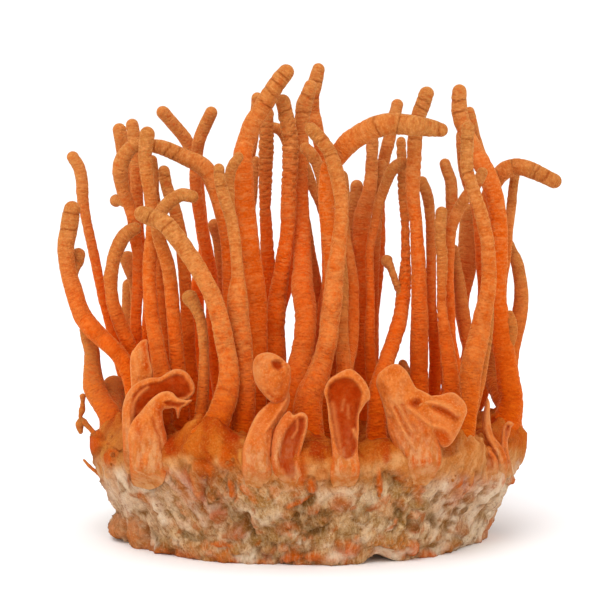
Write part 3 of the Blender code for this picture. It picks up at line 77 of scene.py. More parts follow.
# How far the block's skin may reach out at the back, and how softly it stops there
SKIN_REACH = 38.5
SKIN_SPARE = 0.5
# How many features are seeded on the block
GRAIN_COUNT = 1500
SMALL_SPOT_COUNT = 260
BACK_SPOT_COUNT = 150
BACK_DRAPE_COUNT = 46
KNOB_COUNT = 170

# Stems: where each is rooted on the block (x, y), its rows (u, v, depth, thickness) from tip to foot,
# forks that share its foot and buds that grow on it
STEMS = {
    "stem_01_tall_leaning": {"root": (-9.5, -15), "rows": (
        (-2.5, 83.3, -9, 2.9), (-3.8, 81.7, -9, 3.1), (-5, 79.9, -9, 3.2), (-6.1, 78.1, -9, 3.4),
        (-7.3, 76.1, -9, 3.2), (-8.6, 73.8, -9, 3.4), (-9.6, 71.1, -9, 3.4), (-10.3, 68.4, -10, 3.6),
        (-10.3, 65.3, -10, 3.8), (-10.2, 61.2, -10, 4), (-9.6, 56.7, -10, 3.6), (-9.1, 52.2, -11, 3.6),
        (-8.6, 48.6, -11, 3.6), (-8.1, 45, -12, 3.6), (-7.7, 41.4, -12, 3.6), (-7.7, 36, -13, 3.6),
        (-7.9, 28.8, -14, 4.1),
    )},
    "stem_02_behind_tall": {"root": (-6, 24), "rows": (
        (-7.7, 78.7, 14, 2), (-7.9, 75.6, 15, 2.2), (-8.6, 71.5, 16, 2.2), (-9.4, 66.6, 17, 2.3),
        (-9.7, 60.3, 18, 2.3), (-9.4, 53.1, 19, 2.3), (-8.5, 45.9, 20, 2.5), (-6.8, 36.9, 22, 2.7),
    )},
    "stem_03_wrinkled": {"root": (-5.5, -10), "rows": (
        (-3.1, 78.1, -5, 2.5), (-2.7, 76.1, -5, 2.7), (-2.2, 74.2, -5, 2.7), (-1.8, 71.8, -5, 2.7),
        (-1.7, 69.3, -5, 2.9), (-1.8, 65.7, -5, 2.7), (-2, 62.1, -5, 2.7), (-2.1, 58.1, -5, 2.7),
        (-2.3, 54, -5, 2.5), (-2.9, 50.2, -5.8, 2.7), (-3.4, 46.6, -6, 2.9), (-4, 43, -6, 3.3),
        (-4.4, 39.4, -7, 3.6), (-4.7, 35.8, -7, 4.1), (-4.7, 32.2, -8, 4.5), (-4.5, 26.1, -9, 4.5),
    )},
    "stem_04_straight": {"root": (-7.5, 2), "rows": (
        (-5.8, 76.1, 1, 2), (-6, 73.8, 1, 2.4), (-6.1, 69.3, 1, 2.6), (-6.2, 65.3, 1, 2.4),
        (-6.3, 61.7, 1, 2.2), (-6.3, 58.5, 1, 2), (-6.1, 54.9, 1, 2.2), (-5.9, 51.3, 1, 2.4),
        (-5.7, 48.4, 1, 2.4), (-5.8, 44.1, 1, 2.5), (-6.1, 38.7, 1, 2.7), (-6.5, 31.5, 2, 2.9),
    )},
    "stem_05_back": {"root": (-2.5, 14), "rows": (
        (-4.9, 73.4, 8, 1.8), (-3.6, 72.9, 9, 2), (-2.4, 71.3, 10, 2.2), (-1.8, 68.4, 11, 2.2),
        (-1.9, 63.9, 12, 2.2), (-2.1, 57.6, 12, 2.2), (-1.7, 51.3, 13, 2.1), (-2.2, 45.5, 13, 2.2),
        (-3.6, 40.5, 13, 2.3), (-4.9, 34.2, 14, 2.5),
    )},
    "stem_05b_back_thin": {"root": (-11, 7), "rows": (
        (-7.9, 67.5, 7, 1.4), (-8.2, 64.8, 7, 1.4), (-8.5, 61.2, 7, 1.6), (-9, 56.7, 7, 1.6),
        (-9, 50.4, 7, 1.8), (-8.5, 42.3, 7, 2), (-7.9, 34.2, 7, 2.2),
    )},
    "stem_06_tallest_back": {"root": (4, 25), "rows": (
        (3.3, 83.8, 14, 2.3), (2.8, 81.7, 14, 2.7), (2.2, 79.2, 14, 2.7), (2.2, 76.5, 15, 2.7),
        (2.8, 74.2, 15, 2.5), (3.4, 71.1, 16, 2.3), (4.1, 67.5, 17, 2.3), (4.7, 62.1, 18, 2.3),
        (5, 54.9, 19, 2.3), (5.4, 47.7, 20, 2.5), (5.6, 38.7, 22, 2.7),
    )},
    "stem_07_front_middle": {"root": (-4, -20), "rows": (
        (1.9, 80.8, -1, 2.3), (1.3, 79, -1, 2.7), (0.7, 77.2, -1, 2.9), (0.4, 75.1, -1, 2.7),
        (0.4, 72.5, -1, 2.3), (0.4, 70, -1.5, 2.2), (0.3, 66.6, -2, 2.2), (0.3, 62.1, -2, 2.3),
        (0.4, 58.1, -2, 2.5), (0.4, 54.5, -2.5, 3), (0.4, 51.3, -3.8, 3.1), (0.5, 47.7, -6.5, 3.4),
        (0.4, 45, -9, 3.9), (0.8, 42.3, -11, 3.9), (1.1, 39.6, -13, 3.8), (0.9, 36, -15, 3.8),
        (0.4, 32.4, -16, 4.1), (-0.5, 27.9, -18, 4.5), (-1.4, 23.4, -19, 4.7),
    )},
    "stem_07b_forked_back": {"root": (3, 13), "rows": (
        (0.5, 59.4, 6, 1.6), (1.2, 55.3, 6, 1.8), (1.9, 50.9, 7, 1.8), (2.7, 46.6, 8, 2),
        (3.2, 42.7, 9, 2.2), (3.3, 38.7, 10, 2.3), (3.1, 33.3, 11, 2.5),
    ), "forks": [(
        (0.5, 67.5, 5, 1.8), (1.4, 65.3, 5, 1.8), (2.3, 62.6, 5, 1.8), (3.5, 59.8, 5, 1.6),
        (4.5, 56.5, 5, 1.8), (5.1, 51.3, 4, 2), (5, 45, 6, 2.3), (4.1, 39.1, 9, 2.3),
    )]},
    "stem_08_front_curved": {"root": (0.5, -28), "rows": (
        (2, 73.1, -16, 2.3), (3.2, 71.8, -16, 2.5), (4.3, 70.5, -17, 2.5), (5.4, 68.8, -17, 2.5),
        (6.2, 66.6, -18, 2.7), (6.8, 64.3, -18, 2.7), (7.3, 61.6, -19, 2.6), (7.5, 58.5, -20, 2.4),
        (7.3, 55.3, -21, 2.5), (7, 52.2, -21, 2.9), (6.6, 49.1, -22, 3.1), (6.2, 45.9, -22, 3.4),
        (5.9, 42.3, -23, 3.6), (5.4, 38.7, -23, 3.6), (5, 35.1, -24, 3.6), (4.1, 31.5, -24, 3.8),
        (2.9, 27.9, -25, 4.5), (1.4, 23.9, -26, 5.2),
    )},
    "stem_09_bent_thin": {"root": (2, -12), "rows": (
        (1, 69.6, -7.5, 2.2), (2, 68.6, -7.5, 2.3), (3, 67, -7, 2.2), (3.8, 64.8, -7, 2.2),
        (4.3, 61.2, -7, 2.2), (4.7, 55.8, -7, 2.2), (5, 49.5, -8, 2.2), (5, 42.3, -9, 2.3),
        (4, 34.2, -10, 2.5),
    )},
    "stem_10_long_arch": {"root": (4, -17), "rows": (
        (25.4, 72.9, -19, 2.5), (23.4, 73.3, -19, 3.1), (20.7, 73.7, -19, 3.6), (18, 74, -18, 3.7),
        (15.3, 73.9, -18, 3.9), (12.8, 73.1, -17, 3.9), (10.6, 71.9, -16, 3.8), (8.6, 70.4, -15, 3.8),
        (6.8, 68.2, -14, 3.4), (5.4, 66.1, -13, 3.1), (4.9, 63.5, -13, 2.9), (4.8, 60.3, -13, 2.9),
        (5, 55.8, -13, 2.7), (5.4, 50.9, -13, 2.5), (5.8, 45.5, -13, 2.5), (5.8, 38.7, -14, 2.7),
        (5, 30.6, -15, 3.1),
    )},
    "stem_11_back_pair": {"root": (12, 18), "rows": (
        (17.5, 77.4, 4, 2.2), (17.1, 75.6, 4, 2.3), (16.4, 72.9, 5, 2.3), (15.8, 70.2, 5, 2.3),
        (15.1, 67.5, 6, 2.2), (14.7, 63.9, 7, 2), (14.3, 60.3, 7, 2), (14.2, 56.3, 8, 2.2),
        (14.2, 52.2, 8, 2.2), (13.9, 48.1, 9, 2.3), (13.5, 44.1, 10, 2.3), (13, 39.6, 12, 2.3),
        (12.9, 34.2, 14, 2.5),
    ), "forks": [(
        (14.8, 66.8, 3.5, 1.6), (14.5, 63.9, 3.5, 1.6), (14.2, 60.3, 3.5, 1.6), (13.9, 55.8, 3.5, 1.6),
        (13.6, 50.4, 4.5, 1.6), (13.4, 45.5, 7, 1.6), (13.1, 40.1, 11, 2),
    )]},
    "stem_12_tall_right": {"root": (20.5, -9), "rows": (
        (22.8, 79.4, -11.5, 2.7), (22.1, 77.4, -11.5, 2.8), (21.4, 75.6, -11.5, 2.8), (21, 73.4, -11.5, 2.8),
        (20.7, 71.1, -11.5, 2.7), (20.6, 68.4, -11.5, 2.7), (20.4, 65.3, -11.5, 2.7),
        (20.3, 62.1, -11.5, 2.5), (20.5, 59.4, -11, 2.4), (20.9, 56.3, -11, 2.3), (21.1, 52.7, -11, 2.4),
        (21.3, 49.1, -11, 2.6), (21.4, 45, -11, 2.7), (21.5, 38.7, -10.5, 3.1), (21.4, 34.2, -10, 3.2),
        (21.4, 27.9, -9, 3.2),
    ), "buds": [(
        (18.5, 30.8, -6.5, 1.6), (19.1, 29.2, -7.5, 2), (20.2, 27.2, -8.5, 2.3),
    )]},
    "stem_13_bumpy": {"root": (12.5, -19), "rows": (
        (18.2, 70.9, -5.5, 1.6), (18.3, 68.4, -5.5, 1.6), (18.4, 63.9, -5.5, 1.6), (18.6, 60.3, -6, 1.6),
        (18.9, 56.7, -6.5, 1.5), (19, 53.1, -7, 1.5), (19, 49.5, -7, 1.7), (18.9, 46.3, -7, 2.2),
        (18.6, 43.2, -7.5, 2.5), (18.2, 40.1, -9.5, 2.6), (17.6, 37.6, -11.5, 2.8), (16.7, 34.7, -13, 2.8),
        (15.8, 32, -15, 2.9), (14.8, 29, -17, 3.1), (13.9, 25.2, -18, 3.2),
    ), "buds": [(
        (15.6, 49.4, -8, 2.1), (16.3, 48.1, -8, 1.3), (16.9, 46.6, -8, 1.1), (17.4, 45, -8, 1.1),
        (18.4, 42.7, -8, 1.1),
    )]},
    "stem_14_swollen": {"root": (10, -3), "rows": (
        (13.1, 72.7, 1, 2.2), (13, 70.2, 1, 2.2), (12.9, 67.5, 1, 2.2), (12.8, 64.8, 1, 2.4),
        (12.5, 62.1, 0, 2.6), (11.9, 59.8, 0, 2.9), (11.2, 57.2, 0, 3.2), (11.1, 54.5, 0, 3.4),
        (11, 51.7, -1, 3.1), (11.3, 48.6, -1, 2.7), (11.6, 45, -2, 2.7), (11.5, 38.7, -2, 2.9),
        (11.2, 31.5, -3, 3.2),
    )},
    "stem_15_thin_curved": {"root": (12.5, -10), "rows": (
        (18.4, 67, -9, 2.2), (17.1, 66.2, -8.5, 2.2), (16.2, 65.1, -8, 2), (15.5, 63.4, -7, 1.9),
        (14.8, 61.4, -6, 1.8), (14.2, 59.6, -5.5, 1.8), (13.8, 57.6, -5, 1.7), (13.3, 55.1, -5, 1.6),
        (12.8, 52.6, -5, 1.5), (12.5, 49.9, -5.5, 1.5), (12.6, 46.3, -6, 1.5), (12.7, 41.4, -7, 1.6),
        (12.6, 34.2, -9, 2),
    )},
    "stem_16_back_short": {"root": (8, 9), "rows": (
        (10.2, 62.8, 7, 2.3), (10, 60.3, 7, 2.3), (9.5, 57.6, 7, 2.3), (9, 54, 7, 2.3), (9, 49.5, 7, 2.3),
        (9.4, 43.2, 7, 2.3), (9.7, 35.1, 8, 2.5),
    )},
    "stem_18_thin": {"root": (22.5, 3.5), "rows": (
        (21.9, 63.5, -4, 2.2), (22.7, 61.9, -4, 2), (23.2, 59.8, -3, 2), (23.4, 57.6, -3, 1.8),
        (23.5, 54.9, -3, 1.7), (23.6, 51.3, -2, 1.8), (23.6, 45.9, -1, 1.8), (23.7, 40.5, 0, 1.8),
        (24.2, 35.1, 1, 2.2), (24.3, 28.8, 2, 2.4),
    )},
    "stem_19_hooked_thin": {"root": (26.5, -2.5), "rows": (
        (26.1, 66.8, 0, 2), (26.6, 65.3, 0, 2.1), (27.2, 63.4, 0, 2.2), (27.3, 60.3, 0, 2.2),
        (27.2, 56.7, 0, 2), (26.8, 51.3, 0, 2), (26.5, 45, 0, 2), (26.4, 36.9, -1.5, 2.2),
        (26.5, 28.8, -2.5, 2.3),
    )},
    "stem_20_front_short": {"root": (26, -17), "rows": (
        (25.5, 58.1, -13, 2.1), (25.3, 55.6, -13, 2.1), (25.3, 53.1, -13, 2), (25.6, 50.4, -13, 2.1),
        (25.6, 47.3, -13, 1.9), (25.5, 44.1, -13, 1.7), (25.5, 41.4, -13, 1.7), (25.8, 38.3, -14, 2),
        (26.3, 35.1, -14, 2.5), (26.8, 31.5, -15, 2.9), (27.3, 27, -16, 3.2),
    )},
    "stem_21_curved_across": {"root": (28, -9.5), "rows": (
        (32.8, 65.2, -10, 2), (32, 63.5, -10, 2), (31, 62.1, -9, 2.1), (29.9, 60.8, -9, 2.2),
        (28.8, 59, -8, 2.2), (27.8, 56.9, -8, 2.2), (27.2, 54.7, -8, 2), (27.1, 52, -8, 1.7),
        (27, 49.1, -8, 1.6), (26.9, 45.5, -8, 1.6), (27.1, 41.9, -8, 1.6), (27.2, 38.3, -8, 1.6),
        (27.3, 34.7, -9, 1.8), (28.1, 28.8, -9, 2.5),
    )},
    "stem_22_stout_right": {"root": (36, -4.5), "rows": (
        (28.7, 79.9, -2, 2.5), (28.6, 77.8, -2, 2.7), (28.8, 75.6, -2, 2.8), (29.5, 73.3, -2, 2.8),
        (30.4, 71.1, -2, 2.9), (31.5, 68.9, -2, 3.1), (32.6, 67, -3, 3.2), (33.7, 64.8, -3, 3.2),
        (34.5, 62.6, -3, 3.2), (35.2, 59.9, -3, 3.1), (35.7, 56.7, -3, 3), (35.9, 53.1, -3, 2.9),
        (35.9, 49.1, -3, 2.8), (35.7, 45.9, -3, 2.7), (35.8, 42.3, -3, 2.7), (36.1, 38.7, -3, 3.4),
        (36.4, 35.1, -3, 3.8), (37, 31.5, -3, 4), (37.5, 27.9, -3.5, 4.3), (38, 23.9, -4, 4.5),
        (38.4, 19.8, -4.3, 4.6),
    ), "forks": [(
        (35.5, 37.8, 5, 2.5), (35.5, 34.2, 5, 2.5), (35.1, 31.1, 5, 3.1), (34.9, 28.3, 4.5, 3.4),
        (35.8, 25.6, 2.5, 3.2), (37.1, 22.5, -1, 3.1),
    )], "buds": [(
        (37.8, 39.8, -3, 1.3), (38.1, 38.2, -3.5, 1.8), (38.2, 36.2, -3.5, 1.8), (37.4, 33.3, -3, 1.6),
    )]},
    "stem_22b_back_thin": {"root": (30, 20), "rows": (
        (29, 72, 12, 1.8), (29.1, 69.3, 12, 1.8), (29.4, 66.1, 13, 1.8), (30.2, 63, 14, 1.8),
        (31.3, 60.3, 15, 1.8), (32, 56.7, 15, 1.8), (32.4, 53.1, 14.5, 2), (32.7, 49.1, 14.5, 2.2),
        (33.1, 45, 14.5, 2.2), (32.9, 40.9, 15, 2.2), (32.6, 36, 16, 2.3), (32.4, 31.5, 17, 2.3),
    )},
    "stem_23_front_right": {"root": (27, -25), "rows": (
        (30.2, 73.3, -18, 2.3), (30.1, 70.7, -18, 2.4), (30, 67.9, -18, 2.4), (30.1, 65.7, -18, 2.4),
        (30.6, 63.7, -18.5, 2.4), (31.2, 61.9, -18.5, 2.4), (31.9, 59.9, -19, 2.4), (32.5, 58, -19, 2.5),
        (33.1, 55.6, -19, 2.5), (33.7, 52.9, -19, 2.5), (33.9, 49.9, -19, 2.6), (34, 47, -19, 2.7),
        (33.8, 44.1, -20, 2.8), (33.3, 41.4, -20, 3.1), (32.7, 38.7, -20, 3.4), (32.1, 35.5, -21, 3.7),
        (31.3, 32.2, -22, 3.9), (30.7, 28.8, -22, 3.9), (30.6, 24.7, -23, 3.2), (30.1, 20.7, -24, 3.2),
        (29.4, 16.7, -25, 3.6),
    ), "forks": [(
        (34.2, 42.3, -14, 1.4), (34.1, 38.7, -14.5, 1.6), (33.7, 35.1, -16, 1.8), (33.1, 31.9, -18, 2),
        (32.4, 28.3, -20, 2.2), (31.5, 24.3, -22, 2.2),
    )]},
    "stem_24_back": {"root": (27, 25.5), "rows": (
        (30.5, 76.1, 4, 2), (30.9, 74.3, 4, 2.1), (31.3, 72.2, 6, 2.2), (32, 69.8, 7, 2.2),
        (32.9, 67.1, 9, 2.2), (34, 63.9, 10, 2.2), (34.6, 59.4, 11.5, 2.2), (34.9, 54, 14, 2.2),
        (34.9, 47.7, 18, 2.3), (34.4, 40.5, 20, 2.3), (33.7, 33.3, 22, 2.5),
    )},
    "stem_25_bent_right": {"root": (29.5, 13.5), "rows": (
        (45.8, 63.7, 2, 2.6), (44, 64.6, 2, 2.7), (42.1, 65.5, 3, 2.9), (40.3, 66.1, 3, 3),
        (38.5, 66.2, 4, 3.1), (36.9, 65.6, 4, 3.1), (35.5, 64.2, 5, 3), (34.5, 62.3, 5, 2.9),
        (33.8, 59.9, 5, 2.7), (33.8, 56.7, 5, 2.5), (34, 52.2, 6, 2.5), (34.6, 46.8, 8, 2.5),
        (34.9, 40.5, 10, 2.5), (34.6, 34.2, 11, 2.5), (33.5, 28.8, 12, 2.7), (32, 23.9, 13, 2.7),
    )},
    "stem_26_thin_right": {"root": (36.8, 5.6), "rows": (
        (38.9, 66.1, 8, 1.6), (38.6, 64.1, 8, 1.7), (38.3, 61.9, 8, 1.7), (38.1, 59.6, 8, 1.8),
        (37.8, 57.1, 7, 1.7), (37.5, 54.5, 6, 1.7), (37.3, 52, 6, 1.8), (37, 49.1, 6, 1.8),
        (36.5, 45.9, 6, 1.8), (36.4, 42.3, 6.5, 1.8), (36.7, 36.9, 8, 2), (37.4, 30.6, 8, 2),
        (37.8, 25.2, 7, 2),
    )},
    "stem_27_far_right": {"root": (35.5, 11.2), "rows": (
        (37.6, 52.6, 12, 1.6), (38.2, 51.1, 12, 1.8), (39, 49.1, 11, 2.2), (39.5, 46.6, 11, 2.3),
        (39.8, 43.9, 10, 2.5), (39.7, 41.2, 10, 2.7), (39.3, 38.5, 10, 2.8), (38.7, 35.8, 10.5, 2.7),
        (38.1, 32.9, 11, 2.7), (37.9, 28.8, 11, 2.5), (38, 24.3, 10.8, 2.5),
    )},
    "stem_29_thin_left": {"root": (-30, 4), "rows": (
        (-40.9, 68, -1, 2.2), (-39.8, 66.1, -1, 2.2), (-39.3, 63.9, -1, 2.2), (-39.2, 61.7, -1, 2.2),
        (-39, 59.6, -1, 2), (-38.5, 56.7, -1, 1.8), (-37.7, 53.1, -1, 1.8), (-36.9, 49.5, -1, 1.8),
        (-36.2, 45.9, -1, 1.7), (-35.4, 42.3, 0, 1.7), (-34.5, 39.1, 1, 1.8), (-33.5, 35.6, 2, 2),
        (-32.4, 31.5, 3, 2.3),
    )},
    "stem_30_bowed_left": {"root": (-29, -14), "rows": (
        (-41, 58.7, -8, 2.9), (-41.3, 57.1, -8, 3.1), (-41.6, 54.9, -8, 3.1), (-42.1, 52.2, -8, 3),
        (-42, 49.5, -8, 2.9), (-41.5, 46.8, -8, 2.9), (-40.7, 44.1, -8.5, 3.1), (-39.9, 41.4, -9, 3.1),
        (-39, 39.3, -9, 3.3), (-37.5, 37.3, -10, 3.4), (-35.8, 35.6, -10, 3.2), (-34.1, 34, -11, 3.1),
        (-32.6, 32.4, -11, 3.1), (-31.3, 30.4, -12, 3.2), (-30.2, 27.7, -12.5, 3.4), (-29.5, 23.9, -13, 3.6),
    ), "buds": [(
        (-39.9, 50.4, -5.5, 2.6), (-40, 49.1, -5.5, 2.2), (-40.5, 47.7, -6.5, 1.6), (-41, 45.4, -8, 1.6),
    )]},
    "stem_32_back_left": {"root": (-24, 19), "rows": (
        (-32.5, 72.9, 6, 2.5), (-32.2, 71.1, 6, 2.5), (-31.7, 67.5, 7, 2.3), (-30.8, 63.9, 8, 2.3),
        (-29.9, 59.4, 10, 2.2), (-29.2, 54, 11, 2.2), (-28.1, 48.1, 12, 2.3), (-27.1, 42.7, 14, 2.3),
        (-27.2, 37.8, 15, 2.4), (-27.3, 32.4, 16, 2.5),
    )},
    "stem_33_straight_left": {"root": (-25, 5), "rows": (
        (-30.2, 73.8, 0, 2.3), (-29.9, 72, 0, 2.3), (-29.6, 69.3, 0, 2.3), (-29.5, 65.7, 0, 2.3),
        (-29.4, 62.1, 0, 2.2), (-29.3, 58.5, 0, 2.2), (-29.2, 54.5, 0, 2.2), (-28.6, 50.4, 0, 2.2),
        (-27.7, 45.9, 1, 2.2), (-27, 41.4, 2, 2.2), (-26.3, 36.9, 3, 2.3), (-25.6, 31.5, 4, 2.5),
    )},
    "stem_34_front_left": {"root": (-25, -20), "rows": (
        (-27.5, 72.2, -14, 2.7), (-27.8, 70.2, -14, 2.5), (-27.9, 67.9, -14, 2.4), (-27.7, 65.7, -14, 2.4),
        (-27.4, 63.5, -14, 2.3), (-27, 61.4, -14, 2.3), (-26.7, 58.9, -14, 2.3), (-26.5, 56.3, -14, 2.3),
        (-26.6, 53.8, -14, 2.4), (-26.9, 51.3, -14, 2.4), (-27.1, 48.6, -14, 2.4), (-27.1, 45.5, -14.5, 2.4),
        (-26.9, 42.3, -15, 2.5), (-26.6, 39.1, -15, 2.6), (-26, 35.6, -16, 2.7), (-25.4, 32, -17, 2.9),
        (-24.7, 27.9, -18, 3.2),
    )},
    "stem_34b_thin": {"root": (-22.5, -6.5), "rows": (
        (-26.6, 67.5, -5.5, 1.8), (-26.3, 64.8, -6, 1.8), (-26.2, 61.7, -7, 1.8), (-25.7, 58.1, -8, 1.8),
        (-25.5, 54, -8, 1.8), (-25.5, 49.5, -8, 1.8), (-25.2, 44.1, -8, 2), (-24.7, 37.8, -8, 2.2),
        (-23.9, 30.6, -8, 2.5),
    )},
    "stem_35_elbow_left": {"root": (-27.5, -3), "rows": (
        (-29.8, 70.2, -9, 2.5), (-31, 69.1, -9, 2.7), (-32, 67.5, -9, 2.8), (-32.4, 65.7, -9, 2.8),
        (-32.2, 63.9, -8, 2.6), (-31.7, 61.6, -7, 2.4), (-30.7, 59.2, -6, 2.2), (-30, 56.7, -6, 2.2),
        (-29.7, 53.8, -5, 2.2), (-29.2, 50.4, -5, 2), (-29.2, 46.8, -4, 2), (-29.3, 43.2, -4, 2),
        (-29.5, 39.6, -4, 2), (-29.5, 36, -4, 2.2), (-29.2, 30.6, -3, 2.5),
    ), "buds": [(
        (-33.1, 60.2, -3.5, 2.3), (-32.4, 60.3, -4.5, 2), (-31.1, 59.6, -6, 1.6),
    )]},
    "stem_37_bent_top": {"root": (-13, -6), "rows": (
        (-26.2, 70, -9, 2.5), (-24.7, 69.7, -9, 2.7), (-22.7, 68.9, -9, 2.8), (-20.5, 67.9, -9, 2.9),
        (-18.4, 66.9, -9, 3.1), (-16.7, 65.5, -9, 3.1), (-15.8, 63.4, -9, 2.8), (-14.9, 61, -9, 2.7),
        (-14.2, 58.3, -9, 2.6), (-13.5, 55.3, -8.5, 2.5), (-13, 52, -8, 2.5), (-12.8, 48.1, -8, 2.5),
        (-12.6, 43.2, -7, 2.7), (-12.2, 36, -7, 2.9),
    )},
    "stem_38_front_sweep": {"root": (-17.5, -31), "rows": (
        (-28.4, 57.8, -22, 2.9), (-26.5, 57.1, -22, 3.1), (-24.5, 56.2, -22.5, 3.1), (-22.7, 54.2, -23, 3.2),
        (-20.6, 51.3, -23, 3.1), (-18.6, 48.3, -23.5, 3.1), (-17, 45.5, -24, 3), (-15.7, 42.8, -24, 3.1),
        (-14.8, 40.1, -24.5, 3.1), (-14.1, 37.3, -25, 3.3), (-13.5, 34.2, -25, 3.4), (-12.9, 31.1, -26, 3.4),
        (-12.8, 27.9, -27, 3.8), (-13.5, 24.3, -28, 4.3), (-14.9, 20.7, -29, 4.5), (-16.2, 17.5, -30, 4.9),
    )},
    "stem_39_hooked": {"root": (-21.5, -16), "rows": (
        (-19.4, 60.9, -18, 2.3), (-21.1, 61.2, -18, 2.4), (-22.9, 60.4, -18, 2.4), (-24.4, 59, -18, 2.4),
        (-25.5, 57.2, -17.5, 2.3), (-25.7, 54.9, -17, 2.3), (-25, 52.2, -17, 2.4), (-24, 49.3, -16.5, 2.5),
        (-23.4, 45.9, -16, 2.5), (-23, 41.9, -16, 2.5), (-22.6, 36.9, -16, 2.5), (-22.1, 31.1, -16, 2.7),
    )},
    "stem_40_slim": {"root": (-18.5, -8), "rows": (
        (-24.5, 65.5, -10, 2.1), (-24.1, 63.2, -10, 2.2), (-23.5, 61.2, -10, 2.2), (-22.7, 59, -10, 2.3),
        (-22, 56.3, -10, 2.3), (-21.4, 53.5, -10, 2.3), (-21.1, 50.2, -10, 2.3), (-20.8, 46.8, -10, 2.3),
        (-20.5, 42.3, -9, 2.3), (-20.2, 36.9, -9, 2.5), (-19.9, 30.6, -8, 2.7),
    )},
    "stem_41_knobbed": {"root": (-11, -25), "rows": (
        (-14.6, 65.9, -20, 2), (-14.4, 63.9, -20, 2.1), (-14, 62.1, -20, 2.2), (-13.5, 60.3, -20, 2.2),
        (-12.9, 58.5, -20, 2.2), (-12.3, 56.5, -20, 2.2), (-11.8, 53.5, -20.5, 2.1), (-11.4, 50, -21, 2.1),
        (-11.2, 46.8, -21, 2.3), (-11.2, 44.1, -21.5, 3.2), (-11.2, 41.6, -22, 3.8), (-11, 38.3, -22, 3.8),
        (-10.4, 34.7, -22.5, 3.6), (-10.1, 30.6, -23, 3.4), (-9.9, 26.1, -24, 3.8),
    ), "buds": [(
        (-11.1, 68, -16, 1.9), (-12.2, 66.3, -16, 2), (-12.7, 64.4, -16, 2), (-12.7, 62.1, -16.5, 1.8),
        (-12.5, 59.6, -18, 1.6), (-12.2, 56.5, -20, 1.4),
    )]},
    "stem_43_back_leaning": {"root": (-17, 28), "rows": (
        (-24.7, 76.1, 14, 2.3), (-22.9, 74, 15, 2.3), (-21.2, 72, 16, 2.3), (-19.8, 69.8, 17, 2.3),
        (-18.7, 66.6, 18, 2.3), (-18.4, 62.1, 20, 2.3), (-17.6, 54.9, 22, 2.3), (-17.1, 51.7, 22, 2.3),
        (-17.5, 48.6, 23, 2.3), (-18.4, 45, 24, 2.5), (-18.5, 40.5, 25, 2.5), (-18.4, 34.2, 26, 2.5),
    )},
    "stem_44_back_slanted": {"root": (-15, 14), "rows": (
        (-16, 76, 4, 2.3), (-17.2, 73.4, 5, 2.4), (-18.1, 71.1, 5, 2.3), (-18.5, 68.9, 6, 2.2),
        (-18.8, 65.3, 6, 2.2), (-18.7, 62.1, 7, 2.2), (-18.2, 58.5, 8, 2.2), (-17.5, 54.9, 9, 2.3),
        (-16.8, 51.3, 10, 2.3), (-16.1, 47.3, 11, 2.5), (-15.7, 42.3, 12, 2.5), (-15.5, 35.1, 13, 2.7),
    )},
    "stem_45_crook_left": {"root": (-28.5, -8), "rows": (
        (-29.6, 55.2, -9, 2.2), (-30.7, 54.7, -9, 2.5), (-31.9, 53.5, -9, 2.6), (-32.8, 51.8, -9, 2.6),
        (-33.5, 49.9, -9, 2.5), (-33.8, 48.2, -9, 2.4), (-34.1, 46.4, -9, 2.6), (-34, 44.1, -9, 2.3),
        (-33.7, 41.8, -9, 2.4), (-32.9, 39.4, -8.5, 2.6), (-32, 37.1, -8, 2.7), (-31, 34.6, -8, 2.7),
        (-29.9, 31.1, -7.5, 2.7),
    )},
    "stem_46_short_pair": {"root": (-29, 11), "rows": (
        (-31, 49.7, 4, 2.9), (-30.3, 47.9, 4, 2.9), (-29.7, 45.5, 5, 2.3), (-29.5, 42.3, 6, 2),
        (-29.6, 38.7, 7, 2), (-29.4, 34.2, 8, 2.3),
    ), "forks": [(
        (-30.8, 45, 10, 2.3), (-30.9, 42.3, 10, 2.2), (-30.9, 39.1, 10, 2.2), (-30.4, 35.5, 9.5, 2.3),
        (-29.9, 31.9, 9, 2.3),
    )]},
    "stem_47_small_tapered": {"root": (-18.5, -24.5), "rows": (
        (-19.8, 42.7, -21, 2.9), (-18.7, 40.9, -21, 2.2), (-17.9, 38.7, -21, 2), (-17.5, 36, -21.5, 1.9),
        (-17.3, 32.9, -22, 1.8), (-17.3, 29.3, -23, 2), (-17.5, 25.2, -23.5, 2.2),
    )},
    "stem_49_back_short": {"root": (-12, 23), "rows": (
        (-15.4, 55.8, 13, 2.3), (-14.7, 53.5, 14, 2.2), (-14.3, 50.4, 15, 2.2), (-14, 46.8, 16, 2.3),
        (-13.9, 42.3, 17, 2.3), (-13.7, 35.1, 19, 2.5),
    )},
    "stem_51_low_left": {"root": (-33.5, -8), "rows": (
        (-38.9, 36.9, -4.5, 1.6), (-38.3, 35.5, -4.5, 2.3), (-37.5, 33.3, -5, 2.7), (-37.4, 31.1, -5, 2.9),
        (-37.3, 29, -5.5, 3.4), (-37, 26.6, -6, 4), (-35.9, 24.3, -7, 3.8), (-34.4, 22, -8, 4),
    ), "forks": [(
        (-33.5, 26.6, -2, 4.3), (-33.5, 24.3, -3, 4.9), (-33.8, 22, -6, 4.7),
    )]},
    "stem_52_thick_back": {"root": (24, 19), "rows": (
        (30.4, 58.1, 18.5, 3.1), (30.4, 55.8, 18.5, 3.4), (30.3, 52.7, 18.5, 3.6), (30.1, 49.5, 18.5, 3.6),
        (29.6, 46.3, 19, 3.4), (29, 42.8, 19, 2.9), (29.2, 39.6, 19, 2.5), (29.8, 36, 19, 2.3),
        (30.1, 31.5, 19, 2.5),
    )},
    "stem_53_small_club": {"root": (28, 5), "rows": (
        (27.9, 51.7, 4, 1.1), (28.1, 50, 4, 1.5), (28.3, 47.7, 4, 1.9), (28.7, 45, 4, 2.2),
        (29, 42.3, 4, 2.4), (29.4, 39.4, 4, 2.5), (29.9, 36.4, 4, 2.3), (30.3, 32.4, 4, 2.5),
    )},
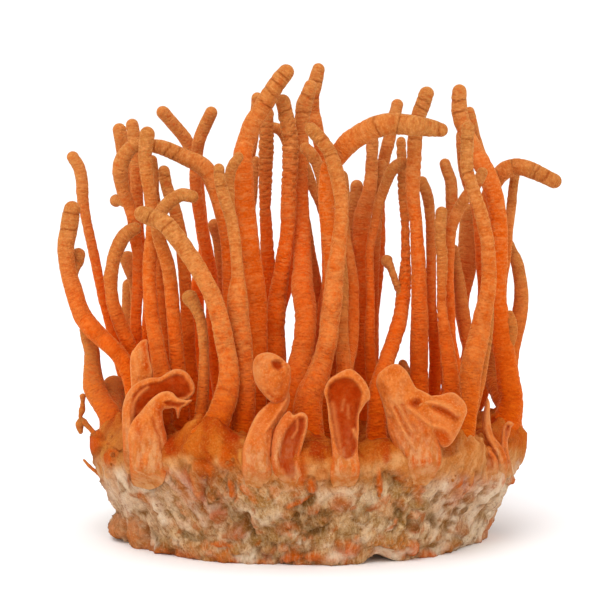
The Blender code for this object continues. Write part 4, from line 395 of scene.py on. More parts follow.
    "stem_54_forked_middle": {"root": (7, -23), "rows": (
        (7.3, 50.2, -15, 1.8), (7.6, 46.8, -15, 2), (7.7, 43.2, -16, 2), (7.6, 39.1, -17, 2.1),
        (7.6, 35.1, -18, 2.3), (7.9, 30.1, -19.5, 2.7),
    ), "forks": [(
        (7.5, 64.6, -8, 2.2), (7.8, 61.7, -8, 2.2), (7.6, 58.1, -8, 2.2), (8, 53.5, -8.5, 2.1),
        (8.8, 49.5, -9, 2.1), (9.4, 45.4, -9, 2.2), (9.5, 41.4, -10, 2.2), (9.5, 36.9, -12, 2.2),
        (9.1, 32.9, -15, 2.3), (8.4, 29, -19, 2.3),
    )]},
}

# Lobes are sheets: outline (u, v), depth at heights (v, depth), thickness and how round the edge is
LOBES = {
    "lobe_curled_ribbon": (
        {
            "outline": (
                (-31, 11), (-31.7, 13.5), (-31.9, 17.1), (-32, 20), (-32, 22.5), (-31.5, 24.7),
                (-30.4, 26.5), (-28.8, 27.7), (-27, 28.3), (-25.2, 28.4), (-23.8, 29.3), (-22.3, 29.9),
                (-20.7, 29.5), (-19.6, 28.3), (-18.9, 26.5), (-19.4, 25), (-20.9, 24.1), (-23, 23.6),
                (-25.2, 23.4), (-27, 22.9), (-28.1, 21.1), (-28.4, 17.1), (-28.8, 11),
            ),
            "depth": ((29.9, -25.2), (24.3, -25.8), (18.9, -26.8), (11, -27.2)), "thick": 2.2, "edge": 0.9,
        },
        {
            "outline": (
                (-29.9, 8.8), (-30.6, 11.7), (-30.8, 15.3), (-31, 18.2), (-30.1, 20.5), (-28.6, 22.3),
                (-27.4, 23.8), (-26.5, 24.7), (-25.2, 25.6), (-23.9, 25.9), (-22.9, 25.6), (-22, 24.7),
                (-20.7, 24.3), (-19.4, 24.3), (-20.3, 23.4), (-21.4, 22.7), (-21.8, 21.1), (-22.1, 21.1),
                (-22.5, 22.7), (-23.8, 22.7), (-24.7, 22.3), (-24.5, 20), (-23.9, 17.5), (-23.8, 14.6),
                (-23.9, 11.7), (-24.8, 9.2), (-27.4, 8.1),
            ),
            "depth": ((25.9, -27.9), (22.5, -28.4), (17.1, -29.2), (8.1, -29.8)), "thick": 2.6, "edge": 1.3,
        },
    ),
    "lobe_knob": (
        {
            "outline": (
                (-4.3, 23.4), (-5.6, 24.3), (-6.7, 25.4), (-7.7, 26.8), (-8.3, 28.3), (-8.5, 30.2),
                (-8.3, 31.5), (-7.6, 32.4), (-6.5, 32.8), (-5.2, 32.8), (-3.8, 32.2), (-2.7, 31.3),
                (-1.8, 30.4), (-1.6, 28.8), (-1.8, 26.8), (-2.2, 25.2), (-3.1, 23.9),
            ),
            "depth": ((32.8, -33.2), (23.4, -33)), "thick": 4.8, "edge": 2.6,
        },
        {
            "outline": (
                (-9.4, 8.5), (-10.3, 11), (-10.4, 13.1), (-10.3, 15.5), (-9.5, 18), (-8.8, 19.8),
                (-7.7, 21.8), (-6.5, 23), (-5.2, 24.1), (-3.8, 25), (-2.3, 26.1), (-1.8, 24.8), (-2.2, 22.9),
                (-3.2, 21.1), (-4.5, 19.3), (-5, 17.1), (-5.2, 14.4), (-5, 11.7), (-5.2, 9.2), (-7.2, 7.9),
            ),
            "depth": ((26.1, -31.8), (20.7, -34.6), (15.3, -37.6), (8.1, -38.4)), "thick": 2.6, "edge": 1.3,
        },
    ),
    "lobe_hooked_tongue": (
        {
            "outline": (
                (-2.5, 8.1), (-4.1, 9.9), (-5, 12.2), (-5.2, 14.9), (-5, 17.1), (-4.3, 19.4), (-3.1, 21.4),
                (-2, 22.3), (-1.1, 21.6), (-0.2, 22), (0.7, 22), (1.4, 21.2), (1.4, 19.8), (1.1, 18.2),
                (0.5, 16.2), (0, 14.2), (0, 12.4), (0.5, 10.6), (0.4, 9), (-0.9, 8.1),
            ),
            "depth": ((22.3, -35.6), (17.1, -37.2), (13.5, -38.6), (8.1, -39)), "thick": 2.6, "edge": 1.2,
        },
    ),
    "lobe_paddle": (
        {
            "outline": (
                (6.8, 7.7), (5.8, 9), (5.4, 11), (5.8, 13.9), (5.6, 17.1), (5.2, 20), (5, 22.5), (4.7, 24.3),
                (4.3, 25.7), (4.7, 27), (5.4, 28.1), (6.7, 29), (7.6, 29.5), (8.8, 29.9), (9.9, 29.5),
                (11.2, 28.3), (12.1, 27), (12.6, 25.6), (12.6, 24.5), (11.9, 23.8), (11.2, 22.7),
                (10.6, 21.4), (10.6, 18.9), (10.4, 15.3), (10.8, 12.4), (10.6, 10.4), (9.7, 8.8), (8.5, 7.9),
            ),
            "depth": ((29.9, -36.6), (17.1, -37.2), (13.5, -38.6), (10.6, -39.1), (7.7, -39)), "thick": 2.4,
            "edge": 1,
        },
    ),
    "lobe_fused_pair": (
        {
            "outline": (
                (19.8, 9.2), (18.7, 11), (18.2, 13.1), (17.5, 14.9), (16.6, 16.7), (15.8, 18.9),
                (15.5, 21.1), (14.9, 23.4), (14.2, 25.6), (13.7, 27.2), (14, 28.8), (15.1, 29.9),
                (16.2, 30.6), (17.5, 30.8), (18.5, 30.2), (19.4, 29.2), (20.2, 27.7), (20.9, 26.5),
                (22.1, 25.9), (23.6, 25), (24.7, 22.9), (24.8, 20.3), (24.8, 17.8), (25.4, 15.3),
                (25.4, 13.1), (24.8, 11.5), (23.9, 10.1), (22.3, 8.8),
            ),
            "depth": ((30.8, -31.6), (24.3, -31.8), (17.1, -32.4), (13.5, -33.2), (8.8, -33.6)),
            "thick": 3.4, "edge": 1.9,
        },
        {
            "outline": (
                (22.3, 20), (21.4, 21.6), (21.1, 23.2), (21.8, 24.3), (23.4, 25), (25.2, 25.2), (26.5, 25.6),
                (27.7, 25.6), (28.8, 24.8), (29.7, 23.8), (30.1, 22.3), (29.7, 21.1), (29, 19.4), (28.3, 18),
                (27.4, 16.6), (26.3, 15.8), (25.2, 16), (24.5, 17.3), (23.6, 18.5),
            ),
            "depth": ((25.6, -31.6), (20.7, -32.6), (15.8, -32.6)), "thick": 3, "edge": 1.4,
        },
    ),
    "lobe_flake": (
        {
            "outline": (
                (-29.9, 17.1), (-30.2, 22.5), (-30.4, 27), (-30.6, 30.6), (-30.4, 32.6), (-29.7, 33.7),
                (-29, 34.6), (-28.3, 35.1), (-27.5, 35.1), (-27.4, 33.7), (-27, 31.5), (-26.5, 29),
                (-27, 24.3), (-27.4, 17.1),
            ),
            "depth": ((35.1, -22), (17.1, -23.2)), "thick": 1.2, "edge": 0.5,
        },
    ),
    "lobe_right_fins": (
        {
            "outline": (
                (35.6, 9.2), (35.1, 11.3), (34.9, 13.7), (34.2, 15.8), (33.3, 17.5), (32.8, 18.9),
                (32.8, 20.7), (33.1, 22.7), (33.5, 24.3), (33.8, 24.7), (34.2, 23.6), (34.2, 21.8),
                (34.4, 19.6), (34.9, 17.8), (36, 16.4), (36.9, 14.9), (37.4, 13), (37.3, 10.8), (36.7, 9.2),
            ),
            "depth": ((24.7, -17.5), (19.8, -18.8), (17.1, -19.8), (9.2, -19.8)), "thick": 2.6, "edge": 1,
        },
        {
            "outline": (
                (36, 9.9), (36, 12.6), (36, 14.9), (36.2, 17.1), (36.4, 18.9), (36.9, 20), (37.6, 20.5),
                (38.5, 20), (38, 19.3), (37.8, 18.2), (37.4, 16.9), (37.6, 14.9), (38, 12.8), (38.2, 10.3),
            ),
            "depth": ((20.5, -14), (17.1, -16.2), (13.5, -17.8), (9.9, -18.2)), "thick": 2.4, "edge": 0.8,
        },
        {
            "outline": (
                (31.9, 10.3), (31.3, 12.1), (31.3, 14.2), (32, 15.3), (33.3, 15.7), (34.6, 15.1),
                (35.5, 13.7), (35.8, 12.1), (35.3, 10.4), (33.7, 9.7),
            ),
            "depth": ((15.7, -21.2), (9.7, -22.6)), "thick": 3, "edge": 1.4,
        },
    ),
}

# What shows on the front of each sheet: hollows (outline, depth, softness), with their deeper inner colour
# and painted shade, folds (line, width, rise, paleness), whose paleness paints a highlight when above 0 and
# shade when below, stains (line, width, strength) and how deep the colour is at the top and at the foot
LOOKS = {
    "lobe_curled_ribbon": (
        {
            "hollows": (
                ((
                    (-30.1, 25.2), (-28.8, 26.6), (-27, 27.4), (-25.2, 27.6), (-23.8, 28.4), (-22.3, 29),
                    (-20.9, 28.6), (-20, 27.2), (-19.6, 25.7), (-20.5, 24.8), (-23.4, 24.3), (-27, 23.9),
                    (-28.6, 22.1), (-29.3, 18.9), (-29.9, 16.2), (-30.4, 18.9), (-30.6, 22.1),
                ), 0.55, 0.45),
            ),
            "folds": (
                ((
                    (-30.1, 18.5), (-30.2, 21.6), (-29.9, 23.8), (-28.8, 25.6), (-27.5, 26.5),
                ), 0.35, 0.25, 0.6),
                (((-30.6, 20.7), (-30.2, 17.1), (-29.7, 13.5), (-29.2, 11)), 0.7, 0.15, 0.7),
            ),
            "stains": ((((-22, 29.3), (-20.2, 27.5), (-19.8, 25.7)), 0.7, 0.5),), "tone": (0.15, 0.1),
        },
        {
            "hollows": (
                ((
                    (-24.7, 23.9), (-23.4, 24.3), (-22, 23.8), (-20.5, 23.9), (-21.6, 23), (-23.4, 23),
                ), 0.4, 0.3),
            ),
            "folds": (
                ((
                    (-27, 23.6), (-26.3, 24.7), (-25.2, 25.4), (-23.9, 25.8), (-22.9, 25.4), (-22, 24.6),
                    (-20.7, 24.2), (-19.4, 24.3),
                ), 0.42, 0.35, 1),
                (((-26.6, 21.1), (-26.1, 19.3), (-25.2, 17.5), (-24.8, 14.9)), 0.25, -0.3, -0.8),
                (((-30.4, 18.9), (-29.9, 15.7), (-29.3, 12.4)), 0.5, 0.12, 0.6),
                (((-28.6, 18.9), (-28.8, 15.3), (-28.3, 11.7)), 0.3, -0.15, -0.4),
                (((-27.9, 17.8), (-27.2, 17.3)), 0.4, 0.25, 0.5),
            ),
            "stains": (
                (((-25.2, 22.9), (-24.5, 19.8), (-23.9, 16.2), (-23.8, 11.7)), 1, 1),
                (((-22.1, 22.5), (-21.8, 21.1)), 0.6, 1),
                (((-29.2, 20.7), (-29, 17.8)), 0.4, 0.7),
            ),
            "tone": (0, 0.15),
        },
    ),
    "lobe_knob": (
        {
            "hollows": (
                (((-5.2, 31.3), (-4.3, 31.7), (-3.4, 31.1), (-3.2, 30.2), (-4, 29.5), (-5, 30.1)), 0.8, 0.5),
            ),
            "folds": (
                (((-3.1, 31.3), (-2.2, 30.2), (-2, 29)), 0.3, -0.25, -0.5),
                (((-6.8, 27.2), (-5.8, 28.3), (-5, 29.3)), 0.35, 0.15, 0.3),
                (((-7.4, 27.2), (-6.5, 25.9), (-5.4, 24.8)), 0.35, 0.2, 0.8),
                (((-5.8, 25.6), (-4.9, 24.8)), 0.3, -0.4, -1),
                (((-6.8, 31.1), (-5.8, 31.9), (-4.1, 31.7)), 0.5, 0.2, 0.6),
                (((-3.4, 29.7), (-2.9, 27.9), (-3.6, 26.1)), 0.7, -0.3, -0.6),
                (((-7.6, 29.7), (-7.4, 27.7), (-6.5, 26.3)), 0.8, 0.15, 0.6),
            ),
            "stains": (
                (((-4.7, 23.9), (-2.9, 25), (-1.8, 26.8), (-1.6, 29)), 0.9, 0.8),
                (((-6.1, 29.3), (-5, 27.2)), 0.9, 0.35),
            ),
            "tone": (0.1, 0.3),
        },
        {
            "hollows": (),
            "folds": (
                (((-10.1, 11), (-10.1, 14.4), (-9.4, 17.5), (-8.1, 20.7), (-6.5, 22.7)), 0.35, 0.2, 0.9),
                (((-6.1, 18.9), (-4.5, 21.1), (-3.1, 23.2), (-2.2, 25)), 0.35, 0.3, 0.8),
                (((-5, 17.1), (-5.2, 13.9), (-5, 11.3)), 0.35, 0.15, 0.4),
                (((-9, 15.3), (-8.6, 12.4), (-7.9, 9.9)), 0.4, -0.15, -0.3),
                (((-6.8, 17.1), (-6.7, 14.4), (-5.8, 11.7)), 0.5, 0.12, 0.2),
            ),
            "stains": (
                (((-10.3, 10.3), (-10.1, 14.4)), 0.5, 1),
                (((-2.9, 23.9), (-1.8, 25.2)), 1.2, 0.9),
                (((-8.6, 14.4), (-6.8, 14.9), (-5.8, 13.1)), 0.8, 0.3),
            ),
            "tone": (0.35, 0.45),
        },
    ),
    "lobe_hooked_tongue": (
        {
            "hollows": (
                ((
                    (-3.4, 11.7), (-4, 13.9), (-3.4, 16.7), (-2.3, 19.1), (-1.3, 20.5), (-0.4, 21.2),
                    (0.7, 21.1), (0.9, 19.3), (0.2, 17.1), (-0.5, 14.9), (-0.9, 13), (-0.5, 10.8),
                    (-1.6, 9.4), (-2.7, 10.3),
                ), 0.8, 0.6),
            ),
            "folds": (
                ((
                    (-1.4, 21.4), (-0.2, 21.9), (0.9, 21.6), (1.4, 20.7), (1.3, 18.9), (0.7, 16.7),
                    (0.2, 14.6),
                ), 0.32, 0.3, 1),
                (((-0.5, 20.7), (-0.5, 18.9), (-1.3, 17.5)), 0.28, 0.3, 0.4),
                (((-4.7, 13.9), (-4.7, 16.7), (-3.6, 19.4), (-2.3, 21.4)), 0.6, 0.3, 0.25),
                (((-3.1, 11.7), (-2.5, 10.3), (-1.8, 9.2)), 0.35, 0.2, 0.5),
                (((0, 12.1), (0.4, 9.9)), 0.3, 0.2, 0.6),
            ),
            "stains": ((((-1.4, 11.7), (-0.4, 9.9)), 1, 0.7),), "tone": (0.6, 0.8),
        },
    ),
    "lobe_paddle": (
        {
            "hollows": (
                ((
                    (4.9, 25.4), (5.2, 27), (6.3, 28), (8.1, 28.4), (9.5, 28.1), (10.6, 27), (11.2, 25.6),
                    (11, 24.1), (10.6, 22.3), (10.3, 20.3), (10.3, 17.8), (10.3, 15.7), (9.5, 14),
                    (8.3, 13.5), (7, 14.2), (6.3, 16.7), (5.9, 19.6), (5.4, 22.1), (5, 23.9),
                ), 0.87, 0.4),
            ),
            "folds": (
                (((9.4, 28.6), (10.8, 27), (11.7, 25.2), (11.2, 23.8)), 0.35, 0.12, 0.35),
                (((5.8, 23.6), (6.3, 20.7), (6.8, 17.5), (7.4, 14.4)), 0.5, 0.2, 0.35),
                (((9.7, 18.9), (10.1, 17.6)), 0.35, 0.3, 0.8),
                (((5.9, 13.1), (7.2, 11.7), (9, 11.7), (10.4, 13.5)), 0.5, -0.15, -0.3),
                (((7.9, 24.3), (7.6, 22.5)), 0.3, 0.1, 0.3),
                (((8.6, 23.4), (8.8, 21.1)), 0.3, 0.08, 0.25),
            ),
            "stains": ((((6.5, 12.1), (7.6, 10.3)), 0.9, 0.5), (((10.1, 11.7), (9.7, 9.9)), 0.6, 0.3)),
            "tone": (0.15, 0.35),
        },
    ),
    "lobe_fused_pair": (
        {
            "hollows": (
                (((20, 23.9), (20.7, 24.7), (21.6, 24.5), (21.8, 23.6), (21.1, 22.7), (20.3, 23)), 0.95, 1),
            ),
            "folds": (
                (((19.6, 22.9), (20.7, 22), (22.3, 20.7), (23.9, 19.6)), 0.5, 0.5, 0.8),
                (((17.6, 23.6), (18.9, 21.2), (20.3, 18.7)), 0.3, 0.22, 0.3),
                (((16.6, 22.9), (17.8, 20.3), (19.3, 17.6), (20.9, 15.3)), 0.35, 0.32, 0.6),
                (((15.7, 22.1), (16.9, 19.3), (18.2, 16.7), (19.3, 14.4)), 0.35, 0.2, 0.2),
                (((17.1, 23), (18.4, 20.5), (19.8, 17.8)), 0.28, -0.25, -0.6),
                (((16, 21.2), (17.3, 18.7), (18.5, 16.4)), 0.28, -0.28, -0.7),
                (((18.4, 23.4), (19.6, 20.9), (21.2, 18.4)), 0.28, -0.2, -0.5),
                (((15.3, 20.7), (16.4, 17.5), (17.5, 14.2), (18.9, 10.8)), 0.45, 0.15, 0.1),
                (((14.9, 27.9), (16.2, 26.5), (17.3, 24.3)), 0.8, 0.12, 0.2),
                (((22.5, 17.8), (23.8, 16), (24.1, 13.9)), 0.5, -0.25, -0.5),
            ),
            "stains": (
                (((19.8, 13.9), (21.6, 12.4), (24.1, 12.8)), 2, 0.75),
                (((15.5, 19.8), (16.7, 16.2), (17.8, 13.1)), 0.5, 0.7),
                (((16.6, 19.8), (18, 17.1), (19.4, 15.7)), 1, 0.6),
                (((20.5, 17.5), (23, 16.7)), 1.4, 0.5),
                (((21.6, 20.3), (22.7, 18.5)), 0.8, 0.6),
                (((20, 23.6), (21.4, 23.8)), 0.6, 1),
            ),
            "tone": (0, 0.35),
        },
        {
            "hollows": (),
            "folds": (
                ((
                    (21.4, 23.2), (22.3, 23.9), (23.6, 24), (25, 23.6), (26.6, 22.9), (28.4, 21.6),
                ), 0.42, 0.6, 1),
                (((24.1, 23), (25.6, 22.5), (27, 21.8), (28.1, 20.9)), 0.5, -0.5, -0.6),
                (((23.9, 19.6), (25.7, 19.3), (27, 18.5), (27.4, 17.3)), 0.5, 0.45, 0.8),
                (((23.4, 24.7), (25.2, 24.5), (27.4, 24.3), (28.8, 23.4)), 0.5, -0.3, -0.2),
                (((24.5, 21.4), (25.9, 20.5), (27.2, 19.3)), 0.6, 0.2, 0.5),
            ),
            "stains": (
                (((24.8, 22.7), (26.5, 22.1), (28.1, 21.2)), 0.7, 0.9),
                (((25.6, 18), (26.8, 17.1)), 1.3, 0.9),
                (((26.6, 24.3), (28.1, 23.4)), 0.6, 0.4),
                (((24.5, 18.5), (25.2, 17.1)), 0.8, 0.8),
            ),
            "tone": (0.1, 0.3),
        },
    ),
    "lobe_flake": (
        {
            "hollows": (),
            "folds": (
                (((-30.1, 32.9), (-29.5, 31.1), (-29.2, 28.8)), 0.5, 0.15, 0.9),
                (((-27.4, 32.9), (-27, 30.8), (-26.6, 29)), 0.3, 0.25, 0.7),
            ),
            "stains": ((((-28.1, 34.4), (-27.5, 32.6), (-27.7, 30.1)), 0.7, 1),), "tone": (0, 0.3),
        },
    ),
    "lobe_right_fins": (
        {
            "hollows": (),
            "folds": (
                (((32.9, 18.2), (34, 16), (34.9, 13.5), (35.5, 11)), 0.3, -0.4, -0.8),
                ((
                    (33.8, 23.9), (33.5, 21.6), (33.5, 19.3), (34.2, 17.1), (35.6, 14.9), (36.4, 12.1),
                ), 0.4, 0.25, 0.7),
                (((34.9, 17.1), (36, 15.3), (36.9, 13.1)), 0.25, -0.2, -0.4),
            ),
            "stains": ((((33.1, 17.8), (34.2, 15.3)), 0.4, 0.6),), "tone": (0.1, 0.4),
        },
        {
            "hollows": (
                ((
                    (36.9, 18.9), (37.3, 19.8), (37.8, 19.6), (37.6, 18.2), (37.3, 16.7), (36.9, 17.1),
                ), 0.4, 0.3),
            ),
            "folds": (
                (((36.4, 15.3), (36.4, 18.5), (36.9, 20), (38, 20.3)), 0.3, 0.2, 0.8),
                (((37.4, 18.5), (37.3, 16), (37.6, 13.5)), 0.3, 0.2, 0.5),
                (((36.7, 15.3), (37.1, 12.8)), 0.25, -0.3, -0.6),
            ),
            "stains": ((((37.1, 18.9), (36.9, 16.2)), 0.5, 0.8),), "tone": (0.4, 0.1),
        },
        {
            "hollows": (
                ((
                    (31.5, 14.2), (32.2, 15), (33.7, 14.9), (34.6, 13.9), (34.9, 12.1), (34.2, 10.6),
                    (33.5, 12.2), (32.6, 13.7),
                ), 1, 0.6),
            ),
            "folds": ((((31.3, 13.9), (32.2, 12.6), (33.1, 10.8)), 0.6, 0.3, 0.7),),
            "stains": ((((33.8, 14.2), (34.4, 11.7)), 0.8, 1),), "tone": (0.2, 0),
        },
    ),
}

# Drapes of skin on the front of the block: line, width, rise, paleness
DRAPES = (
    (((-30.4, 18.5), (-29.9, 14.9), (-29.2, 12.1), (-27.7, 9.5), (-25.9, 6.3), (-24.1, 2.7)), 1.1, 0.7, 0.9),
    (((-35.3, 14.9), (-34.6, 11.7), (-33.7, 8.5), (-32.8, 5.2)), 0.9, 0.5, 0.8),
    (((-32.8, 13.1), (-31.7, 9.9), (-31, 6.7), (-30.2, 4.1)), 1.4, 0.6, 0.9),
    (((-24.7, 11.7), (-22.3, 8.8), (-19.8, 5.9), (-17.3, 2.7), (-15.8, 0)), 0.5, 0.45, 0.5),
    (((-23, 12.1), (-20.2, 9.5), (-17.6, 7), (-15.5, 3.8), (-14, 0.9)), 0.4, 0.4, 0.45),
    (((-27, 10.3), (-24.1, 6.7), (-21.6, 2.7), (-18.7, -0.9)), 0.5, 0.4, 0.4),
    (((-13.3, 6.7), (-10.4, 4.5), (-6.8, 2.3), (-3.2, 3.8)), 1.1, 0.3, 0.4),
    (((3.6, 7.2), (8.1, 8.1), (12.6, 6.7), (15.3, 4.5)), 1.3, 0.3, 0.45),
    ((
        (37.6, 17.1), (38.3, 13.5), (37.4, 10.6), (35.6, 7.7), (33.8, 4.1), (32, 0.9), (29.9, -1.3),
    ), 0.9, 0.6, 0.9),
    (((35.6, 15.3), (36, 12.1), (34.6, 8.5), (32.4, 5.2), (30.2, 2), (28.4, -0.9)), 0.7, 0.6, 0.9),
    (((33.8, 10.6), (31.7, 7.4), (29.2, 4.1), (27, 0.9), (25.9, -2.3)), 0.5, 0.5, 0.7),
    (((30.6, 9.9), (28.4, 7.4), (26.3, 4.5), (24.5, 1.3), (23, -1.8)), 0.5, 0.5, 0.6),
    (((27.4, 10.3), (25.9, 8.1), (24.5, 5.6), (23.4, 2.7), (22.3, -0.2)), 0.4, 0.4, 0.5),
    (((25.4, 11.7), (24.7, 9.2), (23, 6.7), (21.6, 4.1)), 0.4, 0.35, 0.4),
    (((16.6, 11.7), (15.1, 8.1), (15.5, 4.1), (14.4, 0.9)), 0.7, 0.2, 0.3),
    (((7.2, 9), (9.4, 6.3), (11.2, 2.7), (11.9, -0.9)), 0.5, 0.2, 0.3),
    (((-17, 18.6), (-20, 15), (-22.6, 11)), 0.5, 0.3, 0.8),
    (((-15.6, 18.4), (-17.4, 14.2), (-19, 10.6)), 0.4, 0.3, 0.7),
    (((-14.4, 17.8), (-14, 14), (-14.8, 10.8)), 0.6, 0.25, 0.75),
    (((-13.2, 17.2), (-10.6, 14), (-9.4, 11.4)), 0.4, 0.3, 0.8),
    (((-11.8, 16.8), (-8.4, 14.6), (-6.2, 12.2)), 0.5, 0.25, 0.65),
    (((-8.6, 17), (-5.4, 15.4), (-3, 13)), 0.4, 0.3, 0.6),
)
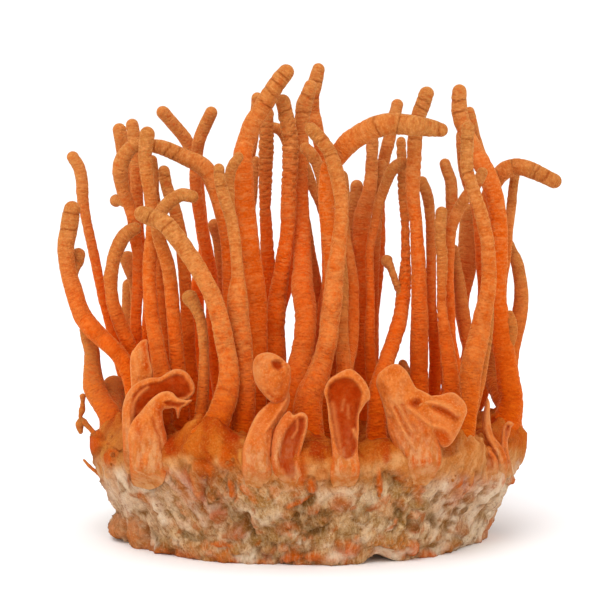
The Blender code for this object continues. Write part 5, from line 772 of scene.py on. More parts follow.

# Grains, hollows and patches on the front: u, v, half length, half width, turn, rise, tint, strength
# The "deep" patches are painted shadow in the pockets under the lobes and between the feet
SPOTS = (
    (-16, 7, 1.6, 0.9, -60, 0.5, "dark", 0.9), (-19.8, -0.2, 2.3, 0.7, -18, -0.3, "dark", 0.8),
    (-24.3, -1.8, 1.8, 1.1, -15, 0.4, "olive", 0.6), (-13.3, -0.2, 1.6, 0.9, -25, 0.6, "tan", 0.7),
    (-16.6, 0.5, 1.6, 0.7, -10, 0.4, "olive", 0.5), (3.6, 2.5, 2.2, 1.4, 25, 0.6, "dark", 0.8),
    (2.5, 0.5, 1.6, 0.7, 20, -0.3, "dark", 1), (1.6, 5.9, 1.3, 0.7, 30, -0.3, "dark", 0.9),
    (8.8, 0.7, 2, 0.7, 3, 0.3, "olive", 0.8), (10.8, 3.1, 1.6, 1.1, -20, 0.4, "dark", 0.3),
    (-3.1, -0.9, 3.1, 0.9, 0, 0.3, "olive", 0.7), (-6.8, -2, 2.2, 1.4, -30, 0.4, "olive", 0.6),
    (-4.3, 2.5, 1.4, 0.7, -20, 0.3, "dark", 0.3), (-10.8, 3.1, 1.4, 0.9, 20, 0.3, "olive", 0.4),
    (-7.6, 5.8, 2.2, 1.1, 0, 0.3, "olive", 0.5), (17.6, 4.1, 1.3, 0.7, -80, -0.3, "dark", 0.8),
    (21.6, 5.6, 1.6, 0.9, 20, 0.5, "olive", 0.8), (23.8, 2.7, 1.4, 0.7, -75, -0.3, "dark", 0.8),
    (25.7, 1.6, 1.3, 0.7, -80, -0.2, "dark", 0.6), (27.4, -1.8, 1.8, 1.3, 20, 0.5, "olive", 0.6),
    (30.4, 6.7, 1.3, 0.9, 50, 0.2, "dark", 0.3), (32.8, 3.8, 1.6, 0.7, 45, -0.2, "dark", 0.3),
    (23.4, -2, 1.6, 0.5, 15, -0.2, "dark", 0.6), (-18.9, 3.8, 1.3, 0.5, -50, -0.2, "dark", 0.4),
    (-28.3, 3.8, 0.5, 0.5, 0, -0.2, "dark", 0.6), (-23.4, 4.1, 0.9, 0.5, -40, -0.2, "dark", 0.4),
    (-25.7, 4.1, 0.7, 0.4, -30, -0.2, "olive", 0.8), (-18, 11.7, 4.7, 0.7, -32, -0.2, "olive", 0.6),
    (13, 10.3, 2.9, 1.3, -5, 0, "olive", 0.6), (15.8, 10.6, 1.1, 0.9, 0, -0.2, "dark", 0.3),
    (-14.6, 3.6, 1.4, 1.3, 0, 0.4, "pink", 1), (-11.3, 0.4, 1.6, 1.3, 0, 0.5, "pink", 1),
    (-9, 2.2, 1.4, 1.1, 0, 0.3, "pink", 0.6), (-3.6, 0.7, 1.3, 0.9, 0, 0.3, "pink", 0.6),
    (-1.6, 1.4, 1.1, 0.7, 0, 0.2, "pink", 0.7), (7.4, 5.4, 2.2, 1.4, 0, 0.3, "pink", 0.7),
    (20.5, 1.4, 0.9, 1.1, 0, 0.5, "pink", 1), (-5.8, -3.2, 1.4, 1.1, 0, 0.3, "pink", 0.5),
    (-30.2, 10.3, 0.7, 1.1, 0, 0.2, "pink", 0.8), (-13, -0.2, 0.9, 0.5, 0, 0.2, "pink", 0.7),
    (-1.8, 3.8, 1.6, 0.9, 10, 0.2, "pink", 0.5), (28.8, 1.3, 1.3, 1.4, 0, 0.2, "pink", 0.4),
    (8.1, 11.7, 2.5, 2.2, 0, 0, "pink", 0.5), (13, 4.7, 0.5, 1.3, -60, 0.2, "pink", 0.9),
    (18, 5.4, 0.9, 1.3, 0, 0.1, "pink", 0.5), (-12.4, 7.9, 1.6, 0.6, -72, 0.6, "orange", 1),
    (14.4, 9.2, 2.3, 0.5, -85, 0.5, "orange", 1), (2, 8.8, 0.9, 1.3, 0, 0.6, "orange", 1),
    (0, 5.9, 2.3, 0.5, 22, 0.5, "orange", 1), (-1.4, -4.1, 2.3, 0.9, 15, 0.5, "orange", 1),
    (2.3, -4, 2, 0.9, 0, 0.4, "orange", 0.9), (8.6, -2.5, 2.3, 1.4, -10, 0.5, "orange", 1),
    (20.2, -2.2, 1.1, 1.4, 0, 0.7, "orange", 1), (16.6, -2, 4.3, 1.6, 5, 0.6, "amber", 1),
    (23, -3.8, 1.4, 0.9, 0, 0.6, "orange", 1), (-18, -2.7, 5, 1.1, -8, 0.4, "amber", 0.5),
    (-14, -1.8, 2.2, 0.5, -5, 0.2, "orange", 0.9), (33.8, 1.1, 2.2, 0.9, 62, 0.5, "orange", 0.9),
    (32, -0.5, 1.6, 0.9, 40, 0.6, "amber", 0.8), (-36.5, 16, 1.1, 1.6, 0, 0.9, "orange", 1),
    (-33.8, 13.9, 0.9, 1.4, 0, 0.6, "orange", 0.8), (21.2, 7.7, 0.9, 1.8, 0, 0.1, "orange", 0.5),
    (-13.3, 12.4, 1.3, 1.8, 0, 0.2, "orange", 0.6), (-17.1, 10.6, 2.2, 0.9, -25, 0.3, "orange", 0.6),
    (-2.5, 11.7, 0.7, 1.8, -15, 0.3, "orange", 0.8), (0, 11.7, 1.6, 3.2, 0, 0.1, "orange", 0.5),
    (37.8, 9.9, 0.9, 0.7, 30, 0.6, "orange", 0.8), (-27.5, 6.8, 1.6, 1.1, 0, 0.1, "amber", 0.6),
    (-33.3, 1.4, 2.2, 2.5, 0, 1.3, "rust", 1), (-29.3, 0.2, 1.4, 3.1, 8, 0.8, "rust", 1),
    (-31.1, 0.5, 0.4, 2.7, 0, -0.6, "rust", 0.9), (-27.5, -0.2, 0.5, 2.5, 10, -0.5, "rust", 1),
    (8.1, -3.8, 4.3, 0.9, 5, 0.3, "amber", 0.9), (32, 13.3, 1.6, 2.5, 0, 0.9, "tan", 1),
    (-33.8, 19.1, 2.5, 1.4, 0, 0.8, "tan", 1), (-17.1, 14.4, 4.7, 2.5, 5, 0.2, "amber", 0.8),
    (13, 14.9, 3.2, 2.2, 0, 0, "amber", 0.7), (27.9, 15.5, 3, 3.4, 0, 0.1, "amber", 0.9),
    (34, 16.6, 1.6, 2.6, 0, 0, "orange", 0.6), (14.4, 17.1, 1.8, 1.4, 0, 0, "amber", 0.8),
    (20.2, 8.8, 1.8, 1.4, 0, 0.1, "amber", 0.7), (15.3, 4.9, 1.6, 1.8, 0, 0.2, "amber", 0.6),
    (-12.6, -3.2, 1.6, 0.9, 0, 0.3, "amber", 1), (36.6, 19.2, 3.4, 3.4, 0, 0, "orange", 0.7),
    (39.4, 17, 2.6, 2, 70, 0, "amber", 1), (-24.5, -2.6, 1.5, 1, -20, 0.4, "dark", 0.5),
    (-13.8, -4, 2, 1.2, -20, 0.5, "olive", 0.7), (-20.4, -3.6, 2.2, 0.9, -12, 0.3, "orange", 0.8),
    (-11.6, -4.6, 1.2, 0.8, 0, 0.5, "orange", 0.8), (-8.6, -4.4, 1.8, 1.3, 10, 0.5, "olive", 0.7),
    (-22, -1.2, 1.2, 0.6, -30, 0.3, "tan", 0.9), (-16, -3.4, 1, 0.5, -20, 0.4, "tan", 1),
    (-5.4, -5, 1.2, 0.8, 0, 0.4, "tan", 0.9), (5.4, -4.6, 1.6, 0.7, 0, 0.4, "tan", 0.8),
    (11, -1, 1.6, 0.8, 20, 0.3, "tan", 0.8), (-12.2, 18.6, 2.2, 3.4, 0, 0, "deep", 1),
    (3.2, 17.6, 1.3, 2.6, 0, 0, "deep", 1), (-15.6, 17, 2.6, 1.7, 8, 0, "deep", 1),
    (-12.6, 16.2, 1.8, 1.2, 0, 0, "deep", 1), (15.3, 14.4, 0.8, 1.8, 0, 0, "deep", 1),
    (0.3, 11.4, 0.6, 1.9, 0, 0, "deep", 0.9), (-2.8, 17.2, 0.9, 2.4, 0, 0, "deep", 0.9),
    (-23.4, 15.4, 0.9, 2, 10, 0, "deep", 0.9), (27, 15.4, 1.3, 1.6, 0, 0, "deep", 0.8),
    (11, 19.6, 1.5, 2.4, 0, 0, "deep", 0.7), (17, 9.4, 1.5, 0.9, 10, -0.3, "dark", 0.7),
    (19.6, 3, 0.9, 0.5, 70, -0.3, "dark", 0.9), (29.4, 4.4, 1.2, 0.5, 50, -0.3, "dark", 0.8),
    (33, 7.8, 1, 0.5, 50, -0.3, "olive", 0.9), (24.4, 6.8, 1, 0.6, 60, -0.3, "dark", 0.7),
    (6.2, 9.4, 1.6, 0.7, 15, -0.3, "olive", 0.9), (-7.6, 9, 1.8, 0.7, -15, -0.3, "olive", 0.8),
    (-20.6, 7.6, 1.2, 0.5, -45, -0.2, "olive", 0.8), (-7.2, -4.9, 3.6, 0.4, 0, 0.1, "amber", 1),
    (-27, -2, 2.2, 1.1, -15, 0.2, "rust", 0.6),
)

# Cracks across the stems: distances from the tip
CRACKS = {
    "stem_01_tall_leaning": (2.3, 3.8, 5.8, 8.1), "stem_03_wrinkled": (3, 7.5),
    "stem_06_tallest_back": (3.4, 6), "stem_07_front_middle": (3, 6), "stem_08_front_curved": (4.3, 7.5),
    "stem_10_long_arch": (1.6, 8.7, 12.3), "stem_12_tall_right": (2.5, 4, 9.5),
    "stem_22_stout_right": (2.9, 4.9), "stem_23_front_right": (3.1, 9),
    "stem_25_bent_right": (3.1, 4.6, 9.5), "stem_30_bowed_left": (2.2, 5),
    "stem_37_bent_top": (1.3, 3.6, 5.3), "stem_38_front_sweep": (2.6, 6.4),
    "stem_40_slim": (1.8,), "stem_41_knobbed": (1.5, 4),
}

# How strongly each stem is folded across
FOLDS = {
    "stem_01_tall_leaning": 0.08, "stem_03_wrinkled": 0.16, "stem_04_straight": 0.15,
    "stem_07_front_middle": 0.12, "stem_08_front_curved": 0.09, "stem_10_long_arch": 0.06,
    "stem_11_back_pair": 0.1, "stem_12_tall_right": 0.09, "stem_13_bumpy": 0.16, "stem_14_swollen": 0.1,
    "stem_20_front_short": 0.1, "stem_22_stout_right": 0.09, "stem_23_front_right": 0.09,
    "stem_38_front_sweep": 0.07,
}

# Deep rings near the top of some stems: depth, and how far from the tip they reach
RINGS = {"stem_03_wrinkled": (0.12, 25), "stem_04_straight": (0.12, 26), "stem_13_bumpy": (0.08, 36)}

# Mounds of skin on the block round the feet: x, y, height, reach
MOUNDS = (
    (-17.5, -31, 2.2, 6.5), (-25, -20, 0.8, 5), (-8, -29, 0.6, 6), (1, -32, 0.6, 5), (13, -32, 1, 4),
    (27, -25.5, 1.6, 4), (35.5, -6, 0.4, 5), (-33, -10, 1.8, 4.5), (-30, 8, 1, 7), (20, 20, 1, 9),
    (-12, 22, 1, 9), (4, 31, 0.9, 5),
)

# Threads that hang off the left edge: rows like a stem's
THREADS = (
    ((-39.1, 24.9, -6, 1.2), (-39.1, 23.8, -6, 0.8), (-39.2, 22.6, -6, 1.2), (-39.5, 21.2, -6, 0.8),
     (-38.9, 20.4, -6, 1.2), (-38, 19.4, -6.5, 0.9), (-37.1, 18.4, -7, 0.9), (-36.4, 17.6, -7.5, 0.9)),
    ((-39.5, 18.6, -6, 0.9), (-39.7, 19.8, -6, 1.5), (-39.4, 20.8, -6, 1), (-39.2, 21.2, -6, 0.7)),
    ((-38.9, 13.5, -7, 0.4), (-37.8, 12.3, -7.5, 0.6), (-36.5, 11.2, -8, 0.6), (-35.6, 10.3, -8.5, 0.7),
     (-34.6, 9.6, -8.5, 0.8)),
)

# Crumbs on the front: u, v, size
CRUMBS = (
    (0.9, 9.2, 0.5), (2.2, 9.9, 0.4), (-0.4, 5.8, 0.45), (-2.3, 11, 0.5), (-3.1, 12.1, 0.45),
    (-13.1, 13.1, 0.4), (-12.2, 12.1, 0.45), (-13.7, 11.3, 0.4), (-17.1, 10.4, 0.5), (-15.3, 11.3, 0.35),
    (-12.1, 13.5, 0.4), (27.4, 9.9, 0.45), (27.9, 10.8, 0.35), (-33.8, 14.4, 0.6), (-34, 12.6, 0.5),
    (-30.2, 10.8, 0.35), (14.6, 11.8, 0.45), (14.2, 7.4, 0.4), (30.6, 9, 0.3), (-33.9, 17.6, 0.5),
    (20.9, 8.6, 0.35),
)


def forward():
    """The way the front view looks."""
    return np.array([0.0, math.cos(SIGHT_TILT), -math.sin(SIGHT_TILT)])


def upward():
    """The way up in the front view."""
    return np.array([0.0, math.sin(SIGHT_TILT), math.cos(SIGHT_TILT)])


MIDDLE = np.array([SIGHT_SIDE, 0.0, SIGHT_HEIGHT])
EYE = MIDDLE - SIGHT_DISTANCE * forward()


def place(u, v, depth):
    """Points on the lines of sight through (u, v) at the given depths, with their scale."""
    u, v, depth = (np.asarray(value, float) for value in (u, v, depth))
    at = MIDDLE + np.outer(u, (1.0, 0.0, 0.0)) + np.outer(v - SIGHT_HEIGHT, upward())
    share = (depth - EYE[1]) / (at[:, 1] - EYE[1])
    return EYE + (at - EYE) * share[:, None], share


def seen(points):
    """Where points in space appear from the front."""
    ray = points - EYE
    away = ray @ forward()
    return ray[:, 0] / away * SIGHT_DISTANCE, (ray @ upward()) / away * SIGHT_DISTANCE + SIGHT_HEIGHT


def ramp(value, low, high):
    """Smooth step from 0 at low to 1 at high."""
    t = np.clip((value - low) / (high - low), 0.0, 1.0)
    return t * t * (3.0 - 2.0 * t)


def bell(away, width):
    """Bell curve: 1 where away is 0, and small beyond the width."""
    return np.exp(-((away / width) ** 2))


def fading(away, reach):
    """1 up to an edge, then less with the distance from it."""
    return np.exp(-np.clip(away, 0.0, None) / reach)


def wrapped(angle):
    """The angle brought between minus and plus half a turn."""
    return np.arctan2(np.sin(angle), np.cos(angle))


def rim_rise(angle):
    """How far the rim stands above the dome; it is highest at the front."""
    return RIM_RISE - RIM_TILT * np.sin(angle) + 0.35 * np.sin(3 * angle + 1.0)


def dome(x, y):
    """Height of the top of the block."""
    reach = np.hypot(x, y) / BLOCK_TOP_RADIUS
    rise = BLOCK_DOME * np.clip(1.0 - reach * reach, 0.0, None)
    return BLOCK_HEIGHT - BLOCK_DOME + rise + rim_rise(np.arctan2(y, x)) * ramp(reach, 0.62, 0.90)


def hashed(x, y, z, seed):
    """A number from 0 to 1 for each whole-numbered place."""
    h = (x * 374761393 + y * 668265263 + z * 1440662683 + seed * 974634777) & 0xFFFFFFFF
    h = ((h ^ (h >> 13)) * 1274126177) & 0xFFFFFFFF
    return ((h ^ (h >> 16)) & 0xFFFF) / 65535.0


def noise(points, seed):
    """Smooth value noise from 0 to 1 at an (n, 3) array of points."""
    low = np.floor(points).astype(np.int64)
    part = points - low
    part = part * part * (3.0 - 2.0 * part)
    total = np.zeros(len(points))
    for dx in (0, 1):
        for dy in (0, 1):
            for dz in (0, 1):
                weight = 1.0
                for axis, step in enumerate((dx, dy, dz)):
                    weight = weight * (part[:, axis] if step else 1 - part[:, axis])
                total += weight * hashed(low[:, 0] + dx, low[:, 1] + dy, low[:, 2] + dz, seed)
    return total


def swing(points, seed):
    """The noise from -1 to 1."""
    return 2.0 * noise(points, seed) - 1.0


def layers(points, size, seed, count=3):
    """Sum of noise at halving sizes, from about -1 to 1."""
    total = np.zeros(len(points))
    strength = 1.0
    whole = 0.0
    for k in range(count):
        total += strength * swing(points * (2.0 ** k / size) + 17.3 * k, seed + k)
        whole += strength
        strength *= 0.5
    return total / whole


def line_distance(u, v, line):
    """Distance from each (u, v) to a polyline."""
    best = np.full(len(u), 1e9)
    for (u0, v0), (u1, v1) in zip(line, line[1:]):
        du = u1 - u0
        dv = v1 - v0
        t = np.clip(((u - u0) * du + (v - v0) * dv) / (du * du + dv * dv), 0.0, 1.0)
        best = np.minimum(best, np.hypot(u - u0 - t * du, v - v0 - t * dv))
    return best


def within(u, v, outline):
    """Whether each (u, v) lies inside a closed outline."""
    inside = np.zeros(len(u), bool)
    for (u0, v0), (u1, v1) in zip(outline, list(outline[1:]) + [outline[0]]):
        if v0 != v1:
            crosses = (v0 > v) != (v1 > v)
            inside ^= crosses & (u < (u1 - u0) * (v - v0) / (v1 - v0) + u0)
    return inside


def signed_distance(u, v, outline):
    """Distance to a closed outline, positive inside it."""
    away = line_distance(u, v, list(outline) + [outline[0]])
    return np.where(within(u, v, outline), away, -away)


def spline(rows, steps=8):
    """Smooth curve through the rows."""
    rows = np.asarray(rows, float)
    curve = []
    last = len(rows) - 1
    for i in range(last):
        a = rows[i - 1] if i else 2 * rows[0] - rows[1]
        b = rows[i]
        c = rows[i + 1]
        d = rows[i + 2] if i + 2 <= last else 2 * rows[last] - rows[last - 1]
        for k in range(steps):
            t = k / steps
            curve.append(
                0.5 * (2 * b + (c - a) * t + (2 * a - 5 * b + 4 * c - d) * t * t
                       + (3 * b - a - 3 * c + d) * t ** 3)
            )
    curve.append(rows[last])
    return np.array(curve)


def distance_along(curve):
    """How far each point of a curve is from its start."""
    return np.concatenate([[0.0], np.cumsum(np.linalg.norm(np.diff(curve, axis=0), axis=1))])


def even(curve, near, far, change):
    """The curve again, at a fine step near its start and a coarser one further on."""
    run = distance_along(curve[:, :3])
    stops = [0.0]
    while stops[-1] < run[-1]:
        stops.append(stops[-1] + (near if stops[-1] < change else far))
    stops[-1] = run[-1]
    stops = np.array(stops)
    return np.stack([np.interp(stops, run, curve[:, k]) for k in range(curve.shape[1])], axis=1), stops


def closed_curve(outline, step):
    """Smooth closed curve through the outline, in even steps."""
    rows = list(outline)
    curve = spline(rows[-2:] + rows + rows[:2], 10)[20:-20]
    run = distance_along(curve)
    stops = np.linspace(0.0, run[-1], int(run[-1] / step), endpoint=False)
    return np.column_stack([np.interp(stops, run, curve[:, k]) for k in (0, 1)])


def frames(points, start):
    """Unit vectors along the path and two across it, without twist."""
    along = np.gradient(points, axis=0)
    along /= np.linalg.norm(along, axis=1)[:, None]
    one = np.zeros_like(points)
    across = np.array(start, float)
    for i in range(len(points)):
        across = across - along[i] * (across @ along[i])
        across /= np.linalg.norm(across)
        one[i] = across
    return along, one, np.cross(along, one)


def ring_faces(rings, sides):
    """Faces between rings of points that close round."""
    faces = []
    for a in range(0, (rings - 1) * sides, sides):
        b = a + sides
        for k in range(sides):
            n = (k + 1) % sides
            faces.append((a + k, b + k, b + n, a + n))
    return faces


def tube_faces(rings, sides, closed_foot):
    """Faces of a tube whose points run ring by ring, then the tip, then the foot."""
    tip = rings * sides
    last = tip - sides
    faces = [(tip, k, (k + 1) % sides) for k in range(sides)]
    faces += ring_faces(rings, sides)
    if closed_foot:
        faces += [(tip + 1, last + (k + 1) % sides, last + k) for k in range(sides)]
    return faces


def joined(parts):
    """Several meshes, each given as points, faces and values, as one."""
    faces = []
    count = 0
    for points, own, _ in parts:
        faces += [tuple(count + k for k in face) for face in own]
        count += len(points)
    values = {key: np.concatenate([part[2][key] for part in parts]) for key in parts[0][2]}
    return np.vstack([part[0] for part in parts]), faces, values


def shown(name, data):
    """Object in the scene made from its data."""
    thing = bpy.data.objects.new(name, data)
    bpy.context.scene.collection.objects.link(thing)
    return thing


def make_piece(name, points, faces, values, material):
    """Shown mesh from points in millimetres, with its named values kept on the points."""
    data = bpy.data.meshes.new(name)
    data.from_pydata((np.asarray(points) * MM).tolist(), [], faces)
    data.polygons.foreach_set("use_smooth", [True] * len(data.polygons))
    for key, value in values.items():
        kind, field = ("FLOAT_VECTOR", "vector") if np.ndim(value) == 2 else ("FLOAT", "value")
        layer = data.attributes.new(key, kind, "POINT")
        layer.data.foreach_set(field, np.asarray(value, np.float32).ravel())
    data.materials.append(material)
    return shown(name, data)


def stem_path(rows, root):
    """Places and radii from the tip on, in even steps; a rooted stem is led down into the block."""
    rows = np.asarray(rows, float)
    placed, share = place(rows[:, 0], rows[:, 1], rows[:, 2])
    placed = np.column_stack([placed, rows[:, 3] / 2 * share])
    if root is None:
        curve = spline(placed)
    else:
        ground = float(dome(*root))
        foot = placed[-1, 3] * STEM_FLARE
        while placed[-1, 2] < ground + 1.2:
            placed = placed[:-1]
        curve = spline(np.vstack([placed, (*root, ground, foot)]))
        below = curve[-1].copy()
        below[:2] *= 0.93
        below[2] -= 2.2
        curve = np.vstack([curve, below])
    return even(curve, NEAR_STEP, FAR_STEP, STEP_CHANGE)


def stem_cracks(name, seed, rng, s, size, cosine, sine):
    """How deeply each point lies in a crack across the stem: the seen ones, and at most one seeded."""
    known = CRACKS.get(name, ())
    cracks = list(known) + list(rng.uniform(2.0, 9.0, rng.integers(0, 2)))
    crack = np.zeros(len(s))
    for n, stop in enumerate(cracks):
        tilt = rng.uniform(-0.22, 0.22) * size
        bend = 0.16 * swing(np.column_stack([cosine * 2, sine * 2, s * 0 + n]), seed + 31)
        # The side that faces the front cracks most
        reach = ramp(-cosine + rng.uniform(-0.25, 0.25), -0.3, 0.5)
        depth = 1.0 if n < len(known) else 0.25
        crack = np.maximum(crack, depth * reach * bell(s - stop - tilt * sine - bend, 0.14))
    return crack


def stem_tube(name, rows, root, seed):
    """Points, faces and values of one stem, bud or fork. Only one with a root is cracked and flared."""
    path, run = stem_path(rows, root)
    radius = path[0, 3]
    along, one, two = frames(path[:, :3], (0.0, 1.0, 0.0))
    # The tip is rounded off by a cap of smaller rings
    cap = np.radians([78.0, 62.0, 46.0, 30.0, 15.0])
    heads = path[0, :3] - along[0] * (np.sin(cap) * radius)[:, None]
    centres = np.vstack([heads, path[:, :3]])
    sizes = np.concatenate([np.cos(cap) * radius, path[:, 3]])
    ones, twos = (np.vstack([np.repeat(way[:1], len(cap), axis=0), way]) for way in (one, two))
    from_tip = np.concatenate([radius - np.sin(cap) * radius, run + radius])
    sides = int(np.clip(round(2 * math.pi * path[:, 3].mean() / STEM_FACET), 20, 40))
    rings = len(centres)
    angle = np.tile(np.arange(sides) * 2 * math.pi / sides, rings)
    s, size, height = (np.repeat(value, sides) for value in (from_tip, sizes, centres[:, 2]))
    cosine = np.cos(angle)
    sine = np.sin(angle)
    skin = np.column_stack([cosine * size, sine * size, s])
    rng = np.random.default_rng(seed)
    phase = rng.uniform(0, 2 * math.pi, 4)
    fade = ramp(s, 0.0, radius * 1.5)
    # The stem isn't quite round, and a furrow winds down it
    shape = np.ones(len(s))
    shape += fade * 0.030 * np.cos(2 * angle + phase[0] + 0.05 * s)
    shape += fade * 0.022 * np.cos(3 * angle + phase[1] - 0.07 * s)
    furrow = np.cos(angle - phase[2] - 0.8 * np.sin(0.08 * s + phase[3]))
    shape -= fade * 0.07 * np.exp((furrow - 1.0) / 0.03) * (0.5 + 0.5 * np.sin(0.3 * s + phase[1]))
    # Folds across, fine wrinkles and grain
    fold = 1.0 - np.abs(swing(skin * (0.5, 0.5, 1.5) + rng.uniform(0, 50, 3), seed)) * 2.0
    fine = swing(skin * (0.8, 0.8, 2.9) + rng.uniform(0, 50, 3), seed + 5)
    amount = 0.75 * FOLDS.get(name, 0.045)
    out = fade * (amount * fold + 0.035 * fine)
    out += 0.022 * swing(skin * (2.2, 2.2, 2.4), seed + 9)
    crack = np.zeros(len(s))
    if root is not None:
        crack = stem_cracks(name, seed, rng, s, size, cosine, sine)
    if name in RINGS and root is not None:
        deep, lowest = RINGS[name]
        sway = 3.4 * (noise(np.column_stack([cosine * 1.3, sine * 1.3, s * 0.4]), seed + 41) - 0.5)
        ring = np.abs(np.sin(math.pi * s / 1.15 + sway))
        hold = ramp(s, 2.0, 4.0) * ramp(s, lowest, lowest - 12.0)
        out += hold * deep * (ring ** 0.7 - 0.6)
        crack = np.maximum(crack, hold * 0.60 * ramp(ring, 0.45, 0.08))
    out -= 0.15 * crack
    if root is not None:
        # The foot widens where it meets the block, and closes below its skin
        up = height - float(dome(*root))
        flare = fading(up + 0.2, 1.3) * (0.8 + 0.3 * np.cos(3 * angle + phase[0]))
        out += size * 0.40 * flare * ramp(up, -0.9, 0.0)
        out -= size * 0.55 * ramp(up, -0.2, -2.4)
    ways = np.repeat(ones, sides, axis=0) * cosine[:, None] + np.repeat(twos, sides, axis=0) * sine[:, None]
    points = np.repeat(centres, sides, axis=0) + ways * (size * shape + out)[:, None]
    tip = centres[0] - along[0] * radius * (1.0 - math.sin(cap[0])) * 0.9
    # The fold value follows the relief; the flesh paints its crests lighter and its hollows darker as
    # painted highlight and shade
    values = {
        "from_tip": np.append(s, (0.0, s[-1])),
        "crack": np.append(crack, (0.0, 0.0)),
        "fold": np.append(np.clip(0.5 + 0.5 * fade * (0.7 * fold + 0.5 * fine), 0, 1), (0.5, 0.5)),
        "along": np.vstack([skin, (0.0, 0.0, 0.0), (0.0, 0.0, s[-1])]) + seed,
    }
    return np.vstack([points, tip, centres[-1]]), tube_faces(rings, sides, root is None), values


def build_stem(name, stem, number, material):
    """The whole shown stem of one node, with its forks and buds."""
    tubes = [(rows, stem["root"]) for rows in (stem["rows"], *stem.get("forks", []))]
    tubes += [(rows, None) for rows in stem.get("buds", [])]
    points, faces, values = joined([
        stem_tube(name, rows, root, 100 + 7 * number + 1000 * k) for k, (rows, root) in enumerate(tubes)
    ])
    rng = np.random.default_rng(number)
    values["shade"] = np.full(len(points), rng.uniform(0.0, 1.0))
    # The front stems are the dustiest, most of all up where the air reaches
    dusty = ramp(points[:, 1], -12.0, -30.0) * 0.75 + 0.30 * rng.uniform(0.0, 1.0)
    values["dust"] = dusty * ramp(points[:, 2], 22.0, 40.0)
    # Painted shade: stems at the outer edge, open to more light, are painted darker low down
    values["outer"] = ramp(np.hypot(points[:, 0], points[:, 1]), 27.0, 37.0)
    # Painted glow: stems further back are painted brighter, as if light shone through them
    values["glow"] = (1.0 - 0.6 * ramp(points[:, 0], 30.0, 37.0)) * ramp(points[:, 1], -26.0, 2.0)
    thing = make_piece("skin_" + name, points, faces, values, material)
    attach(thing, "root")
    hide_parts(name)


def block_outline(angle, level):
    """Radius of the block at an angle and a level of its side; the left foot bulges out."""
    base = BLOCK_BASE_RADIUS
    waist = BLOCK_WAIST_RADIUS
    top = BLOCK_TOP_RADIUS
    levels = (0.0, 1.2, 4.0, 7.0, 10.0, 13.0, SIDE_HEIGHT)
    radii = (base - 0.6, base, waist - 0.8, waist + 0.2, (waist + top) / 2 + 0.2, top - 0.6, top)
    radius = np.interp(level, levels, radii)
    radius = radius + 3.0 * bell(wrapped(angle - math.pi), 0.5) * bell(level - 0.8, 2.2)
    radius = radius + 0.7 * bell(wrapped(angle + 0.25), 0.4) * bell(level - 10.0, 4.0)
    return radius + 0.35 * np.sin(5 * angle + 0.4 * level) + 0.25 * np.sin(9 * angle + 1.3 + 0.5 * level)


def oval(across, up, half_long, half_wide, turn):
    """Squared distance from the middle of an oval, 1 at its edge."""
    cosine = math.cos(math.radians(turn))
    sine = math.sin(math.radians(turn))
    a = (across * cosine + up * sine) / half_long
    b = (up * cosine - across * sine) / half_wide
    return a * a + b * b


def grid_normals(points):
    """Outward normals of a ring-by-ring grid that closes round."""
    down = np.gradient(points, axis=0)
    around = (np.roll(points, -1, axis=1) - np.roll(points, 1, axis=1)) / 2
    normal = np.cross(around, down)
    return normal / np.maximum(np.linalg.norm(normal, axis=2)[..., None], 1e-9)


def cells(points, centres):
    """For each point the nearest centre, and how far the point is from the edge of its cell."""
    tree = kdtree.KDTree(len(centres))
    for i, centre in enumerate(centres):
        tree.insert(centre, i)
    tree.balance()
    nearest = np.zeros(len(points), int)
    edge = np.zeros(len(points))
    for i, point in enumerate(points):
        (_, first, near), (_, _, far) = tree.find_n(point, 2)
        nearest[i] = first
        edge[i] = far - near
    return nearest, edge


def block_grid():
    """Base form of the block as rings of points, with the side rings first."""
    columns, levels, outer, inner = ((740, 54, 25, 50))
    shares = np.concatenate([np.linspace(0.995, 0.84, outer), np.linspace(0.825, 0.03, inner)])
    angle = np.arange(columns) * 2 * math.pi / columns
    lift = rim_rise(angle)
    rings = []
    for level in np.linspace(0.0, SIDE_HEIGHT, levels):
        radius = block_outline(angle, np.full(columns, level)) - 0.3
        height = level * (1.0 + 0.85 * lift / SIDE_HEIGHT)
        rings.append(np.column_stack([radius * np.cos(angle), radius * np.sin(angle), height]))
    edge = block_outline(angle, np.full(columns, SIDE_HEIGHT)) - 0.3
    last = rings[-1][:, 2]
    for share in shares:
        radius = edge * share
        x = radius * np.cos(angle)
        y = radius * np.sin(angle)
        turn = ramp(np.full(columns, share), 1.0, 0.90)
        height = last + (dome(x, y) - last) * turn + 0.35 * np.sin(turn * math.pi)
        rings.append(np.column_stack([x, y, height]))
    return np.array(rings), levels


def raise_to(value, key, amount):
    """Makes a named value at least the amount."""
    value[key] = np.maximum(value[key], amount)


def mark(value, q, where, swell, tint, strength, rag):
    """Adds the relief and the colour of a grain, hollow or patch of the block."""
    q = np.clip(q * (1.9 - rag), 0.0, None)
    root = np.sqrt(q)
    near = ramp(root, 1.45, 0.55) * where
    bump = np.sqrt(np.clip(1.0 - q, 0.0, 1.0)) if swell > 0 else 2.6 * np.exp(-q * 1.5)
    rise = swell * bump * where
    if tint in ("dark", "olive", "pink", "orange"):
        rise = rise - 0.6 * abs(swell) * bell(root - 1.25, 0.30) * where
        raise_to(value, "vein", 0.9 * bell(root - 1.62, 0.24) * where)
    if tint in ("dark", "olive"):
        ring = bell(root - 0.85, 0.24) * where
        raise_to(value, "grey", 0.8 * strength * near * rag)
        hollow = strength * (1.1 * ring if swell > 0 else 0.4 * near + 0.5 * ring) * rag
        raise_to(value, "dark" if tint == "dark" else "grey", hollow)
    elif tint == "tan":
        value["pale"] = np.maximum(value["pale"] * (1.0 - 0.6 * near), 0.45 * strength * near)
    else:
        raise_to(value, tint, strength * near)
        if tint == "amber":
            value["dark"] *= 1.0 - 0.7 * near
    if tint != "tan":
        for key in ("pale", "vein"):
            value[key] *= 1.0 - 0.75 * near
    value["rise"] += rise


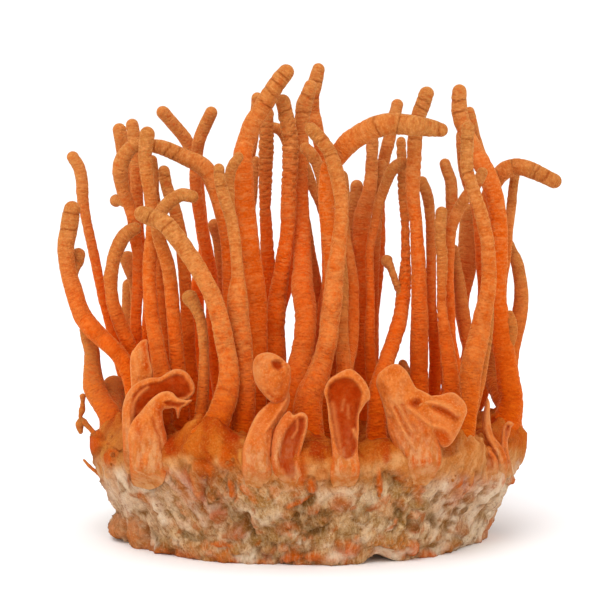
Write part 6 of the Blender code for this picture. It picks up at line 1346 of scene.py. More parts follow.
def add_drapes(value, rng, flat, turn, u, v, side, front, wander):
    """Drapes of skin: the ones seen on the front, and seeded ones round the back."""
    for line, width, swell, pale in DRAPES:
        near = bell(line_distance(u + wander, v, line), width) * front
        value["rise"] += 1.1 * swell * near
        raise_to(value, "pale", pale * near)
        for key in ("gap", "dark", "grey", "pink"):
            value[key] *= 1.0 - 0.8 * near
    for _ in range(BACK_DRAPE_COUNT):
        at = rng.uniform(0.15, math.pi - 0.15)
        lean = rng.uniform(-0.35, 0.35)
        away = wrapped(turn - at) * SIDE_RADIUS - lean * (flat[:, 2] - 8.0) * 3.0 - wander * 2.0
        near = bell(away, rng.uniform(0.5, 1.3)) * ramp(flat[:, 2], 0.5, 5.0) * side * (1.0 - front)
        value["rise"] += rng.uniform(0.2, 0.5) * near
        raise_to(value, "pale", rng.uniform(0.4, 0.9) * near)


def add_spots(value, rng, flat, turn, u, v, side, front, wander):
    """Grains, hollows and patches: the clear ones of the front, small ones between, and more behind."""
    rag = np.clip(0.85 + 0.7 * layers(flat, 1.1, 50), 0.0, 1.25)
    for su, sv, long, wide, lean, swell, tint, strength in SPOTS:
        mark(value, oval(u - su + wander * 0.5, v - sv, long, wide, lean), front, swell, tint, strength, rag)
    tints = ("dark", "olive", "tan", "pink", "olive", "tan", "dark", "orange", "tan")
    for _ in range(SMALL_SPOT_COUNT):
        su = rng.uniform(-33.0, 37.0)
        sv = rng.uniform(-5.5, 11.0)
        tint = tints[int(rng.integers(0, len(tints)))]
        swell = rng.uniform(0.05, 0.14) if tint in ("pink", "orange", "tan") else -0.07
        long = rng.uniform(0.35, 1.2)
        wide = rng.uniform(0.2, 0.45)
        q = oval(u - su + wander * 0.3, v - sv, long, wide, rng.uniform(-80.0, 80.0))
        mark(value, q, front, swell, tint, rng.uniform(0.25, 0.75), rag)
    arc = SIDE_RADIUS * wrapped(turn - math.pi / 2)
    tints = ("dark", "olive", "pink", "pink", "orange", "amber", "olive", "dark")
    for k in range(BACK_SPOT_COUNT):
        long = rng.uniform(0.9, 2.4)
        wide = rng.uniform(0.6, 1.3)
        stop = rng.uniform(-75.0, 75.0)
        level = rng.uniform(0.5, 11.5)
        tint = tints[int(rng.integers(0, len(tints)))]
        swell = rng.uniform(0.3, 0.6) if tint in ("pink", "orange", "amber") or k % 3 == 0 else -0.28
        q = oval(arc - stop + wander, flat[:, 2] - level, long, wide, rng.uniform(-80.0, 80.0))
        mark(value, q, (1.0 - front) * side, swell, tint, rng.uniform(0.6, 1.0), rag)


def sheet_depth(sheet, v):
    """Depth of a lobe's sheet at each height."""
    levels = sorted(sheet["depth"])
    return np.interp(v, [row[0] for row in levels], [row[1] for row in levels])


def lobe_fillets(flat, u, v):
    """Fillets where the lobes leave the skin, and how close the skin lies to them."""
    fillet = np.zeros(len(flat))
    hug = np.zeros(len(flat))
    for sheets in LOBES.values():
        for sheet in sheets:
            away = -signed_distance(u, v, sheet["outline"])
            close = bell(flat[:, 1] - sheet_depth(sheet, v), 2.6) * ramp(v, 19.5, 14.0)
            fillet = np.maximum(fillet, close * fading(away, 0.7) * ramp(away, -1.6, -0.2))
            hug = np.maximum(hug, close * fading(away, 1.6))
    return fillet, hug


def block_shape(flat, normal, side):
    """Relief, as "rise", and colour values of the block's skin, with its u and its front."""
    u, v = seen(flat)
    turn = np.arctan2(flat[:, 1], flat[:, 0])
    front = ramp(-normal[:, 1], 0.0, 0.2) * ramp(-flat[:, 1], 2.0, 8.0)
    keys = ("dark", "pink", "orange", "pale", "rust", "grey", "amber", "deep")
    value = {key: np.zeros(len(flat)) for key in keys}
    lift = rim_rise(turn)
    rng = np.random.default_rng(12)
    upper = ramp(flat[:, 2] + 1.6 * layers(flat, 6.0, 77) - lift, 9.5, 14.5)
    # Grains of rice, more or less covered by skin
    count = GRAIN_COUNT
    around = rng.uniform(-math.pi, math.pi, count)
    level = rng.uniform(0.0, 17.0, count)
    radius = block_outline(around, np.minimum(level, SIDE_HEIGHT)) - rng.uniform(0.0, 1.0, count)
    height = level * (1 + 0.05 * rim_rise(around))
    seeds = np.column_stack([radius * np.cos(around), radius * np.sin(around), height])
    warped = flat + 0.5 * np.column_stack([layers(flat, 2.2, seed) for seed in (301, 302, 303)])
    owner, edge = cells(warped.tolist(), seeds.tolist())
    cover = np.clip(0.55 + 0.80 * layers(flat, 8.0, 21) + 0.35 * layers(flat, 2.2, 22), 0.0, 1.0)
    cover = np.maximum(cover, upper)
    grain = (1.0 - (1.0 - np.clip(edge / 1.5, 0.0, 1.0)) ** 2) * side
    # Strands of skin that slant down the side
    slant = turn + (0.17 - 0.6 * np.cos(turn)) * flat[:, 2] / SIDE_RADIUS
    reach = SIDE_RADIUS * side + np.hypot(flat[:, 0], flat[:, 1]) * (1.0 - side)
    strand = np.column_stack([reach * np.cos(slant), reach * np.sin(slant), 0.32 * flat[:, 2]])
    fibre = layers(strand + 0.3 * layers(flat, 1.5, 311)[:, None], 1.3, 81)
    vein = np.clip(1.0 - np.abs(layers(strand, 2.0, 80)) / 0.15, 0.0, 1.0) * side
    rise = 0.60 * layers(flat, 6.5, 3) + 0.26 * layers(flat, 2.4, 8) + 0.10 * layers(flat, 0.9, 9, 2)
    rise += (0.55 * grain - 0.32) * (1.0 - 0.75 * cover)
    rise += (0.30 * vein + 0.36 * fibre * cover) * (1.0 - 0.2 * upper)
    pit = ramp(layers(strand, 2.6, 15), 0.30, 0.55) * ramp(layers(flat, 5.0, 16), -0.30, 0.25)
    pit = pit * (1.0 - upper) * side
    value["rise"] = rise - pit
    kind = rng.uniform(0, 1, count)[owner]
    depth = rng.uniform(0.35, 1.0, count)[owner]
    open_grain = (1.0 - 0.8 * cover) * ramp(edge, 0.05, 0.55) * side
    from_kind = 0.0
    for key, to_kind in (("dark", 0.10), ("grey", 0.30), ("pink", 0.46), ("orange", 0.56), ("pale", 0.72)):
        value[key] += ((kind >= from_kind) & (kind < to_kind)) * depth * open_grain
        from_kind = to_kind
    # Painted shade: the pits are greyed
    raise_to(value, "grey", 0.9 * pit)
    value["vein"] = np.maximum(0.8 * vein, ramp(fibre, 0.15, 0.60)) * (1.0 - 0.4 * upper)
    right = ramp(u, 18.0, 29.0) * np.clip(0.62 + 0.9 * fibre, 0.0, 1.0)
    raise_to(value, "pale", front * (0.45 * ramp(u, -21.0, -30.0) + right))
    # Painted shade in the gaps where uncovered grains meet
    value["gap"] = (1.0 - cover) * ramp(edge, 0.40, 0.0) * side
    wander = 0.5 * layers(flat, 3.0, 40)
    add_drapes(value, rng, flat, turn, u, v, side, front, wander)
    add_spots(value, rng, flat, turn, u, v, side, front, wander)
    # Ragged orange lower edge, with pale and amber scraps
    rag = ramp(flat[:, 2] + 1.3 * layers(flat, 4.0, 61), 2.8, 0.8) * ramp(layers(flat, 9.0, 70), -0.35, 0.2)
    raise_to(value, "orange", 0.75 * ramp(layers(flat, 2.4, 65), -0.10, 0.25) * rag * side)
    scrap = ramp(flat[:, 2] + layers(flat, 3.0, 62), 3.6, 1.2) * side
    raise_to(value, "pale", 0.95 * scrap * ramp(layers(flat, 3.4, 63), 0.00, 0.25))
    raise_to(value, "amber", 0.80 * scrap * ramp(layers(flat, 4.2, 64), 0.05, 0.30))
    crest = bell(flat[:, 2] - 15.0 - lift + 0.8 * layers(flat, 4.0, 91), 1.3)
    value["crest"] = crest * ramp(layers(flat, 4.0, 92), -0.15, 0.35)
    band = front * ramp(v + 0.6 * layers(flat, 2.6, 99), 9.6, 11.4)
    band = band * ramp(v - 2.6 * ramp(u, 12.0, 24.0), 13.8, 12.2)
    value["edge"] = band * ramp(layers(flat, 3.6, 97), -0.35, 0.12)
    fillet, value["hug"] = lobe_fillets(flat, u, v)
    rough = 0.30 * layers(flat, 1.5, 95) + 0.22 * np.abs(layers(strand, 1.2, 96))
    value["rise"] += 0.85 * fillet + upper * rough
    value["upper"] = upper
    # Painted shade in the sunken places as well
    sunk = np.clip(-value["rise"] - 0.25, 0.0, 1.0)
    value["gap"] = np.clip(value["gap"] + sunk * 0.8 * side, 0.0, 1.0)
    value["along"] = np.column_stack([strand[:, :2], flat[:, 2]]) + 0.5 * layers(flat, 2.5, 98)[:, None]
    return value, u, front


def squared_reach(flat, x, y):
    """Squared distance from each point to an upright line."""
    return (flat[:, 0] - x) ** 2 + (flat[:, 1] - y) ** 2


def skin_knobs(flat):
    """Small knobs of skin between the stems and round the back."""
    rng = np.random.default_rng(45)
    knob = np.zeros(len(flat))
    roots = np.array([stem["root"] for stem in STEMS.values()])
    for _ in range(KNOB_COUNT):
        out = 37.5 * math.sqrt(rng.uniform(0.02, 1.0))
        at = rng.uniform(-math.pi, math.pi)
        x = out * math.cos(at)
        y = out * math.sin(at)
        wide = rng.uniform(0.7, 1.5)
        lift = rng.uniform(0.4, 1.1)
        if y >= -21.0 and np.hypot(roots[:, 0] - x, roots[:, 1] - y).min() >= 2.6:
            knob = np.maximum(knob, lift * np.exp(-(squared_reach(flat, x, y) / wide ** 2) ** 1.4))
    return knob


def skin_at_feet(flat):
    """Collars and walls of skin round the feet, how far their colour bleeds, and folds that run down."""
    collar, wall, bleed, flute = np.zeros((4, len(flat)))
    for k, stem in enumerate(STEMS.values()):
        x, y = stem["root"]
        radius = stem["rows"][-1][3] / 2 * STEM_FLARE
        away = np.hypot(flat[:, 0] - x, flat[:, 1] - y) - radius
        collar = np.maximum(collar, (0.9 + 0.35 * radius) * fading(away, 0.6 + 0.35 * radius))
        drop = np.clip(float(dome(x, y)) - flat[:, 2], 0.0, None)
        away = np.sqrt(squared_reach(flat, x, y) + 0.22 * drop ** 2) - radius
        wall = np.maximum(wall, fading(away, 1.2))
        bleed = np.maximum(bleed, fading(away, 2.6))
        around = np.arctan2(flat[:, 1] - y, flat[:, 0] - x)
        # Folds that run down from the foot into the skin
        folds = np.abs(np.sin(2.5 * around + 1.7 * k + 0.25 * away)) - 0.5
        flute += folds * fading(away, 2.4) * ramp(away, 8.0, 4.0)
    return collar, wall, bleed, np.clip(flute, -0.6, 0.6)


def build_block(material):
    """The overgrown rice with its grains, drapes, mounds and collars round the feet."""
    grid, sides = block_grid()
    rows, columns = grid.shape[:2]
    normal = grid_normals(grid).reshape(-1, 3)
    flat = grid.reshape(-1, 3)
    inward = np.clip(1.0 - np.arange(1, rows - sides + 1) / 14.0, 0, 1)
    side = np.repeat(np.concatenate([np.ones(sides), inward]), columns)
    value, u, front = block_shape(flat, normal, side)
    top = 1.0 - side
    height = np.zeros(len(flat))
    for x, y, lift, reach in MOUNDS:
        height += lift * np.exp(-(squared_reach(flat, x, y) / reach ** 2))
    lumpy = ramp(flat[:, 1], -24.0, -14.0)
    knob = skin_knobs(flat) + lumpy * (0.9 * layers(flat, 5.5, 121) + 0.45 * np.abs(layers(flat, 2.2, 122)))
    collar, wall, bleed, flute = skin_at_feet(flat)
    dent = 1.1 * lumpy * ramp(layers(flat, 6.5, 123), -0.05, 0.45) * value["upper"] * side
    rise = value.pop("rise") - dent + 1.5 * wall * side + 0.55 * flute
    notch = bell(u - 14.0, 2.2) * front * ramp(flat[:, 2], 4.0, 1.0)
    points = flat + normal * (rise * (0.35 + 0.65 * side))[:, None]
    lumps = knob + 0.6 * flute + collar
    lumps = lumps + 0.35 * layers(flat, 3.0, 30) + 0.30 * layers(flat, 1.3, 97)
    points[:, 2] += ramp(flat[:, 2], 13.0, 17.0) * height + top * lumps + 1.6 * notch
    # Nothing reaches past the solid it dresses, or under the table
    reach = np.hypot(points[:, 0], points[:, 1])
    edge = SKIN_REACH + ramp(-points[:, 1], 20.0, 36.0) + 1.2 * wall
    capped = np.where(reach > edge, edge + SKIN_SPARE * np.tanh((reach - edge) / SKIN_SPARE), reach)
    points[:, :2] *= (capped / np.maximum(reach, 1e-6))[:, None]
    points[:columns, 2] = np.where(notch[:columns] > 0.05, points[:columns, 2], 0.0)
    points[:, 2] = np.maximum(points[:, 2], 0.0)
    value["collar"] = np.clip(np.maximum(collar, bleed) * top + 1.5 * bleed * side, 0.0, 1.0)
    # Painted highlight and shade: the folds and knobs are painted lighter on top and darker between
    value["flute"] = np.clip(0.5 + flute + 0.4 * np.clip(knob, 0.0, 1.0) * top, 0.0, 1.0)
    faces = [(a, d, c, b) for a, b, c, d in ring_faces(rows, columns)]
    summit = len(points)
    last = (rows - 1) * columns
    for k in range(columns):
        n = (k + 1) % columns
        faces.append((last + k, last + n, summit))
        faces.append((n, k, summit + 1))
    points = np.vstack([points, (0.0, 0.0, points[last:last + columns, 2].mean()), (0.0, 0.0, 0.0)])
    value = {key: np.concatenate([some, np.zeros((2, *some.shape[1:]))]) for key, some in value.items()}
    thing = make_piece("skin_rice_block", points, faces, value, material)
    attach(thing, "root")
    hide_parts("rice_block")
    return points, front


def sheet_plan(outline):
    """Flat net of a sheet: its edge curve, the points of three loops and a filled patch, the patch's
    faces, which of its points lie on its edge, and whether the edge runs clockwise."""
    curve = closed_curve(outline, SHEET_EDGE_STEP)
    ahead = np.roll(curve, -1, axis=0) - np.roll(curve, 1, axis=0)
    ahead /= np.linalg.norm(ahead, axis=1)[:, None]
    clockwise = np.sum(curve[:, 0] * np.roll(curve[:, 1], -1) - curve[:, 1] * np.roll(curve[:, 0], -1)) < 0
    inward = np.column_stack([-ahead[:, 1], ahead[:, 0]]) * (-1.0 if clockwise else 1.0)
    loops = [curve + inward * inset for inset in SHEET_INSETS]
    step = 0.24
    low = curve.min(axis=0)
    high = curve.max(axis=0)
    up = np.arange(low[1], high[1], step * 0.866)
    mesh_u, mesh_v = np.meshgrid(np.arange(low[0], high[0], step), up)
    mesh_u = mesh_u + (np.arange(len(up)) % 2 * step / 2)[:, None]
    inner = signed_distance(mesh_u.ravel(), mesh_v.ravel(), curve.tolist())
    inner = np.column_stack([mesh_u.ravel(), mesh_v.ravel()])[inner > SHEET_INSETS[-1] + step * 0.7]
    flat = [Vector(point) for point in np.vstack([loops[-1], inner]).tolist()]
    spots, _, fill, origin, _, _ = delaunay_2d_cdt(flat, [], [list(range(len(curve)))], 1, 1e-5)
    where = {}
    for i, sources in enumerate(origin):
        for source in sources:
            where[source] = i
    patch = np.array([(spot.x, spot.y) for spot in spots])
    return curve, np.vstack(loops[:3] + [patch]), fill, [where[i] for i in range(len(curve))], clockwise


def evened(full, fill, ring, start):
    """The thickness without the crease along the middle of narrow places."""
    pairs = set()
    for face in fill:
        for a, b in zip(face, list(face[1:]) + [face[0]]):
            pairs.add((min(a, b), max(a, b)))
    pairs = np.array(sorted(pairs)) + start
    free = np.zeros(len(full), bool)
    free[start:] = True
    free[[start + i for i in ring]] = False
    for _ in range(14):
        total = np.zeros(len(full))
        number = np.zeros(len(full))
        for one, other in (pairs.T, pairs.T[::-1]):
            np.add.at(total, one, full[other])
            np.add.at(number, one, 1)
        full = np.where(free, total / np.maximum(number, 1), full)
    return full


def sheet_faces(fill, ring, count, back, clockwise):
    """Faces of both sides of a sheet that share their edge curve."""
    faces = []
    for shift, flip in ((0, False), (back, True)):
        rings = [list(range(count))]
        rings += [[shift + k * count + i for i in range(count)] for k in (1, 2)]
        rings.append([shift + 3 * count + i for i in ring])
        for outer, inner in zip(rings, rings[1:]):
            for i in range(count):
                n = (i + 1) % count
                face = (outer[i], outer[n], inner[n], inner[i])
                faces.append(face[::-1] if flip != clockwise else face)
        for face in fill:
            face = tuple(shift + 3 * count + k for k in face)
            faces.append(face[::-1] if flip else face)
    return faces


def sheet_mesh(sheet, look, seed):
    """Points, faces and values of one sheet of a lobe."""
    curve, plan, fill, ring, clockwise = sheet_plan(sheet["outline"])
    count = len(curve)
    low = curve.min(axis=0)
    high = curve.max(axis=0)
    u = plan[:, 0]
    v = plan[:, 1]
    inside = line_distance(u, v, curve.tolist() + [curve[0].tolist()])
    inside[:count] = 0.0
    edge = max(sheet["edge"], (0.5 if look["hollows"] else 0.85) * inside.max())
    full = np.sqrt(np.clip(1.0 - (1.0 - np.clip(inside / edge, 0.0, 1.0)) ** 2, 0.0, 1.0))
    full = evened(sheet["thick"] / 2 * full, fill, ring, 3 * count)
    depth = sheet_depth(sheet, v)
    spot = np.column_stack([u, v, np.zeros(len(u)) + 3.0 * seed])
    soft = ramp(inside, 0.0, 0.45)
    wave = layers(spot, 3.0, 200 + seed)
    rib = np.sin(u * 2 * math.pi / 0.95 + 2.5 * layers(spot, 4.0, 220 + seed) + 0.25 * v)
    ribbed = 0.060 * rib * noise(spot / 2.0, 230 + seed)
    # Swells, ribs and grain, then what shows on this sheet
    relief = soft * (0.20 * wave + ribbed + 0.035 * layers(spot, 0.6, 260 + seed, 2))
    relief += soft * 0.17 * layers(spot, 1.3, 250 + seed, 2)
    cup = np.zeros(len(plan))
    pale = np.zeros(len(plan))
    deep = np.zeros(len(plan))
    # Hollows: sunk, and marked for their deeper inner colour and painted shade
    for outline, sink, fade in look["hollows"]:
        inner = ramp(signed_distance(u + 0.12 * wave, v, outline), -fade * 0.5, fade * 0.8)
        cup = np.maximum(cup, (0.4 if sink > 0.88 else 1.0) * inner)
        relief -= 1.3 * sink * inner
    # Folds: raised ones painted lighter as a highlight when their paleness is above 0, painted darker as
    # shade when below
    for line, width, lift, painted_light in look["folds"]:
        near = bell(line_distance(u + 0.10 * wave, v, line), width)
        relief += 1.5 * lift * near * soft
        pale = np.maximum(pale, 0.7 * painted_light * near)
        deep = np.maximum(deep, -painted_light * near)
        cup *= 1.0 - 0.8 * max(painted_light, 0.0) * near
    for line, width, strength in look["stains"]:
        deep = np.maximum(deep, strength * bell(line_distance(u + 0.25 * wave, v, line), width))
    above, below = look["tone"]
    share = np.clip((v - low[1]) / (high[1] - low[1]), 0.0, 1.0)
    deep = np.maximum(deep, below + (above - below) * ramp(share, 0.1, 0.8))
    near_side = depth - 1.25 * full - relief
    far_side = depth + 0.85 * full + 0.06 * wave * soft
    foot = np.zeros(len(plan))
    low_part = np.zeros(len(plan))
    if low[1] < FOOT_LIMIT:
        # The foot sinks into the side of the block and runs out
        spot, _ = place(u, v, depth)
        radius = block_outline(np.arctan2(depth, spot[:, 0]), np.clip(spot[:, 2], 0.0, SIDE_HEIGHT)) - 0.1
        wall = -np.sqrt(np.maximum(radius ** 2 - spot[:, 0] ** 2, 1.0))
        foot = ramp(v + 0.5 * wave, low[1] + 4.5, low[1] + 0.4)
        low_part = ramp(v + 0.8 * wave, low[1] + 14.0, low[1] + 4.0)
        near_side = near_side + (wall + 0.7 - near_side) * foot
        far_side = np.maximum(far_side, near_side + 0.4 * np.sqrt(np.clip(inside, 0.0, 1.0)))
        near_side[:count] = 0.5 * (near_side + far_side)[:count]
    front_points, _ = place(u, v, near_side)
    back_points, _ = place(u[count:], v[count:], far_side[count:])
    rim = np.exp(-inside / 0.20) * ramp(v, 9.5, 14.0) * (0.7 + 0.5 * layers(spot, 2.0, 270 + seed))
    rim = rim * (1.0 - 0.8 * low_part)
    film = low_part * ramp(inside, 0.20, 0.90) * (1.0 - 0.6 * cup)
    deep = np.maximum(deep, 0.75 * low_part * np.exp(-inside / 0.35))
    blank = np.zeros(len(plan) - count)
    values = {
        "rim": np.concatenate([rim, rim[count:]]),
        "cup": np.concatenate([cup, blank]),
        "pale": np.concatenate([pale, blank]),
        "deep": np.concatenate([deep, blank + 0.3]),
        "foot": np.concatenate([foot, foot[count:]]),
        "film": np.concatenate([film, film[count:]]),
    }
    faces = sheet_faces(fill, ring, count, len(blank), clockwise)
    return np.vstack([front_points, back_points]), faces, values


def build_lobe(name, sheets, number, material):
    """One lobe: its sheets with their hollows, folds and stains."""
    points, faces, values = joined([
        sheet_mesh(sheet, look, 10 * number + k) for k, (sheet, look) in enumerate(zip(sheets, LOOKS[name]))
    ])
    thing = make_piece("skin_" + name, points, faces, values, material)
    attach(thing, "root")
    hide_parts(name)


def build_bits(points, front, material):
    """Threads at the left edge and crumbs lying on the skin, as one piece."""
    parts = [stem_tube("thread", rows, None, 900 + k) for k, rows in enumerate(THREADS)]
    rng = np.random.default_rng(5)
    sides = 14
    rings = 9
    level = np.repeat(np.arange(1, rings) * math.pi / rings, sides)
    angle = np.tile(np.arange(sides) * 2 * math.pi / sides, rings - 1)
    ball = np.column_stack([np.sin(level) * np.cos(angle), np.sin(level) * np.sin(angle), np.cos(level)])
    ball = np.vstack([ball, (0.0, 0.0, 1.0), (0.0, 0.0, -1.0)])
    u, v = seen(points[:len(front)])
    for k, (cu, cv, size) in enumerate(CRUMBS):
        gap = np.hypot(u - cu, v - cv) + 50.0 * (front < 0.3)
        stretch = rng.uniform(0.5, 1.3, 3) * 0.8
        lump = 0.85 * size * (1.0 + 0.7 * layers(ball * 1.2 + 9.0 * k, 0.8, 600 + k, 2))
        spots = points[int(np.argmin(gap))] + ball * lump[:, None] * stretch
        # The fold value paints a crumb's bulges lighter and its dips darker: painted highlight and shade
        parts.append((spots, tube_faces(rings - 1, sides, True), {
            "from_tip": np.full(len(ball), 9.0),
            "crack": np.zeros(len(ball)),
            "fold": np.clip(0.5 + 0.8 * (lump / size - 1.0), 0, 1),
            "along": ball * 2.0 + k,
        }))
    spots, faces, values = joined(parts)
    for key, amount in (("shade", 0.2), ("dust", 0.3), ("glow", 0.2)):
        values[key] = np.full(len(spots), amount)
    thing = make_piece("threads_and_crumbs", spots, faces, values, material)
    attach(thing, "root")


class Graph:
    """A procedural material put together node by node."""

    def __init__(self, name):
        self.material = bpy.data.materials.new(name)
        self.material.use_nodes = True
        self.tree = self.material.node_tree
        self.shader = self.tree.nodes["Principled BSDF"]
        self.place = self.node("TexCoord").outputs["Object"]

    def node(self, kind):
        return self.tree.nodes.new("ShaderNode" + kind)

    def join(self, source, socket):
        if isinstance(source, (int, float, tuple)):
            socket.default_value = source
        else:
            self.tree.links.new(source, socket)

    def value(self, name, output="Fac"):
        """A value kept on the points of the mesh."""
        node = self.node("Attribute")
        node.attribute_name = name
        return node.outputs[output]

    def math(self, operation, a, b=0.0, clamp=False):
        node = self.node("Math")
        node.operation = operation
        node.use_clamp = clamp
        self.join(a, node.inputs[0])
        self.join(b, node.inputs[1])
        return node.outputs[0]

    def times(self, a, b, clamp=False):
        return self.math("MULTIPLY", a, b, clamp)

    def span(self, source, low, high, to_low=0.0, to_high=1.0):
        """Smooth step between two values of the source."""
        node = self.node("MapRange")
        node.interpolation_type = "SMOOTHSTEP"
        self.join(source, node.inputs["Value"])
        for key, amount in (("From Min", low), ("From Max", high), ("To Min", to_low), ("To Max", to_high)):
            node.inputs[key].default_value = amount
        return node.outputs["Result"]

    def height(self):
        node = self.node("SeparateXYZ")
        self.join(self.place, node.inputs[0])
        return node.outputs["Z"]

    def noise(self, scale, detail=3.0, roughness=0.55, source=None, stretch=None):
        node = self.node("TexNoise")
        source = source or self.place
        if stretch:
            mapping = self.node("Mapping")
            mapping.inputs["Scale"].default_value = stretch
            self.join(source, mapping.inputs["Vector"])
            source = mapping.outputs["Vector"]
        self.join(source, node.inputs["Vector"])
        for key, amount in (("Scale", scale), ("Detail", detail), ("Roughness", roughness)):
            node.inputs[key].default_value = amount
        return node.outputs["Fac"]

    def mix(self, amount, a, b, how="MIX"):
        node = self.node("Mix")
        node.data_type = "RGBA"
        node.blend_type = how
        self.join(amount, node.inputs[0])
        for source, socket in ((a, node.inputs[6]), (b, node.inputs[7])):
            if isinstance(source, tuple):
                socket.default_value = (*source, 1.0)
            else:
                self.join(source, socket)
        return node.outputs[2]

    def spread(self, body, source, low, high, most, colour):
        """The body with the colour mixed in where the source goes from low to high."""
        return self.mix(self.span(source, low, high, 0.0, most), body, colour)

    def tint(self, body, name, strength, colour):
        """The body with the colour mixed in as a named value says."""
        return self.mix(self.times(self.value(name), strength, True), body, colour)

    def finish(self, colour, rough, bumps, sheen, tint, under, reach):
        self.join(self.mix(1.0, colour, (0.98, 0.92, 0.90), "MULTIPLY"), self.shader.inputs["Base Color"])
        for key, amount in (
            ("Roughness", rough), ("Specular IOR Level", 0.02), ("Sheen Weight", sheen),
            ("Sheen Roughness", 0.33), ("Sheen Tint", tint), ("Subsurface Weight", under),
            ("Subsurface Radius", reach), ("Subsurface Scale", 1.0),
        ):
            self.shader.inputs[key].default_value = amount
        last = None
        for height, strength, distance in bumps:
            node = self.node("Bump")
            node.inputs["Strength"].default_value = strength
            node.inputs["Distance"].default_value = distance
            self.join(height, node.inputs["Height"])
            if last is not None:
                self.join(last, node.inputs["Normal"])
            last = node.outputs["Normal"]
        self.join(last, self.shader.inputs["Normal"])
        return self.material


def flesh_material():
    """Orange flesh of the stems, warmer and paler towards the tips, with folds, grain and powder, and
    painted glow, highlights and shade.
    """
    g = Graph("cordyceps_flesh")
    high = g.span(g.height(), 0.022, 0.062)
    body = g.mix(high, (0.660, 0.072, 0.0001), (0.610, 0.112, 0.002))
    body = g.mix(g.times(g.value("shade"), 0.35), body, (0.580, 0.072, 0.0002))
    tipped = g.span(g.value("from_tip"), 1.0, 28.0, 0.95, 0.0)
    tipped = g.math("ADD", tipped, g.span(g.noise(420.0, 3.0), 0.3, 0.7, -0.12, 0.12), True)
    # Painted shade: stems at the outer edge, open to more light, are painted darker low down
    outer = g.times(g.value("outer"), g.span(high, 0.0, 1.0, 0.55, 0.15))
    body = g.mix(outer, body, (0.380, 0.075, 0.002))
    body = g.mix(tipped, body, (0.390, 0.140, 0.028))
    # Painted glow: stems further back are painted brighter, as if light shone through them
    far = g.mix(g.span(g.value("from_tip"), 1.0, 30.0), (0.560, 0.200, 0.048), (0.880, 0.115, 0.001))
    body = g.mix(g.times(g.value("glow"), 0.85), body, far)
    # Pale powder, most of it on the front stems
    powder = g.times(g.value("dust"), g.span(g.noise(800.0, 4.0, 0.65), 0.35, 0.60, 0.25, 1.0))
    body = g.mix(g.times(powder, 0.8, True), body, (0.600, 0.255, 0.070))
    # Painted highlights on the crests of the wrinkles, grain and folds and painted shade in their hollows;
    # dark cracks
    painted_light = g.mix(high, (0.800, 0.170, 0.006), (0.760, 0.330, 0.100))
    painted_shade = g.mix(g.value("glow"), (0.380, 0.042, 0.0002), (0.560, 0.052, 0.0002))
    wrinkle = g.noise(1.0, 2.0, 0.5, g.value("along", "Vector"), (0.9, 0.9, 3.0))
    body = g.spread(body, wrinkle, 0.52, 0.70, 0.30, painted_light)
    body = g.spread(body, wrinkle, 0.48, 0.30, 0.28, painted_shade)
    grain = g.noise(2400.0, 3.0, 0.65)
    body = g.spread(body, grain, 0.50, 0.68, 0.32, painted_light)
    body = g.spread(body, grain, 0.48, 0.32, 0.32, painted_shade)
    body = g.spread(body, g.value("fold"), 0.45, 0.15, 0.42, painted_shade)
    body = g.spread(body, g.value("fold"), 0.60, 0.95, 0.30, painted_light)
    body = g.tint(body, "crack", 0.8, (0.240, 0.038, 0.002))
    bumps = ((wrinkle, 0.90, 0.00040), (grain, 0.80, 0.00030))
    return g.finish(body, 0.70, bumps, 0.62, (1.0, 0.50, 0.17, 1.0), 0.10, (0.0012, 0.0004, 0.0001))


def lobe_material():
    """Flesh of the lobes: paler rims, painted highlights on folds, deep red hollows with painted shade, feet
    in the colour of the skin.
    """
    g = Graph("cordyceps_lobe")
    blotch = g.noise(330.0, 4.0)
    body = g.mix(g.span(blotch, 0.3, 0.7, 0.0, 0.8), (0.670, 0.195, 0.036), (0.560, 0.118, 0.010))
    worn = g.noise(260.0, 5.0, 0.62, None, (1.0, 1.0, 0.6))
    body = g.spread(body, worn, 0.48, 0.62, 0.60, (0.560, 0.235, 0.080))
    body = g.spread(body, worn, 0.44, 0.34, 0.55, (0.500, 0.085, 0.003))
    # Stains and deeper tone, with painted shade in the sunk folds
    body = g.mix(g.value("deep"), body, (0.500, 0.062, 0.0004))
    speck = g.noise(2600.0, 3.0, 0.65)
    body = g.spread(body, speck, 0.50, 0.72, 0.50, (0.740, 0.330, 0.120))
    body = g.spread(body, speck, 0.48, 0.30, 0.40, (0.400, 0.060, 0.003))
    body = g.spread(body, g.noise(560.0, 4.0, 0.65), 0.50, 0.70, 0.5, (0.430, 0.080, 0.005))
    fuzz = g.noise(900.0, 4.0, 0.65)
    # The hollows are painted deep red: their deeper inner colour and painted shade
    cup = g.times(g.value("cup"), g.span(fuzz, 0.35, 0.75, 1.0, 0.80))
    body = g.mix(cup, body, (0.340, 0.030, 0.0004))
    # Painted highlight on the raised folds
    body = g.tint(body, "pale", 0.8, (0.740, 0.290, 0.085))
    body = g.tint(body, "rim", 0.80, (0.780, 0.350, 0.125))
    # Skin of the block that runs up the foot
    film = g.times(g.value("film"), g.span(g.noise(420.0, 5.0, 0.65, None, (1.7, 1.7, 0.5)), 0.36, 0.56))
    web = g.noise(700.0, 4.0, 0.65, None, (1.4, 1.4, 0.6))
    veil = g.mix(g.span(web, 0.40, 0.60), (0.460, 0.160, 0.036), (0.610, 0.325, 0.140))
    body = g.mix(g.times(film, 0.72, True), body, veil)
    patchy = g.span(g.noise(500.0, 4.0, 0.65), 0.35, 0.62)
    footed = g.mix(patchy, (0.420, 0.130, 0.020), (0.580, 0.300, 0.120))
    body = g.tint(body, "foot", 0.9, footed)
    bumps = ((g.noise(1100.0, 4.0, 0.65), 0.90, 0.0005), (g.noise(3000.0, 2.0), 0.60, 0.00020))
    return g.finish(body, 0.66, bumps, 0.04, (1.0, 0.5, 0.2, 1.0), 0.12, (0.0012, 0.0004, 0.0001))


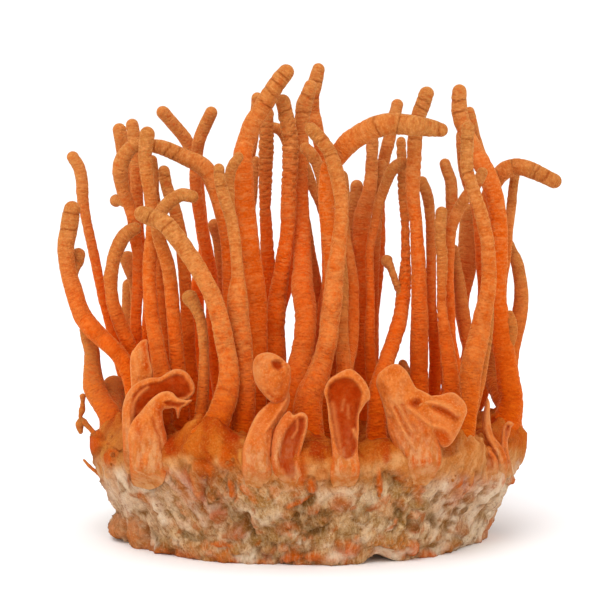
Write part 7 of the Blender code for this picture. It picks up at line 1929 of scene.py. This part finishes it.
def block_material():
    """Overgrown rice: pale threads and crumbs over brown below, orange skin above."""
    g = Graph("overgrown_rice")
    wide = g.noise(110.0, 4.0)
    body = g.mix(g.span(wide, 0.35, 0.65), (0.400, 0.175, 0.040), (0.480, 0.250, 0.090))
    mottle = g.noise(330.0, 5.0, 0.68)
    body = g.spread(body, mottle, 0.55, 0.61, 0.55, (0.230, 0.088, 0.010))
    body = g.spread(body, mottle, 0.46, 0.39, 0.60, (0.600, 0.380, 0.185))
    body = g.spread(body, g.noise(210.0, 3.0), 0.52, 0.64, 0.55, (0.470, 0.135, 0.018))
    crumb = g.noise(1300.0, 4.0, 0.7)
    grit = g.noise(3200.0, 2.0, 0.6)
    body = g.tint(body, "vein", 0.65, (0.640, 0.400, 0.190))
    body = g.tint(body, "pale", 0.92, (0.800, 0.665, 0.510))
    # Threads of skin
    ridge = g.math("ABSOLUTE", g.math("SUBTRACT", g.noise(480.0, 3.0, 0.6), 0.5))
    body = g.mix(g.span(ridge, 0.0, 0.022, 0.45, 0.0), body, (0.760, 0.540, 0.310))
    lay = g.noise(0.9, 4.0, 0.62, g.value("along", "Vector"), (1.0, 1.0, 0.28))
    thread = g.math("ABSOLUTE", g.math("SUBTRACT", lay, 0.5))
    body = g.mix(g.span(thread, 0.0, 0.026, 0.55, 0.0), body, (0.780, 0.600, 0.390))
    # Lighter where the crumb bumps rise, darker where they and the threads sink: pale crumbs, with painted
    # highlight and shade
    body = g.spread(body, lay, 0.45, 0.36, 0.60, (0.230, 0.088, 0.010))
    body = g.spread(body, crumb, 0.54, 0.64, 0.42, (0.760, 0.560, 0.330))
    body = g.spread(body, crumb, 0.44, 0.35, 0.62, (0.210, 0.076, 0.008))
    # Cotton-like skin, thickest low on the side
    cotton = g.noise(1.3, 5.0, 0.68, g.value("along", "Vector"), (1.0, 1.0, 0.40))
    cotton = g.times(g.span(cotton, 0.50, 0.62), g.span(g.value("upper"), 0.0, 0.8, 0.60, 0.0))
    body = g.mix(cotton, body, g.mix(g.value("pale"), (0.700, 0.480, 0.270), (0.850, 0.740, 0.600)))
    body = g.tint(body, "pink", 0.85, (0.440, 0.100, 0.028))
    body = g.tint(body, "grey", 0.85, (0.200, 0.105, 0.014))
    # Orange skin of the upper part
    streak = g.noise(0.7, 4.0, 0.62, g.value("along", "Vector"), (1.0, 1.0, 0.32))
    skin = g.mix(g.span(streak, 0.38, 0.60), (0.320, 0.028, 0.0002), (0.480, 0.105, 0.009))
    # Painted highlight where the crumb bumps rise
    skin = g.spread(skin, crumb, 0.54, 0.72, 0.55, (0.600, 0.220, 0.050))
    skin = g.tint(skin, "pale", 0.65, (0.640, 0.330, 0.125))
    upper = g.times(g.value("upper"), g.span(g.noise(300.0, 4.0, 0.6), 0.30, 0.60, 0.70, 1.0))
    body = g.mix(upper, body, skin)
    crest = g.times(g.value("crest"), g.span(streak, 0.40, 0.62))
    body = g.mix(g.times(crest, 0.70, True), body, (0.620, 0.250, 0.062))
    body = g.tint(body, "hug", 0.45, (0.560, 0.130, 0.010))
    # Collars and folds round the feet; the folds are painted lighter on their ridges and darker in their
    # valleys, as painted highlight and shade
    fold = g.mix(g.span(g.value("flute"), 0.35, 0.75), (0.370, 0.032, 0.0002), (0.510, 0.090, 0.005))
    body = g.tint(body, "collar", 0.85, fold)
    body = g.spread(body, g.value("flute"), 0.62, 0.95, 0.45, (0.600, 0.210, 0.050))
    veil = g.times(g.value("pale"), g.value("upper"))
    body = g.mix(g.times(veil, 0.80, True), body, (0.620, 0.310, 0.110))
    drawn = g.times(g.span(streak, 0.50, 0.62, 0.0, 0.28), g.value("upper"))
    body = g.mix(drawn, body, (0.570, 0.200, 0.045))
    rim = g.mix(g.span(streak, 0.40, 0.62), (0.580, 0.205, 0.045), (0.740, 0.355, 0.135))
    body = g.tint(body, "edge", 0.80, rim)
    # Painted shadow in the pockets under the lobes and between the feet
    body = g.tint(body, "deep", 0.90, (0.400, 0.034, 0.0002))
    # Scraps, dark grains, and painted shade in the gaps between grains and in sunken places
    amber = g.times(g.value("amber"), g.span(crumb, 0.35, 0.65, 0.25, 0.70))
    body = g.mix(amber, body, (0.560, 0.150, 0.014))
    rag = g.span(g.noise(900.0, 4.0, 0.65), 0.30, 0.65, 0.70, 1.0)
    body = g.mix(g.times(g.value("orange"), rag), body, (0.580, 0.092, 0.001))
    body = g.tint(body, "rust", 0.85, (0.540, 0.165, 0.042))
    dark = g.times(g.value("dark"), g.span(g.noise(800.0, 4.0, 0.7), 0.30, 0.60, 0.55, 1.0), True)
    body = g.mix(dark, body, (0.070, 0.032, 0.003))
    body = g.tint(body, "gap", 0.60, (0.150, 0.044, 0.002))
    body = g.mix(g.times(cotton, 0.40), body, (0.700, 0.480, 0.260))
    # Painted highlight and shade on the grit bumps
    body = g.spread(body, grit, 0.50, 0.72, 0.20, (0.760, 0.460, 0.210))
    body = g.spread(body, grit, 0.48, 0.28, 0.30, (0.180, 0.060, 0.004))
    bumps = ((lay, 0.70, 0.0009), (crumb, 0.60, 0.0004), (grit, 0.6, 0.0002))
    body = g.mix(1.0, body, (0.88, 0.90, 0.86), "MULTIPLY")
    # The upper part is more orange, apart from its pale rim
    glow = g.math("SUBTRACT", g.value("upper"), g.value("edge"), True)
    body = g.mix(glow, body, g.mix(1.0, body, (1.00, 0.84, 0.50), "MULTIPLY"))
    # Pale clouds on the pale parts of the side
    cloud = g.times(g.span(g.noise(300.0, 4.0, 0.6), 0.42, 0.62), g.value("pale"))
    cloud = g.times(cloud, g.span(g.value("upper"), 0.1, 0.8, 0.50, 0.0))
    body = g.mix(cloud, body, (0.840, 0.715, 0.525))
    return g.finish(body, 0.7, bumps, 0.0, (1.0, 0.9, 0.8, 1.0), 0.05, (0.0010, 0.0005, 0.0002))


def floor_and_light():
    """Pale floor, white surroundings and one broad soft lamp."""
    data = bpy.data.meshes.new("floor")
    sides = 96
    turns = [2 * math.pi * k / sides for k in range(sides)]
    data.from_pydata([(3.0 * math.cos(a), 3.0 * math.sin(a), 0.0) for a in turns], [], [tuple(range(sides))])
    floor = shown("floor", data)
    g = Graph("pale_floor")
    body = g.mix(g.span(g.noise(6.0, 2.0), 0.3, 0.7), (0.95, 0.95, 0.95), (0.97, 0.97, 0.97))
    g.join(body, g.shader.inputs["Base Color"])
    g.shader.inputs["Roughness"].default_value = 0.8
    floor.data.materials.append(g.material)
    world = bpy.data.worlds.new("studio")
    world.use_nodes = True
    backdrop = world.node_tree.nodes["Background"]
    backdrop.inputs["Color"].default_value = (1.0, 1.0, 1.0, 1.0)
    backdrop.inputs["Strength"].default_value = 1.15
    bpy.context.scene.world = world
    lamp = bpy.data.lights.new("soft_lamp", "AREA")
    lamp.shape = "DISK"
    lamp.size = 0.5
    lamp.energy = 2.6
    holder = shown("soft_lamp", lamp)
    holder.location = (-0.14, -0.50, 0.64)
    holder.rotation_euler = (Vector((0.0, 0.0, 0.04)) - holder.location).to_track_quat("-Z", "Y").to_euler()


def camera():
    """Camera at the photograph's viewing angle."""
    data = bpy.data.cameras.new("camera")
    data.sensor_width = SENSOR_WIDTH
    data.lens = SENSOR_WIDTH * SIGHT_DISTANCE / PICTURE_WIDTH
    data.clip_start = 0.01
    holder = shown("camera", data)
    holder.location = Vector(EYE.tolist()) * MM
    holder.rotation_euler = Vector(forward().tolist()).to_track_quat("-Z", "Y").to_euler()
    bpy.context.scene.camera = holder


def main():
    bpy.context.scene.view_settings.view_transform = "Standard"
    flesh = flesh_material()
    lobe_skin = lobe_material()
    points, front = build_block(block_material())
    for number, (name, stem) in enumerate(STEMS.items()):
        build_stem(name, stem, number, flesh)
    for number, (name, sheets) in enumerate(LOBES.items()):
        build_lobe(name, sheets, number, lobe_skin)
    build_bits(points, front, flesh)
    floor_and_light()
    camera()


main()
